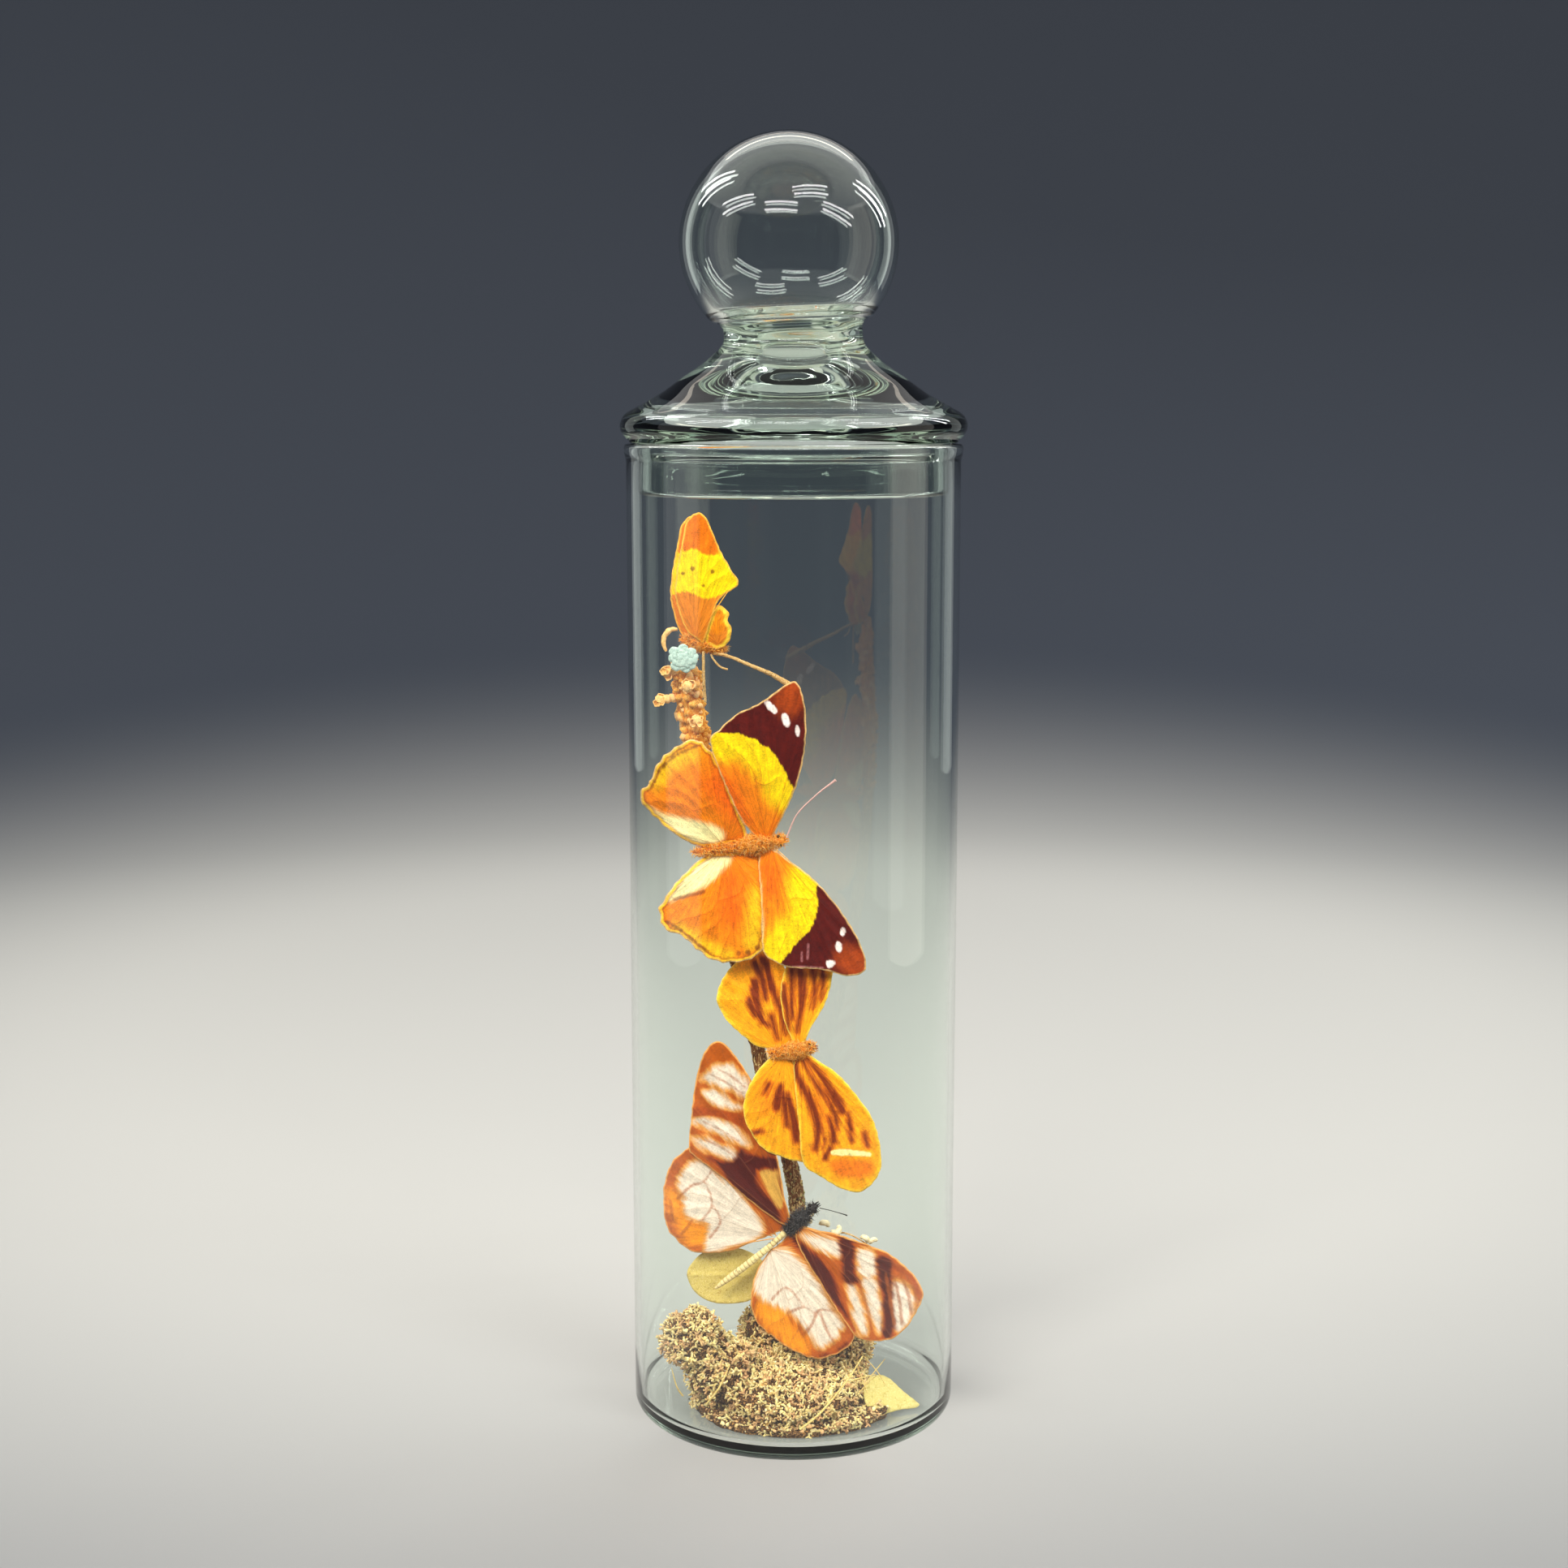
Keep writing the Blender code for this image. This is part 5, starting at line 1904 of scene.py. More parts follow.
@dataclass
class Ground:
    """The moss cushion, the two leaves, the sprig and its seeds, inside the jar's foot."""

    inner_radius: float = 47.6
    lowest: float = 4.15
    strand_length: float = 3.6
    strand_radius: float = 0.6
    strand_kinds: int = 14
    coat_count: int = 2000
    strand_scales: tuple = ((0.7, 1.1), (0.55, 1.0), (0.45, 0.85))  # of each coat, least and most
    litter_count: int = 2000
    straws: tuple = (
        ((2.0, -41.0, 7.5, 0.35), (8.0, -39.5, 12.0, 0.35), (16.0, -33.0, 19.5, 0.3),
         (21.0, -27.0, 25.0, 0.2)),
        ((-26.0, -33.0, 12.0, 0.3), (-22.0, -34.0, 18.0, 0.3), (-19.0, -31.0, 24.0, 0.2)),
    )
    round_leaf_at: tuple = (-20.4, -6.0, 43.0)
    round_leaf_size: tuple = (26.0, 18.5)
    leaf_tip_at: tuple = (27.6, -18.5, 9.8)
    sprig: Route = (
        (11.0, 1.5, 34.0, 0.35), (13.0, -1.0, 46.0, 0.35), (13.4, -3.4, 55.0, 0.3),
        (17.5, -5.4, 56.2, 0.25), (24.0, -7.4, 53.0, 0.2),
    )
    seeds: Route = (
        (6.0, -4.0, 60.9, 1.3), (9.6, -4.6, 58.6, 1.2), (13.0, -6.0, 58.2, 1.3), (21.9, -8.4, 55.2, 1.1),
        (25.0, -8.8, 54.7, 1.0),
    )

    def moss_bed(self) -> bpy.types.Mesh:
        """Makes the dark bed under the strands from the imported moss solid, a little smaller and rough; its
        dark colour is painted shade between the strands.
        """
        form = bmesh.new()
        form.from_mesh(frame["nodes"]["moss_mound"].data)
        bmesh.ops.remove_doubles(form, verts=form.verts, dist=0.02 * MM)
        bmesh.ops.triangulate(form, faces=form.faces)
        for _ in range(2):
            long_edges = [edge for edge in form.edges if edge.calc_length() > 2.2 * MM]
            bmesh.ops.subdivide_edges(form, edges=long_edges, cuts=1, use_grid_fill=True)
            bmesh.ops.triangulate(form, faces=form.faces)
        form.normal_update()
        normals = {vert: vert.normal.copy() for vert in form.verts}
        for vert in form.verts:
            spot = vert.co / MM
            pit = noise.noise(spot * 0.16) + 0.6 * noise.noise(spot * 0.42)
            vert.co -= normals[vert] * (2.3 - 1.5 * pit) * MM
            vert.co.z = max(vert.co.z, self.lowest * MM)
        mesh = bpy.data.meshes.new("moss_bed")
        form.to_mesh(mesh)
        form.free()
        mesh.materials.clear()
        mesh.polygons.foreach_set("use_smooth", [True] * len(mesh.polygons))
        return mesh

    def strand(self, draw: random.Random) -> bpy.types.Mesh:
        """Makes one curly, forked strand of reindeer moss that stands on the origin."""
        form = Form()

        def grow(start: np.ndarray, way: np.ndarray, length: float, radius: float, forks: int) -> None:
            """Grows one stretch and what forks from its end."""
            steps = 3
            points = [start]
            bend = np.array([draw.uniform(-1, 1) for _ in range(3)])
            for _ in range(steps):
                way = way + bend * 0.55
                way = way / np.linalg.norm(way)
                points.append(points[-1] + way * length / steps)
            radii = np.linspace(radius, radius * 0.8, steps + 1)
            # painted shade: each strand is darker at its base and lighter towards its tip
            shade = [0.3 + 0.7 * min(max(p[2] / self.strand_length * 1.3, 0.0), 1.0) for p in points]
            made, faces = tube(np.array(points), radii, 3)
            levels = [s for s in shade for _ in range(3)] + [shade[0], shade[-1]]
            form.join(made, faces, shade=levels)
            for side in range(forks):
                turn = 2 * math.pi * side / forks + draw.uniform(-0.6, 0.6)
                swing = np.array((math.cos(turn), math.sin(turn), draw.uniform(-0.3, 0.6)))
                grow(points[-1], way * 0.5 + swing, length * draw.uniform(0.8, 1.15), radius * 0.8, 0)

        grow(np.array((0.0, 0.0, -0.6)), np.array((0.0, 0.0, 1.0)), self.strand_length * 0.5,
             self.strand_radius, 3)
        return form.mesh("moss_strand")

    def keep_inside(self, piece: bpy.types.Object) -> None:
        """Presses whatever would reach through the glass or the floor back inside the jar."""
        for vert in piece.data.vertices:
            reach = math.hypot(vert.co.x, vert.co.y)
            most = (self.inner_radius - max(0.0, 7.0 - vert.co.z / MM) * 0.45) * MM
            if reach > most:
                vert.co.x *= most / reach
                vert.co.y *= most / reach
            vert.co.z = max(vert.co.z, self.lowest * MM)

    def build_moss(self, tools: Tools, materials: Materials) -> None:
        """Builds the dark bed of painted shade and three coats of strands over it."""
        bed_mesh = self.moss_bed()
        # the bed's near-black finish is painted shade in the gaps between the strands
        bed_mesh.materials.append(materials["moss_shadow"])
        draw = random.Random(31)
        kinds = [self.strand(draw) for _ in range(self.strand_kinds)]
        bed = link(bpy.data.objects.new("moss_bed", bed_mesh))
        settle(bed, Slot.MOSS, "moss_mound")
        up = np.array([max(vert.normal.z, -0.2) for vert in bed_mesh.vertices])
        height = np.array([vert.co.z / MM for vert in bed_mesh.vertices])
        weight = np.where(height < 4.6, 0.0, 0.6 + 0.5 * np.clip(up + 0.4, 0, 1))
        weight *= np.where(height < 6.4, 0.5, 1.0)
        gaps = np.array([noise.noise(vert.co / MM * 0.13) for vert in bed_mesh.vertices])
        weight *= np.clip(1.1 + 2.2 * gaps, 0.15, 1.25)
        for number, (least, most) in enumerate(self.strand_scales):
            surface = bed_mesh.copy()
            surface.attributes.new("weight", "FLOAT", "POINT").data.foreach_set("value", weight)
            coat = tools.scatterer.scatter(
                f"moss_coat_{number + 1}", surface, kinds, self.coat_count, materials["reindeer_moss"],
                Seed=40 + number, Smallest=least, Largest=most, Lean=0.95,
            )
            self.keep_inside(coat)
            settle(coat, Slot.MOSS, "moss_mound")
        surface = bed_mesh.copy()
        litter = np.where((height > 4.5) & (height < 9.0), 1.0, 0.04)
        surface.attributes.new("weight", "FLOAT", "POINT").data.foreach_set("value", litter)
        crumbs = tools.scatterer.scatter(
            "moss_litter", surface, crumb_meshes("litter", 0.8, 12), self.litter_count,
            materials["reindeer_moss"],
            Seed=61, Smallest=0.35, Largest=1.2, Lean=0.6,
        )
        self.keep_inside(crumbs)
        settle(crumbs, Slot.MOSS, "moss_mound")

    def build_straws(self, tools: Tools, materials: Materials) -> None:
        """Lays a few straw stems over the front of the moss."""
        draw = random.Random(5)
        routes = [catmull(np.array(straw), 1.0, False) for straw in self.straws]
        for _ in range(16):
            angle = draw.uniform(-2.6, -0.5)
            reach = draw.uniform(24, 42)
            start = np.array((reach * math.cos(angle), reach * math.sin(angle), draw.uniform(7, 15)))
            way = np.array([draw.uniform(-1, 1), draw.uniform(-0.3, 0.3), draw.uniform(0.1, 1.0)])
            way = way / np.linalg.norm(way) * draw.uniform(5, 12)
            bend = np.array([draw.uniform(-1.5, 1.5) for _ in range(3)])
            route = np.array([start, start + way / 2 + bend, start + way])
            radius = draw.uniform(0.16, 0.3)
            smooth = catmull(route, 1.0, False)
            routes.append(np.concatenate([smooth, np.linspace(radius, 0.1, len(smooth))[:, None]], axis=1))
        straws = tools.threader.draw("moss_straws", routes, 6, materials["straw"])
        self.keep_inside(straws)
        settle(straws, Slot.MOSS)

    def leaf(
        self, name: str, outline: np.ndarray, matrix: Matrix, bend: object, material: bpy.types.Material,
        node: str,
    ) -> None:
        """Builds a dry leaf.

        Args:
            name: The piece's name.
            outline: Its outline in mm.
            matrix: Where it lies.
            bend: A function that gives its height at (u, v), in mm.
            material: Its finish.
            node: The CAD node that it replaces.
        """
        spots, faces = fill_outline(outline, 0.7)
        form = Form()
        count = len(spots)
        points = []
        for shift in (0.16, -0.16):
            for u, v in spots:
                points.append(matrix @ Vector((u, v, bend(u, v) + shift)))
        pairs = {(f[i], f[(i + 1) % len(f)]) for f in faces for i in range(len(f))}
        walls = [(b, a, a + count, b + count) for a, b in pairs if (b, a) not in pairs]
        down = [tuple(i + count for i in reversed(f)) for f in faces]
        form.join(points, [tuple(f) for f in faces] + down + walls)
        piece = form.piece(name, material)
        self.keep_inside(piece)
        settle(piece, Slot.LEAF, node)

    def build_leaves(self, materials: Materials) -> None:
        """Builds the round pale leaf and the pointed leaf."""
        tip_up = Vector((0.0, 0.13, 1.0)).normalized()
        long_way = Vector((0.9, 0.0, 0.44))
        long_way = (long_way - tip_up * tip_up.dot(long_way)).normalized()
        across = (tip_up - long_way * tip_up.dot(long_way)).normalized()
        matrix = Matrix((long_way, across, long_way.cross(across))).transposed().to_4x4()
        matrix.translation = Vector(self.round_leaf_at)
        angles = np.radians(np.arange(0, 360, 5))
        wobble = np.array(
            [0.03 * noise.noise(Vector((math.cos(a) * 2, math.sin(a) * 2, 0.5))) for a in angles]
        )
        outline = np.stack(
            [
                self.round_leaf_size[0] / 2 * np.cos(angles) * (0.97 + wobble),
                self.round_leaf_size[1] / 2 * np.sin(angles) * (0.97 + wobble),
            ],
            axis=1,
        )

        def round_bend(u: float, v: float) -> float:
            """Gives the round leaf's cupping, midrib and side veins."""
            rib = 0.3 * math.exp(-((v / 0.5) ** 2))
            side = 0.06 * math.cos((abs(u) * 0.9 - abs(v) * 0.7) * 1.9)
            cup = 0.006 * (u * u + v * v) + 0.4 * noise.noise(Vector((u * 0.16, v * 0.16, 3.0)))
            return rib + side * min(abs(v), 3) / 3 + cup - 0.4

        self.leaf("round_leaf_blade", outline, matrix, round_bend, materials["round_leaf_skin"], "round_leaf")
        down = Vector((0.931, -0.043, -0.364)).normalized()
        side = Vector((0.21, 0.86, 0.47))
        side = (side - down * side.dot(down)).normalized()
        matrix = Matrix((down, side, down.cross(side))).transposed().to_4x4()
        matrix.translation = Vector(self.leaf_tip_at)
        tip = catmull(
            np.array(
                ((-6.0, 0.0), (-4.0, 5.6), (0.6, 7.4), (6.5, 3.6), (11.9, 0.0), (6.5, -3.6), (0.6, -7.4),
                 (-4.0, -5.6))
            ),
            0.7,
            True,
        )

        def tip_bend(u: float, v: float) -> float:
            """Gives the pointed leaf's fold along its rib."""
            ripple = 0.1 * math.cos(u * 2.2 - abs(v) * 1.4)
            return -0.22 * abs(v) + 0.15 * math.exp(-((v / 0.4) ** 2)) + ripple

        self.leaf("pointed_leaf_blade", tip, matrix, tip_bend, materials["pointed_leaf_skin"], "pointed_leaf")

    def build_seeds(self, tools: Tools, materials: Materials) -> None:
        """Builds the sprig and its pale curled seeds."""
        path = catmull(np.array(self.sprig), 0.5, False)
        sprig = tools.threader.draw("seed_sprig_stalk", [path], 8, materials["twig_bark"])
        settle(sprig, Slot.BARK, "seed_sprig")
        for number, (x, y, z, radius) in enumerate(self.seeds, start=1):
            draw = random.Random(50 + number)
            turn = draw.uniform(0, 6.28)
            radius *= 1.35
            form = Form()
            bow = [
                (
                    x + radius * 0.75 * math.cos(turn + a),
                    y + radius * 0.2 * math.sin(3 * a),
                    z + radius * 0.75 * math.sin(turn + a),
                )
                for a in np.linspace(0, 3.0, 14)
            ]
            girth = radius * (0.3 + 0.3 * np.sin(np.linspace(0.25, math.pi - 0.15, 14)))
            form.join(*tube(np.array(bow), girth, 10, lambda spot: 0.07 * noise.noise(Vector(spot) * 2.0)))
            piece = form.piece(f"seed_{number}_husk", materials["seed_skin"])
            settle(piece, Slot.SEED, f"seed_{number}")

    def build(self, tools: Tools, materials: Materials) -> None:
        """Builds everything that lies at the foot of the stick."""
        self.build_moss(tools, materials)
        self.build_straws(tools, materials)
        self.build_leaves(materials)
        self.build_seeds(tools, materials)


# The butterflies.

GOLDEN_SPOTS = {
    "left": (
        Patch(((9.8, 45.4), (11.8, 44.5), (13.8, 41.7), (13.3, 40.2), (11.3, 40.8), (9.7, 42.9))),
        Patch(((14.2, 40.4), (16.6, 40.1), (17.2, 36.9), (15.9, 35.2), (14.3, 36.6))),
        Patch(((18.2, 36.4), (19.3, 35.9), (19.7, 33.4), (18.6, 31.6), (17.7, 33.7))),
    ),
    "right": (
        Patch(((23.2, 28.4), (24.9, 28.8), (25.3, 30.6), (24.2, 31.8), (22.8, 30.9))),
        Patch(((21.0, 32.6), (23.0, 33.0), (23.4, 35.4), (22.2, 36.9), (20.6, 35.4))),
        Patch(((17.6, 37.8), (20.0, 37.9), (20.9, 39.6), (19.4, 41.2), (17.4, 40.4))),
    ),
}

GOLDEN_WINGS = (
    Wing(
        "left_forewing",
        ((2.3, 2.5), (6.4, 2.6), (14.5, 14.5), (19.4, 26.1), (21.8, 38.6), (20.9, 48.2), (17.2, 48.7),
         (9.0, 44.5), (0.7, 41.6), (-4.8, 37.8), (-7.9, 35.4), (-7.2, 28.5), (-4.7, 17.8), (-1.9, 8.2)),
        1, 8.0, 0.4,
        {
            "dark": (
                Patch(((-6.1, 37.4), (-3.5, 36.7), (0.9, 36.0), (4.6, 34.0), (7.3, 32.0), (10.0, 29.4),
                       (12.3, 24.6), (13.7, 21.0), (14.7, 17.3), (17.1, 19.5), (19.5, 26.1), (21.6, 33.5),
                       (22.6, 42.8), (21.5, 50.2), (16.3, 50.4), (9.0, 46.6), (3.5, 44.0), (-3.4, 41.2))),
            ),
            "apex": (Stripe(((17.5, 43.5), (19.0, 46.5)), 1.5, 1.5),),
            "spot": GOLDEN_SPOTS["left"],
            "warm": (Stripe(((-2.0, 9.0), (-4.2, 15.5), (-5.2, 21.5)), 1.0, 1.8),),
        },
    ),
    Wing(
        "left_hindwing",
        ((-1.3, 3.1), (-3.4, 14.7), (-6.5, 28.2), (-12.1, 35.5), (-19.0, 34.1), (-24.9, 30.0),
         (-28.8, 23.9),
         (-31.4, 22.5), (-32.0, 18.6), (-27.6, 12.1), (-21.6, 5.7), (-15.4, 2.4), (-7.8, 2.3)),
        1, 8.0, -0.4,
        {
            "pale": (
                Patch(((-33.0, 18.9), (-29.3, 12.3), (-22.6, 5.2), (-15.9, 1.0), (-9.7, 1.6), (-8.1, 5.2),
                       (-12.4, 9.1), (-19.4, 11.7), (-25.2, 13.8))),
            ),
            "warm": (Stripe(((-3.6, 11.5), (-6.0, 16.8), (-8.4, 21.0)), 1.2, 2.4),),
            "glow": (Stripe(((-14.0, 31.0), (-21.0, 29.5), (-26.0, 24.0)), 1.2, 1.0),),
            "shadow": (Stripe(((-10.8, 33.6), (-18.0, 31.8), (-24.0, 28.0), (-27.8, 22.6)), 0.1, 0.1),),
        },
        hind=True, scallop=0.5,
    ),
    Wing(
        "right_forewing",
        ((4.2, 2.6), (6.8, 3.4), (15.1, 10.6), (21.1, 18.4), (26.5, 28.5), (29.2, 36.6), (29.1, 42.7),
         (23.7, 43.9), (15.6, 40.8), (6.5, 38.9), (1.6, 36.2), (-1.1, 32.1), (0.4, 17.7), (1.3, 5.2)),
        -1, 8.0, 0.4,
        {
            "dark": (
                Patch(((17.6, 15.1), (17.6, 19.4), (16.5, 24.1), (14.7, 27.5), (12.5, 29.7), (9.5, 31.5),
                       (6.7, 34.4), (4.0, 36.9), (1.4, 38.2), (7.8, 41.2), (16.2, 42.6), (23.2, 45.2),
                       (30.2, 45.0),
                       (31.0, 39.3), (28.4, 31.3), (24.4, 22.8), (20.8, 16.2))),
            ),
            "apex": (Stripe(((24.6, 38.8), (28.0, 41.2)), 1.7, 1.7),),
            "spot": GOLDEN_SPOTS["right"],
            "warm": (Stripe(((3.6, 8.0), (4.6, 14.0)), 1.0, 1.0),),
            "pale": (Stripe(((-0.6, 7.5), (0.0, 13.0), (-0.2, 18.2), (-0.8, 27.9)), 0.7, 0.4),),
            "pink": (
                Stripe(((12.8, 32.5), (12.1, 37.0)), 0.15, 0.2),
                Stripe(((7.3, 38.8), (16.3, 40.4)), 0.2, 0.2),
                Stripe(((10.6, 34.5), (10.2, 37.4)), 0.1, 0.1),
            ),
        },
    ),
    Wing(
        "right_hindwing",
        ((-8.2, 2.3), (-14.6, 2.3), (-23.4, 7.2), (-29.6, 13.2), (-31.5, 16.2), (-30.3, 22.2),
         (-25.8, 24.8),
         (-21.3, 29.9), (-17.0, 33.8), (-10.2, 35.5), (-4.8, 34.9), (-0.5, 31.4), (2.8, 18.0), (2.5, 5.4),
         (-0.9, 2.6)),
        -1, 8.0, -0.4,
        {
            "pale": (
                Patch(((-6.6, 2.6), (-13.9, 0.2), (-20.4, 2.9), (-27.1, 8.2), (-32.1, 14.1), (-25.4, 13.5),
                       (-17.8, 11.5), (-11.8, 8.0))),
            ),
            "warm": (Stripe(((-7.5, 9.5), (-8.6, 15.0), (-9.4, 21.0)), 1.2, 2.0),),
            "glow": (
                Stripe(((-1.2, 15.0), (-2.2, 22.0), (-4.0, 29.5)), 0.6, 2.0),
                Stripe(((-12.0, 33.0), (-20.0, 28.0), (-26.0, 22.5)), 0.6, 0.6),
            ),
            "shadow": (
                Stripe(((-26.1, 13.5), (-16.7, 12.3)), 0.15, 0.3),
                Stripe(((-29.2, 19.8), (-25.6, 22.8), (-21.6, 27.2), (-17.4, 31.4)), 0.2, 0.1),
                Dot((-8.7, 32.6), 0.55), Dot((-5.6, 32.6), 0.5), Dot((-2.8, 31.6), 0.4),
            ),
        },
        hind=True, scallop=0.5,
    ),
)

STRIPED_WINGS = (
    Wing(
        "left_forewing",
        ((0.5, 2.0), (2.6, 2.0), (7.2, 7.6), (11.8, 13.5), (15.1, 21.6), (16.8, 30.0), (15.9, 38.0),
         (12.6, 39.5), (8.0, 36.1), (2.9, 29.2), (-1.4, 19.9), (-1.9, 9.9)),
        1, -12.0, 0.4,
        {
            "streak": (
                Stripe(((5.3, 26.8), (5.2, 18.9), (3.6, 11.6), (1.6, 5.5)), 1.2, 0.4),
                Stripe(((9.4, 29.0), (8.9, 18.4), (7.2, 12.0)), 1.0, 0.35),
                Stripe(((3.2, 27.0), (1.7, 17.2), (0.6, 9.6)), 0.9, 0.4),
                Stripe(((11.6, 29.6), (11.9, 20.5), (10.2, 14.6)), 0.7, 0.3),
                Stripe(((-0.6, 20.0), (-0.6, 12.4), (-1.0, 6.4)), 0.8, 0.35),
            ),
            "tip": (Patch(((9.5, 35.0), (17.5, 33.8), (18.0, 40.0), (12.0, 41.0))),),
            "cream": (Stripe(((8.0, 33.0), (16.2, 32.6)), 0.6, 0.6),),
        },
    ),
    Wing(
        "left_hindwing",
        ((-2.0, 2.0), (-11.0, 3.3), (-17.5, 9.3), (-20.8, 14.8), (-21.6, 19.5), (-19.4, 24.3),
         (-15.6, 28.3),
         (-11.1, 31.2), (-4.9, 31.8), (-0.3, 28.1), (1.5, 19.5), (1.6, 9.3), (-0.2, 2.3)),
        1, -12.0, -0.4,
        {
            "streak": (
                Stripe(((-5.6, 29.0), (-4.0, 20.1), (-2.6, 12.4), (-2.2, 5.4)), 1.15, 0.35),
                Stripe(((-8.4, 28.4), (-6.6, 22.7), (-6.4, 16.8)), 1.0, 0.6),
                Stripe(((-9.2, 22.5), (-9.7, 17.3), (-9.3, 13.4), (-8.6, 9.8)), 1.3, 0.8),
                Stripe(((-11.6, 17.4), (-10.6, 12.2)), 0.9, 0.5),
                Stripe(((-5.8, 11.3), (-4.7, 4.2)), 0.55, 0.3),
                Stripe(((-8.0, 10.0), (-6.6, 8.4)), 0.5, 0.4),
            ),
        },
        hind=True,
    ),
    Wing(
        "right_forewing",
        ((1.2, 2.0), (4.4, 2.9), (11.7, 8.5), (17.1, 16.6), (20.6, 23.7), (21.8, 31.2), (21.2, 39.3),
         (17.6, 44.3), (12.8, 46.2), (7.5, 43.9), (2.6, 39.9), (-2.3, 34.9), (-2.0, 24.3), (-1.6, 13.0),
         (-0.9, 4.2)),
        -1, 9.0, 0.4,
        {
            "streak": (
                Stripe(((3.1, 2.8), (6.7, 8.1), (9.5, 14.5), (11.9, 20.5)), 0.3, 1.05),
                Stripe(((10.1, 14.0), (11.2, 17.4), (11.9, 20.4)), 0.5, 1.3),
                Stripe(((2.0, 3.4), (4.3, 9.4), (7.7, 15.8), (9.5, 22.0), (9.2, 25.7)), 0.35, 0.55),
                Stripe(((-0.4, 3.0), (-0.2, 8.1), (1.9, 13.9), (3.5, 20.1), (3.7, 26.0),
                        (1.9, 31.1)), 0.8, 0.9),
                Stripe(((13.6, 21.2), (13.6, 25.3), (13.4, 30.1)), 0.55, 0.6),
                Stripe(((7.9, 21.6), (8.2, 25.6), (7.9, 29.3)), 0.6, 0.8),
                Stripe(((6.6, 31.3), (4.2, 34.4)), 0.75, 0.5),
                Stripe(((17.7, 28.2), (18.0, 32.4)), 0.4, 0.3),
                Stripe(((5.2, 28.2), (4.6, 31.0)), 0.35, 0.35),
            ),
            "cream": (Stripe(((7.3, 32.8), (12.0, 33.4), (18.2, 34.9)), 0.95, 0.7),),
            "tip": (Patch(((6.6, 35.2), (17.8, 37.2), (17.0, 41.6), (8.0, 40.4))),),
            "warm": (Stripe(((5.6, 16.0), (6.0, 24.0)), 0.6, 0.6),),
        },
    ),
    Wing(
        "right_hindwing",
        ((-2.6, 2.0), (-8.0, 2.3), (-13.7, 6.5), (-17.3, 12.3), (-18.4, 17.8), (-17.1, 23.0), (-14.1, 28.6),
         (-8.3, 32.4), (-1.3, 34.9), (2.6, 32.7), (4.8, 24.1), (3.5, 12.5), (1.1, 2.5)),
        -1, 9.0, -0.4,
        {
            "streak": (
                Stripe(((-6.0, 10.6), (-7.9, 16.4)), 1.0, 1.35),
                Stripe(((-5.3, 12.4), (-5.4, 17.2), (-5.6, 22.8)), 0.7, 1.0),
                Stripe(((-4.2, 13.1), (-3.3, 21.8), (-3.2, 27.6)), 0.6, 1.15),
                Stripe(((-9.2, 9.2), (-11.0, 12.1)), 0.6, 0.3),
                Stripe(((-17.4, 23.4), (-13.4, 23.4)), 0.3, 0.3),
            ),
            "warm": (Stripe(((-9.6, 10.0), (-11.4, 16.0)), 0.2, 0.2),),
        },
        hind=True,
    ),
)

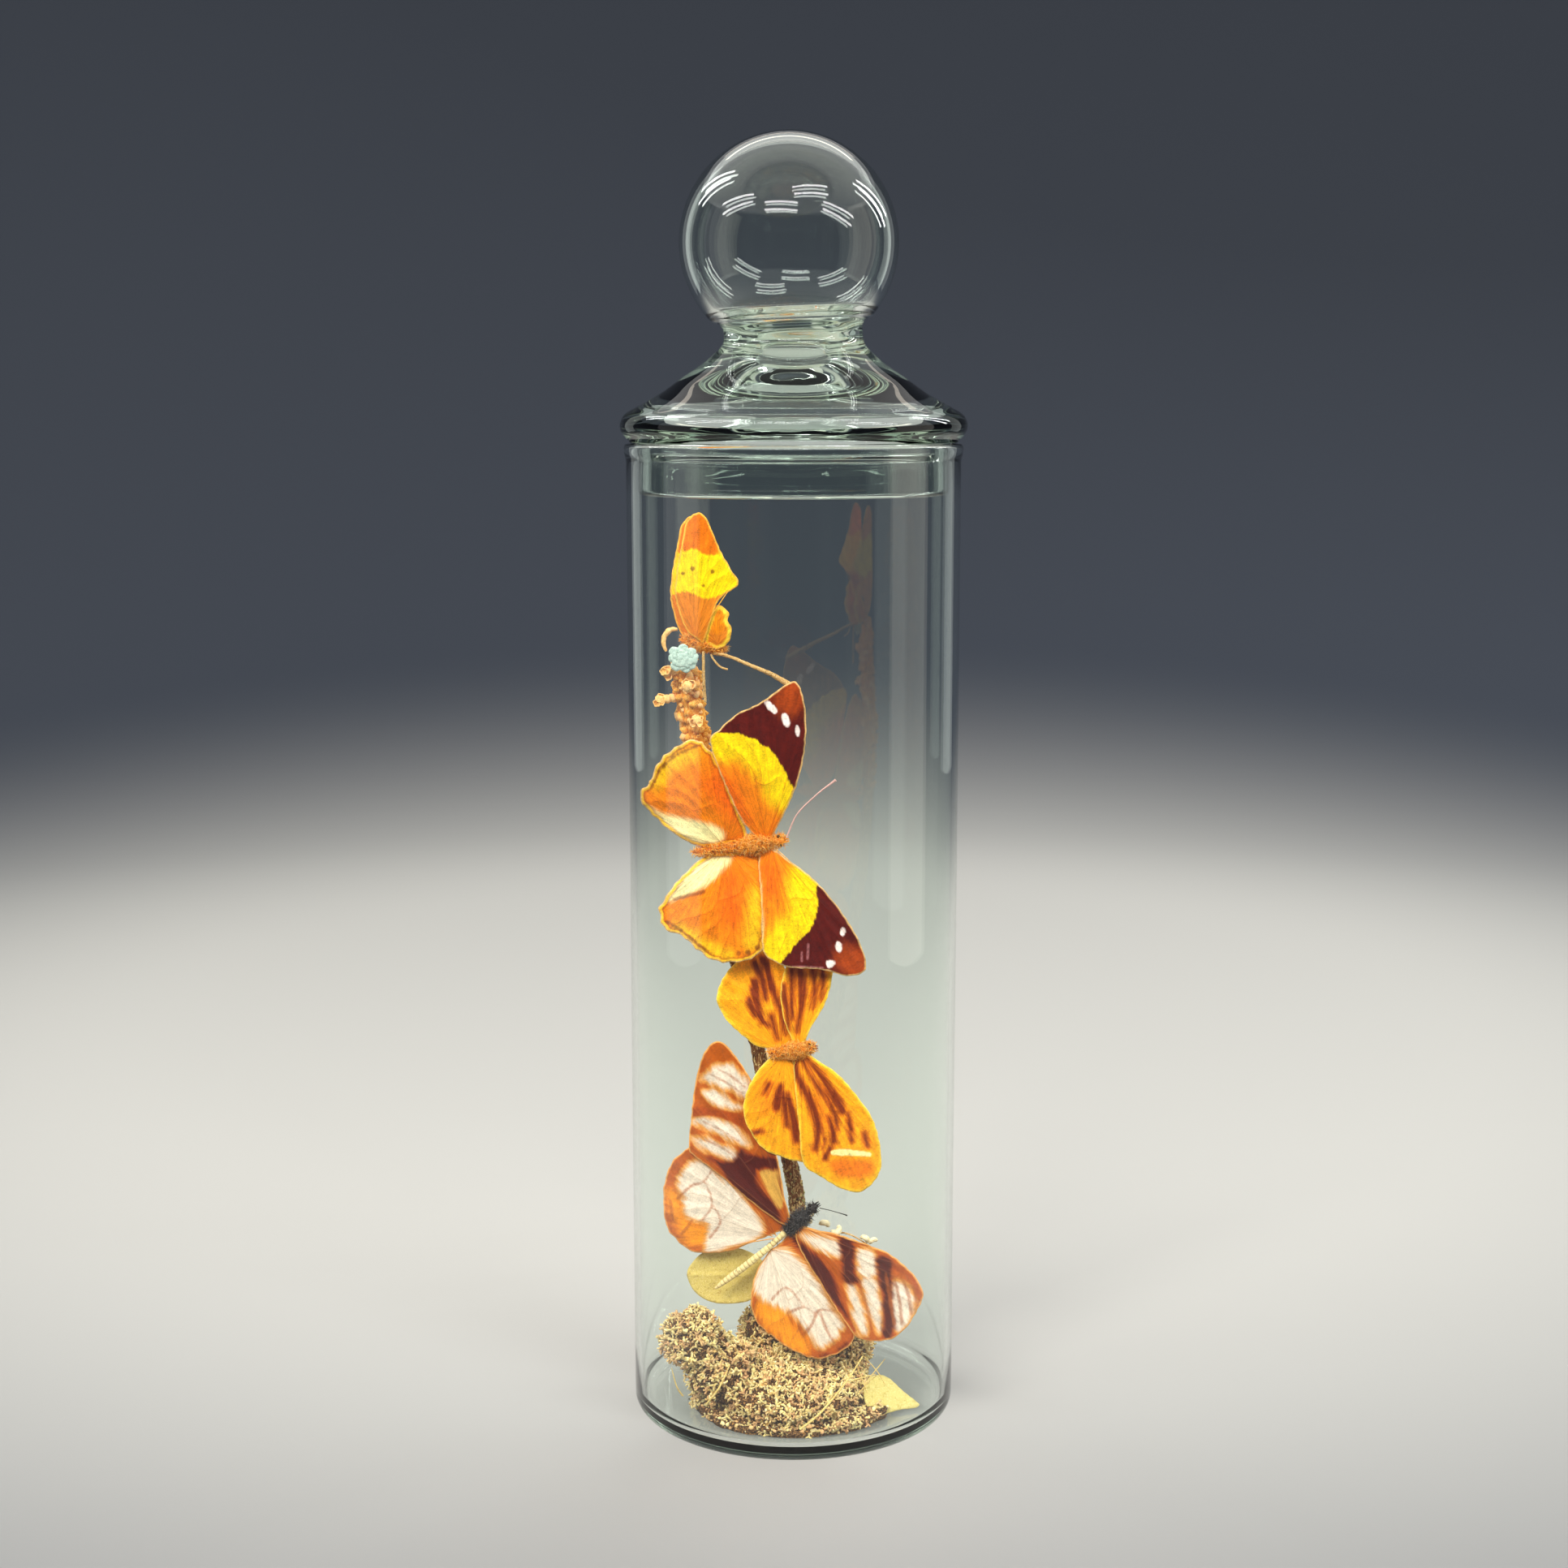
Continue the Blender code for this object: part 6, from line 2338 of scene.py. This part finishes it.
WINDOW_WINGS = (
    Wing(
        "left_forewing",
        ((-1.1, 2.9), (2.7, 9.0), (6.9, 15.4), (13.9, 27.6), (17.2, 36.5), (19.3, 44.0), (20.2, 53.3),
         (19.3, 57.6), (15.6, 58.5), (10.9, 56.9), (3.8, 52.1), (-4.0, 45.1), (-10.1, 39.3), (-10.4, 35.9),
         (-8.3, 26.0), (-6.7, 14.5), (-4.2, 3.3)),
        1, -12.0, 0.4,
        {
            "pane": (
                Patch(((7.5, 52.7), (12.9, 52.7), (16.8, 50.1), (18.3, 44.9), (17.1, 40.7), (13.5, 38.6),
                       (11.8, 43.6), (8.6, 49.0))),
                Patch(((4.4, 49.3), (8.3, 46.7), (10.1, 40.8), (11.2, 37.2), (7.8, 39.3), (5.2, 44.3))),
                Patch(((-3.6, 45.0), (1.0, 42.7), (4.7, 36.9), (5.6, 30.0), (4.3, 26.7), (1.7, 31.6),
                       (-1.6, 38.9))),
                Patch(((-6.5, 41.4), (-3.4, 36.9), (-0.1, 30.6), (0.6, 25.6), (-2.5, 27.1), (-5.5, 32.7),
                       (-7.7, 38.1))),
            ),
            "cell": (Patch(((2.0, 19.2), (7.4, 14.5), (0.8, 7.3), (-2.0, 7.1), (-0.1, 14.1))),),
            "dark": (
                Patch(((2.3, 28.5), (3.5, 24.8), (9.1, 18.2), (7.4, 15.4), (1.7, 19.9), (-1.2, 16.8),
                       (-1.6, 8.5),
                       (-3.2, 3.9), (-6.0, 3.7), (-8.2, 9.1), (-7.6, 21.5), (-7.1, 28.9), (-6.9, 33.1),
                       (-3.2, 27.3))),
                Stripe(((2.7, 9.0), (6.9, 15.4), (13.9, 27.6)), 0.4, 0.5),
            ),
            "bar": (
                Patch(((-1.2, 48.1), (3.1, 43.9), (6.9, 39.3), (9.0, 35.7), (7.3, 32.8), (5.1, 37.3),
                       (1.5, 42.2),
                       (-3.0, 46.2))),
            ),
            "line": (
                Stripe(((10.2, 52.0), (12.6, 46.0), (14.0, 40.6)), 0.12, 0.16),
                Stripe(((13.2, 51.4), (15.2, 46.0), (15.9, 41.6)), 0.12, 0.16),
                Stripe(((-1.2, 42.4), (1.6, 36.0), (3.2, 30.4)), 0.1, 0.14),
                Stripe(((-4.9, 38.6), (-2.4, 33.0), (-1.0, 28.4)), 0.1, 0.14),
            ),
        },
    ),
    Wing(
        "left_hindwing",
        ((-4.1, 2.3), (-3.5, 12.6), (-3.6, 23.7), (-5.3, 33.3), (-8.6, 38.5), (-11.6, 39.8), (-18.5, 39.5),
         (-25.9, 34.8), (-31.9, 26.9), (-32.6, 21.1), (-31.0, 14.4), (-22.3, 7.2), (-13.4, 4.4),
         (-7.4, 2.6)),
        1, -12.0, -0.4,
        {
            "pane": (
                Patch(((-21.1, 33.3), (-16.1, 35.9), (-10.8, 34.8), (-9.1, 30.7), (-8.3, 24.7),
                       (-7.4, 18.8),
                       (-8.0, 12.3), (-9.0, 6.3), (-12.2, 4.2), (-19.2, 6.9), (-28.5, 11.9), (-22.0, 17.6),
                       (-25.2, 23.9), (-22.3, 29.1))),
            ),
            "border": (
                Patch(((-25.5, 34.5), (-30.5, 25.0), (-30.9, 16.7), (-25.4, 11.9), (-21.9, 16.7),
                       (-24.2, 22.1),
                       (-23.2, 28.2), (-22.1, 33.3))),
            ),
            "line": (
                Stripe(((-8.9, 29.5), (-14.0, 28.6), (-18.0, 30.2), (-23.5, 30.0)), 0.2, 0.35),
                Stripe(((-13.6, 28.6), (-15.0, 24.0), (-17.4, 21.0), (-22.0, 20.0)), 0.15, 0.3),
                Stripe(((-16.4, 22.0), (-18.0, 16.0), (-24.0, 14.4)), 0.12, 0.3),
                Stripe(((-26.0, 31.0), (-29.4, 26.0)), 0.3, 0.3),
                Stripe(((-24.6, 22.0), (-30.0, 21.0)), 0.3, 0.35),
            ),
            "dark": (Stripe(((-3.9, 6.0), (-4.0, 16.0), (-4.4, 25.0), (-6.0, 32.0)), 0.5, 0.3),),
        },
        hind=True, scallop=0.25,
    ),
    Wing(
        "right_forewing",
        ((-1.6, 2.4), (0.1, 3.0), (5.7, 9.1), (10.8, 17.0), (15.5, 26.2), (16.6, 35.2), (15.1, 41.0),
         (11.0, 43.6), (3.4, 45.8), (-2.8, 44.8), (-8.9, 39.1), (-8.8, 31.7), (-7.1, 20.3), (-4.7, 6.1)),
        -1, 18.0, 0.4,
        {
            "pane": (
                Patch(((-1.7, 3.4), (2.9, 8.2), (6.1, 13.5), (3.7, 17.2), (0.5, 12.8), (-1.8, 7.5))),
                Patch(((8.5, 18.8), (12.5, 22.2), (7.9, 28.3), (3.9, 24.9))),
                Patch(((-0.7, 23.6), (0.8, 27.3), (-4.3, 38.0), (-6.5, 39.5), (-7.7, 36.8))),
                Patch(((3.9, 25.8), (6.6, 29.7), (0.9, 39.0), (-3.5, 42.0), (-2.1, 36.5))),
                Patch(((11.0, 32.6), (12.9, 39.2), (7.4, 44.5), (1.4, 45.3), (2.4, 40.3))),
            ),
            "dark": (
                Patch(((7.0, 12.5), (9.2, 16.0), (3.7, 23.1), (2.6, 26.3), (-0.9, 23.4), (2.8, 18.2))),
                Patch(((11.3, 24.5), (14.3, 27.9), (7.1, 36.0), (0.8, 44.0), (-2.9, 43.3), (5.1, 34.3))),
                Patch(((-4.6, 2.6), (-2.6, 8.9), (-2.2, 17.1), (-5.2, 27.3), (-8.8, 35.1), (-8.7, 31.0),
                       (-8.3, 19.7), (-7.0, 7.3))),
            ),
            "bar": (
                Stripe(((-6.4, 8.0), (-7.4, 18.0), (-8.2, 28.0), (-8.4, 36.0)), 0.5, 0.7),
                Stripe(((13.8, 30.0), (15.4, 36.0), (13.6, 41.0)), 0.5, 0.5),
            ),
            "line": (
                Stripe(((12.2, 30.6), (9.0, 37.0), (4.0, 44.0)), 0.3, 0.4),
                Stripe(((13.6, 33.0), (11.4, 38.6), (8.0, 43.6)), 0.3, 0.4),
                Stripe(((10.6, 29.6), (6.4, 36.0), (2.2, 42.6)), 0.3, 0.4),
                Stripe(((14.8, 33.0), (14.0, 38.0), (11.6, 42.0)), 0.25, 0.3),
                Stripe(((2.6, 26.5), (-2.0, 36.0), (-5.2, 40.6)), 0.3, 0.35),
            ),
        },
    ),
    Wing(
        "right_hindwing",
        ((-8.5, 2.3), (-14.5, 2.2), (-22.7, 4.7), (-28.3, 9.7), (-30.3, 15.2), (-29.4, 21.4), (-27.7, 28.0),
         (-24.0, 34.7), (-18.6, 37.8), (-11.8, 38.7), (-7.5, 34.6), (-4.2, 24.5), (-2.7, 11.2),
         (-3.8, 2.8)),
        -1, 18.0, -0.4,
        {
            "pane": (
                Patch(((-13.7, 0.8), (-8.8, 3.3), (-6.9, 9.1), (-7.0, 18.3), (-8.7, 25.1), (-10.4, 32.9),
                       (-17.2, 34.7), (-20.7, 32.6), (-20.2, 28.0), (-20.0, 19.9), (-24.0, 12.3),
                       (-24.0, 5.6))),
            ),
            "border": (
                Patch(((-26.5, 9.6), (-22.6, 11.8), (-19.4, 15.8), (-21.6, 21.5), (-21.4, 30.5),
                       (-26.8, 32.0),
                       (-29.6, 22.0), (-30.2, 16.0))),
            ),
            "line": (
                Stripe(((-9.4, 27.8), (-13.0, 24.6), (-17.4, 26.4), (-21.5, 27.0)), 0.25, 0.45),
                Stripe(((-14.6, 25.0), (-15.6, 21.0), (-20.6, 19.0)), 0.12, 0.3),
                Stripe(((-13.2, 25.6), (-15.0, 30.4), (-16.0, 35.0)), 0.2, 0.3),
                Stripe(((-15.6, 21.0), (-16.0, 13.0), (-22.0, 12.6)), 0.1, 0.3),
            ),
            "dark": (
                Stripe(((-4.4, 4.0), (-3.8, 12.0), (-5.0, 24.0), (-8.0, 33.0)), 0.9, 0.5),
                Stripe(((-9.0, 37.6), (-16.0, 37.6), (-22.0, 35.6)), 0.2, 0.2),
            ),
        },
        hind=True, scallop=0.25,
    ),
)

YELLOW_FORE_MARKS: Marks = {
    "apex": (
        Patch(((11.4, 25.8), (12.9, 34.1), (9.8, 38.4), (6.0, 37.1), (1.5, 29.8), (0.7, 27.0), (3.8, 25.9),
               (8.3, 27.0))),
    ),
    "band": (
        Patch(((12.4, 13.6), (7.0, 13.9), (3.6, 13.1), (0.9, 13.1), (-2.4, 15.0), (-6.8, 18.6),
               (-8.8, 19.5),
               (-0.3, 28.3), (3.8, 26.9), (8.2, 27.8), (14.5, 26.4))),
    ),
    "spot": (Dot((7.2, 21.0), 0.75), Dot((1.2, 21.4), 0.6), Dot((9.7, 18.9), 0.6), Dot((3.1, 16.7), 0.5)),
}
YELLOW_HIND_MARKS: Marks = {
    "orange": (Patch(((-0.2, 8.0), (-3.2, 11.4), (-5.2, 9.7), (-6.5, 6.2), (-4.0, 2.9), (-1.4, 5.0))),),
}
YELLOW_FORE = (
    (0.7, 1.3), (5.4, 3.3), (9.5, 9.2), (11.2, 14.6), (11.9, 22.5), (12.0, 28.7), (12.1, 33.7), (9.9, 37.4),
    (6.5, 36.7), (0.4, 28.4), (-3.9, 23.6), (-7.3, 19.6), (-3.9, 15.5), (-2.3, 12.6), (-1.6, 6.7),
    (-0.8, 1.1),
)
YELLOW_HIND = (
    (-0.8, 1.0), (-0.9, 7.6), (-2.4, 12.0), (-4.5, 11.5), (-6.6, 10.2), (-6.6, 7.9), (-8.0, 6.2),
    (-8.5, 3.8),
    (-7.7, 1.6), (-5.8, 0.2), (-3.1, 0.2),
)
FAR_SHIFT = (1.6, -1.6)


def shifted(shape: object) -> object:
    """Moves an outline or a mark as the yellow butterfly's far wings lie."""
    step_u, step_v = FAR_SHIFT
    if isinstance(shape, Patch):
        return Patch(tuple((u + step_u, v + step_v) for u, v in shape.outline))
    if isinstance(shape, Stripe):
        return Stripe(tuple((u + step_u, v + step_v) for u, v in shape.path), shape.start, shape.end)
    if isinstance(shape, Dot):
        return Dot((shape.centre[0] + step_u, shape.centre[1] + step_v), shape.radius)
    return tuple((u + step_u, v + step_v) for u, v in shape)


def far_marks(marks: Marks) -> Marks:
    """Moves every mark as the far wings lie."""
    return {name: tuple(shifted(shape) for shape in shapes) for name, shapes in marks.items()}


YELLOW_WINGS = (
    Wing("left_forewing", YELLOW_FORE, -1, 3.0, 1.2, YELLOW_FORE_MARKS, spacing=0.5),
    Wing("left_hindwing", YELLOW_HIND, -1, 3.0, 0.4, YELLOW_HIND_MARKS, hind=True, scallop=0.3, spacing=0.45),
    Wing("right_hindwing", shifted(YELLOW_HIND), -1, -1.0, -3.2, far_marks(YELLOW_HIND_MARKS), hind=True,
         scallop=0.3, spacing=0.45),
    Wing("right_forewing", shifted(YELLOW_FORE), -1, -1.0, -4.0, far_marks(YELLOW_FORE_MARKS), spacing=0.5),
)

BUTTERFLIES = (
    Butterfly(
        "golden_butterfly", (-12.6, 1.0, 178.5), 7.9, GOLDEN_WINGS,
        ((-18.5, 0.0, -0.4, 0.4), (-16.0, 0.0, -0.2, 1.0), (-11.0, 0.0, 0.0, 1.4), (-6.0, 0.0, 0.1, 1.4),
         (-3.6, 0.0, 0.1, 1.4), (-1.5, 0.0, 0.2, 2.1), (2.0, 0.0, 0.2, 2.2), (5.0, 0.0, 0.1, 1.7),
         (6.4, 0.0, 0.0, 1.2), (8.3, 0.0, 0.0, 1.5), (9.9, 0.0, 0.0, 0.9)),
        Slot.GOLDEN, 1.6, 0.0, (-3.6, 6.2),
    ),
    Butterfly(
        "striped_butterfly", (0.4, -3.0, 114.7), 8.4, STRIPED_WINGS,
        ((-8.0, 0.0, 0.0, 0.6), (-5.5, 0.0, 0.1, 1.2), (-2.6, 0.0, 0.2, 1.3), (-1.2, 0.0, 0.3, 1.7),
         (1.6, 0.0, 0.3, 1.8), (3.2, 0.0, 0.1, 1.2), (4.6, 0.0, 0.0, 1.3), (5.8, 0.0, 0.0, 0.7)),
        Slot.STRIPED, 1.4, 0.0, (-2.4, 3.0), "rust_chitin", 0.4,
    ),
    Butterfly(
        "window_butterfly", (1.4, -10.0, 62.0), 43.2, WINDOW_WINGS,
        ((-33.5, 1.6, 0.0, 0.35), (-30.0, 1.4, 0.3, 0.9), (-24.0, 0.9, 0.6, 1.1), (-16.0, 0.3, 0.6, 1.1),
         (-9.0, 0.0, 0.2, 0.9), (-5.0, 0.0, 0.0, 1.2), (-2.0, 0.0, 0.0, 1.9), (1.8, 0.0, 0.0, 2.0),
         (4.2, 0.0, 0.0, 1.1), (6.0, 0.0, 0.0, 1.5), (7.6, 0.0, 0.0, 0.9)),
        Slot.WINDOW, 1.2, 0.0, (-5.0, 4.0), "black_chitin", 0.02,
    ),
    Butterfly(
        "yellow_butterfly", (-28.0, 2.0, 241.1), 167.2, YELLOW_WINGS,
        ((-7.5, 1.0, 0.0, 0.4), (-5.0, 1.2, 0.0, 0.9), (-2.5, 1.2, 0.0, 0.9), (-1.2, 1.1, 0.0, 1.1),
         (1.4, 1.1, 0.0, 1.2), (2.8, 0.9, 0.0, 0.8), (4.2, 0.8, 0.0, 1.0), (5.4, 0.6, 0.0, 0.6)),
        Slot.YELLOW, 0.3, -1.4, (-2.0, 2.6),
    ),
)


DENSE_FUR = 4200  # hairs on a body
SPARSE_FUR = 1500


@dataclass
class Swarm:
    """The four butterflies, with the two feelers that are left."""

    golden_feeler: Route = (
        (-2.0, -1.2, 181.2, 0.28), (1.1, -2.0, 188.4, 0.24), (7.0, -3.0, 194.6, 0.24),
        (11.4, -3.8, 198.2, 0.32),
        (12.8, -4.1, 199.3, 0.48),
    )
    window_feeler: Route = (
        (8.2, -11.0, 66.6, 0.15), (11.4, -12.0, 66.2, 0.12), (15.2, -13.0, 65.4, 0.15),
        (16.6, -13.2, 65.0, 0.25),
    )

    @staticmethod
    def hairs() -> list[bpy.types.Mesh]:
        """Makes a few thin curved hairs for the bodies' fur."""
        made = []
        for kind in range(4):
            form = Form()
            lean = 0.16 + 0.1 * kind
            path = np.array([(0.0, 0.0, -0.1), (lean * 0.7, 0.0, 0.6), (lean * 3.6, 0.1, 1.15)])
            form.join(*tube(path, np.array((0.11, 0.085, 0.03)), 3), shade=0.8)
            made.append(form.mesh(f"hair_{kind}"))
        return made

    def build_one(self, insect: Butterfly, tools: Tools, materials: Materials, hairs: list) -> None:
        """Builds one butterfly.

        Args:
            insect: The butterfly.
            tools: The Geometry Nodes trees.
            materials: The materials.
            hairs: The hairs that are scattered over its body.
        """
        wing_material = materials[insect.wing_slot.value.split("_")[0]]
        dark = insect.skin == "black_chitin"
        for wing in insect.wings:
            node = f"{insect.name}_{wing.name}"
            membrane = insect.dress_wing(wing, wing_material)
            settle(membrane, insect.wing_slot, node)
            veins = tools.threader.draw(f"{node}_veins", insect.vein_routes(wing), 4, wing_material)
            self.dress_veins(veins, membrane)
            settle(veins, insect.wing_slot, node)
        chitin = materials[insect.skin]
        body = insect.body_form().piece(f"{insect.name}_skin", chitin)
        settle(body, Slot.INSECT, f"{insect.name}_body")
        fur = tools.scatterer.scatter(
            f"{insect.name}_fur", body.data.copy(), hairs, SPARSE_FUR if dark else DENSE_FUR,
            materials["black_fur"] if dark else materials["tan_fur"],
            Seed=3, Smallest=0.7, Largest=1.25, Lean=0.5,
        )
        settle(fur, Slot.INSECT)
        legs = tools.threader.draw(f"{insect.name}_legs", insect.leg_routes(), 6, chitin)
        settle(legs, Slot.INSECT)

    @staticmethod
    def dress_veins(veins: bpy.types.Object, membrane: bpy.types.Object) -> None:
        """Copies the membrane's marks to the veins, so that each vein takes the colour it crosses."""
        source = membrane.data
        count = len(source.vertices) // 2
        places = np.empty(len(source.vertices) * 3)
        source.vertices.foreach_get("co", places)
        places = places.reshape(-1, 3)[:count]
        tree_spots = np.empty(len(veins.data.vertices) * 3)
        veins.data.vertices.foreach_get("co", tree_spots)
        tree_spots = tree_spots.reshape(-1, 3)
        nearest = nearest_rows(tree_spots, places)
        for attribute in source.attributes:
            if attribute.domain != "POINT" or attribute.name.startswith(".") or attribute.name == "position":
                continue
            if attribute.data_type == "FLOAT":
                values = np.empty(len(source.vertices))
                attribute.data.foreach_get("value", values)
                made = veins.data.attributes.new(attribute.name, "FLOAT", "POINT")
                made.data.foreach_set("value", values[nearest])
            elif attribute.data_type == "FLOAT_VECTOR":
                values = np.empty(len(source.vertices) * 3)
                attribute.data.foreach_get("vector", values)
                made = veins.data.attributes.new(attribute.name, "FLOAT_VECTOR", "POINT")
                made.data.foreach_set("vector", values.reshape(-1, 3)[nearest].ravel())

    def build(self, tools: Tools, materials: Materials) -> None:
        """Builds every butterfly and feeler."""
        hairs = self.hairs()
        for insect in BUTTERFLIES:
            self.build_one(insect, tools, materials, hairs)
        for name, route, material in (
            ("golden_butterfly_antenna", self.golden_feeler, materials["plum_chitin"]),
            ("window_butterfly_antenna", self.window_feeler, materials["black_chitin"]),
        ):
            path = catmull(np.array(route), 0.5, False)
            feeler = tools.threader.draw(name + "_thread", [path], 8, material)
            settle(feeler, Slot.INSECT, name)


def nearest_rows(spots: np.ndarray, places: np.ndarray) -> np.ndarray:
    """Finds, for each spot, which place lies nearest."""
    found = np.empty(len(spots), int)
    block = 400
    for start in range(0, len(spots), block):
        part = spots[start : start + block]
        gap = ((part[:, None, :] - places[None]) ** 2).sum(axis=2)
        found[start : start + block] = gap.argmin(axis=1)
    return found


# The studio.


@dataclass(frozen=True)
class Lamp:
    """An area light. Lengths are in metres."""

    name: str
    place: tuple[float, float, float]
    size: tuple[float, float]
    power: float
    aim: tuple[float, float, float] = (0.0, 0.0, 0.2)
    colour: tuple[float, float, float] = (1.0, 1.0, 1.0)
    mirrored: bool = True  # whether glass shows it
    roll: float = 0.0  # degrees about the way it faces


@dataclass
class Studio:
    """The pale sweep, the lights and the camera. Lengths are in metres."""

    flat_radius: float = 1.0
    wall_radius: float = 2.0
    wall_height: float = 1.35
    camera_place: tuple = (0.0, -0.73463445, 0.31348929)
    camera_pitch: float = 8.9835
    camera_yaw: float = 0.22518
    lens: float = 55.945
    world_grey: float = 0.52
    lamps: tuple = (
        Lamp("key", (-0.75, -1.0, 1.3), (0.7, 0.7), 28.0, colour=(1.0, 0.96, 0.9), mirrored=False),
        Lamp("fill", (1.0, -1.0, 0.9), (0.8, 0.8), 9.0, colour=(0.95, 0.98, 1.0), mirrored=False),
        Lamp("rim", (0.5, 1.1, 1.2), (0.8, 0.6), 8.0, mirrored=False),
        Lamp("left_panel", (-0.62, -0.1, 0.36), (0.34, 0.7), 0.28, aim=(0.0, 0.0, 0.36)),
        Lamp("right_panel", (0.62, -0.06, 0.36), (0.36, 0.7), 0.55, (0.0, 0.0, 0.36), (1.0, 0.95, 0.85)),
        Lamp("left_back_panel", (-0.8, 0.85, 0.5), (0.35, 1.3), 0.6, (0.0, 0.0, 0.4), (0.93, 1.0, 0.95)),
        Lamp("right_back_panel", (0.85, 0.8, 0.5), (0.35, 1.3), 0.6, (0.0, 0.0, 0.4), (0.93, 1.0, 0.95)),
        Lamp("back_panel", (0.0, 1.6, 1.5), (1.6, 0.1), 0.7, colour=(1.0, 0.9, 0.75)),
    )
    strip_size: tuple = (0.8, 0.055)
    strip_power: float = 2.1
    strip_gap: float = 0.2
    strips: tuple = (
        ((0.46, -0.76, 1.44), -8.0), ((-0.18, -1.14, 1.15), 0.0), ((-1.04, -0.52, 1.14), 28.0),
        ((-1.0, 0.5, 1.21), 55.0), ((1.05, -0.7, 0.96), -32.0), ((1.13, 0.56, 0.98), -60.0),
    )

    def build_sweep(self, tools: Tools, materials: Materials) -> None:
        """Builds the floor and its round backdrop."""
        curve = self.wall_radius - self.flat_radius
        profile = [(0.0, 0.0), (self.flat_radius / 2, 0.0)]
        profile += arc((self.flat_radius, curve), (curve, curve), -90, 0, 40)
        profile += [(self.wall_radius, self.wall_height)]
        lowered = [(r / MM, z / MM - 0.15) for r, z in profile]
        sweep = tools.turner.turn("studio_sweep", np.array(lowered), 96, materials["stage"])

    def all_lamps(self) -> list[Lamp]:
        """Lists the lamps, with each pair of overhead strips as two more."""
        lamps = list(self.lamps)
        for number, (place, roll) in enumerate(self.strips, start=1):
            way = (Vector((0.0, 0.0, 0.36)) - Vector(place)).to_track_quat("-Z", "Y")
            turned = way @ Quaternion((0.0, 0.0, 1.0), math.radians(roll))
            for side in (-0.5, 0.5):
                spot = Vector(place) + turned @ Vector((0.0, side * self.strip_gap, 0.0))
                lamps.append(
                    Lamp(f"strip_{number}_{side}", tuple(spot), self.strip_size, self.strip_power,
                         aim=(0.0, 0.0, 0.36), roll=roll)
                )
        return lamps

    def build_lamps(self) -> None:
        """Hangs the lights."""
        for lamp in self.all_lamps():
            data = bpy.data.lights.new(lamp.name, "AREA")
            data.shape = "RECTANGLE"
            data.size, data.size_y = lamp.size
            data.energy = lamp.power
            data.color = lamp.colour
            light = link(bpy.data.objects.new(lamp.name, data))
            light.location = lamp.place
            way = (Vector(lamp.aim) - Vector(lamp.place)).to_track_quat("-Z", "Y")
            light.rotation_euler = (way @ Quaternion((0.0, 0.0, 1.0), math.radians(lamp.roll))).to_euler()
            light.visible_camera = False
            light.visible_glossy = lamp.mirrored
            light.visible_transmission = lamp.mirrored

    def build_world(self) -> None:
        """Fills the room with an even grey."""
        world = bpy.data.worlds.new("studio_air")
        world.use_nodes = True
        world.node_tree.nodes["Background"].inputs["Color"].default_value = (*[self.world_grey] * 3, 1.0)
        bpy.context.scene.world = world
        bpy.context.scene.view_settings.view_transform = "Standard"

    def build_camera(self) -> None:
        """Sets the camera."""
        data = bpy.data.cameras.new("view")
        data.lens = self.lens
        data.clip_start = 0.02
        data.clip_end = 20.0
        camera = link(bpy.data.objects.new("view", data))
        camera.location = self.camera_place
        camera.rotation_euler = (math.radians(90 - self.camera_pitch), 0.0, math.radians(self.camera_yaw))
        bpy.context.scene.camera = camera

    def build(self, tools: Tools, materials: Materials) -> None:
        """Builds the whole studio."""
        self.build_sweep(tools, materials)
        self.build_lamps()
        self.build_world()
        self.build_camera()


def write_sizes() -> None:
    """Brings the view layer up to date."""
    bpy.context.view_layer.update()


def main() -> None:
    """Builds every sub-assembly in order."""
    logging.basicConfig(level=logging.INFO, format="%(message)s")
    tools = Tools()
    materials = make_materials()
    for assembly in (Studio(), Glassware(), Stick(), Ground(), Swarm()):
        assembly.build(tools, materials)
        LOG.info("built %s", type(assembly).__name__)
    write_sizes()


if __name__ == "__main__":
    main()
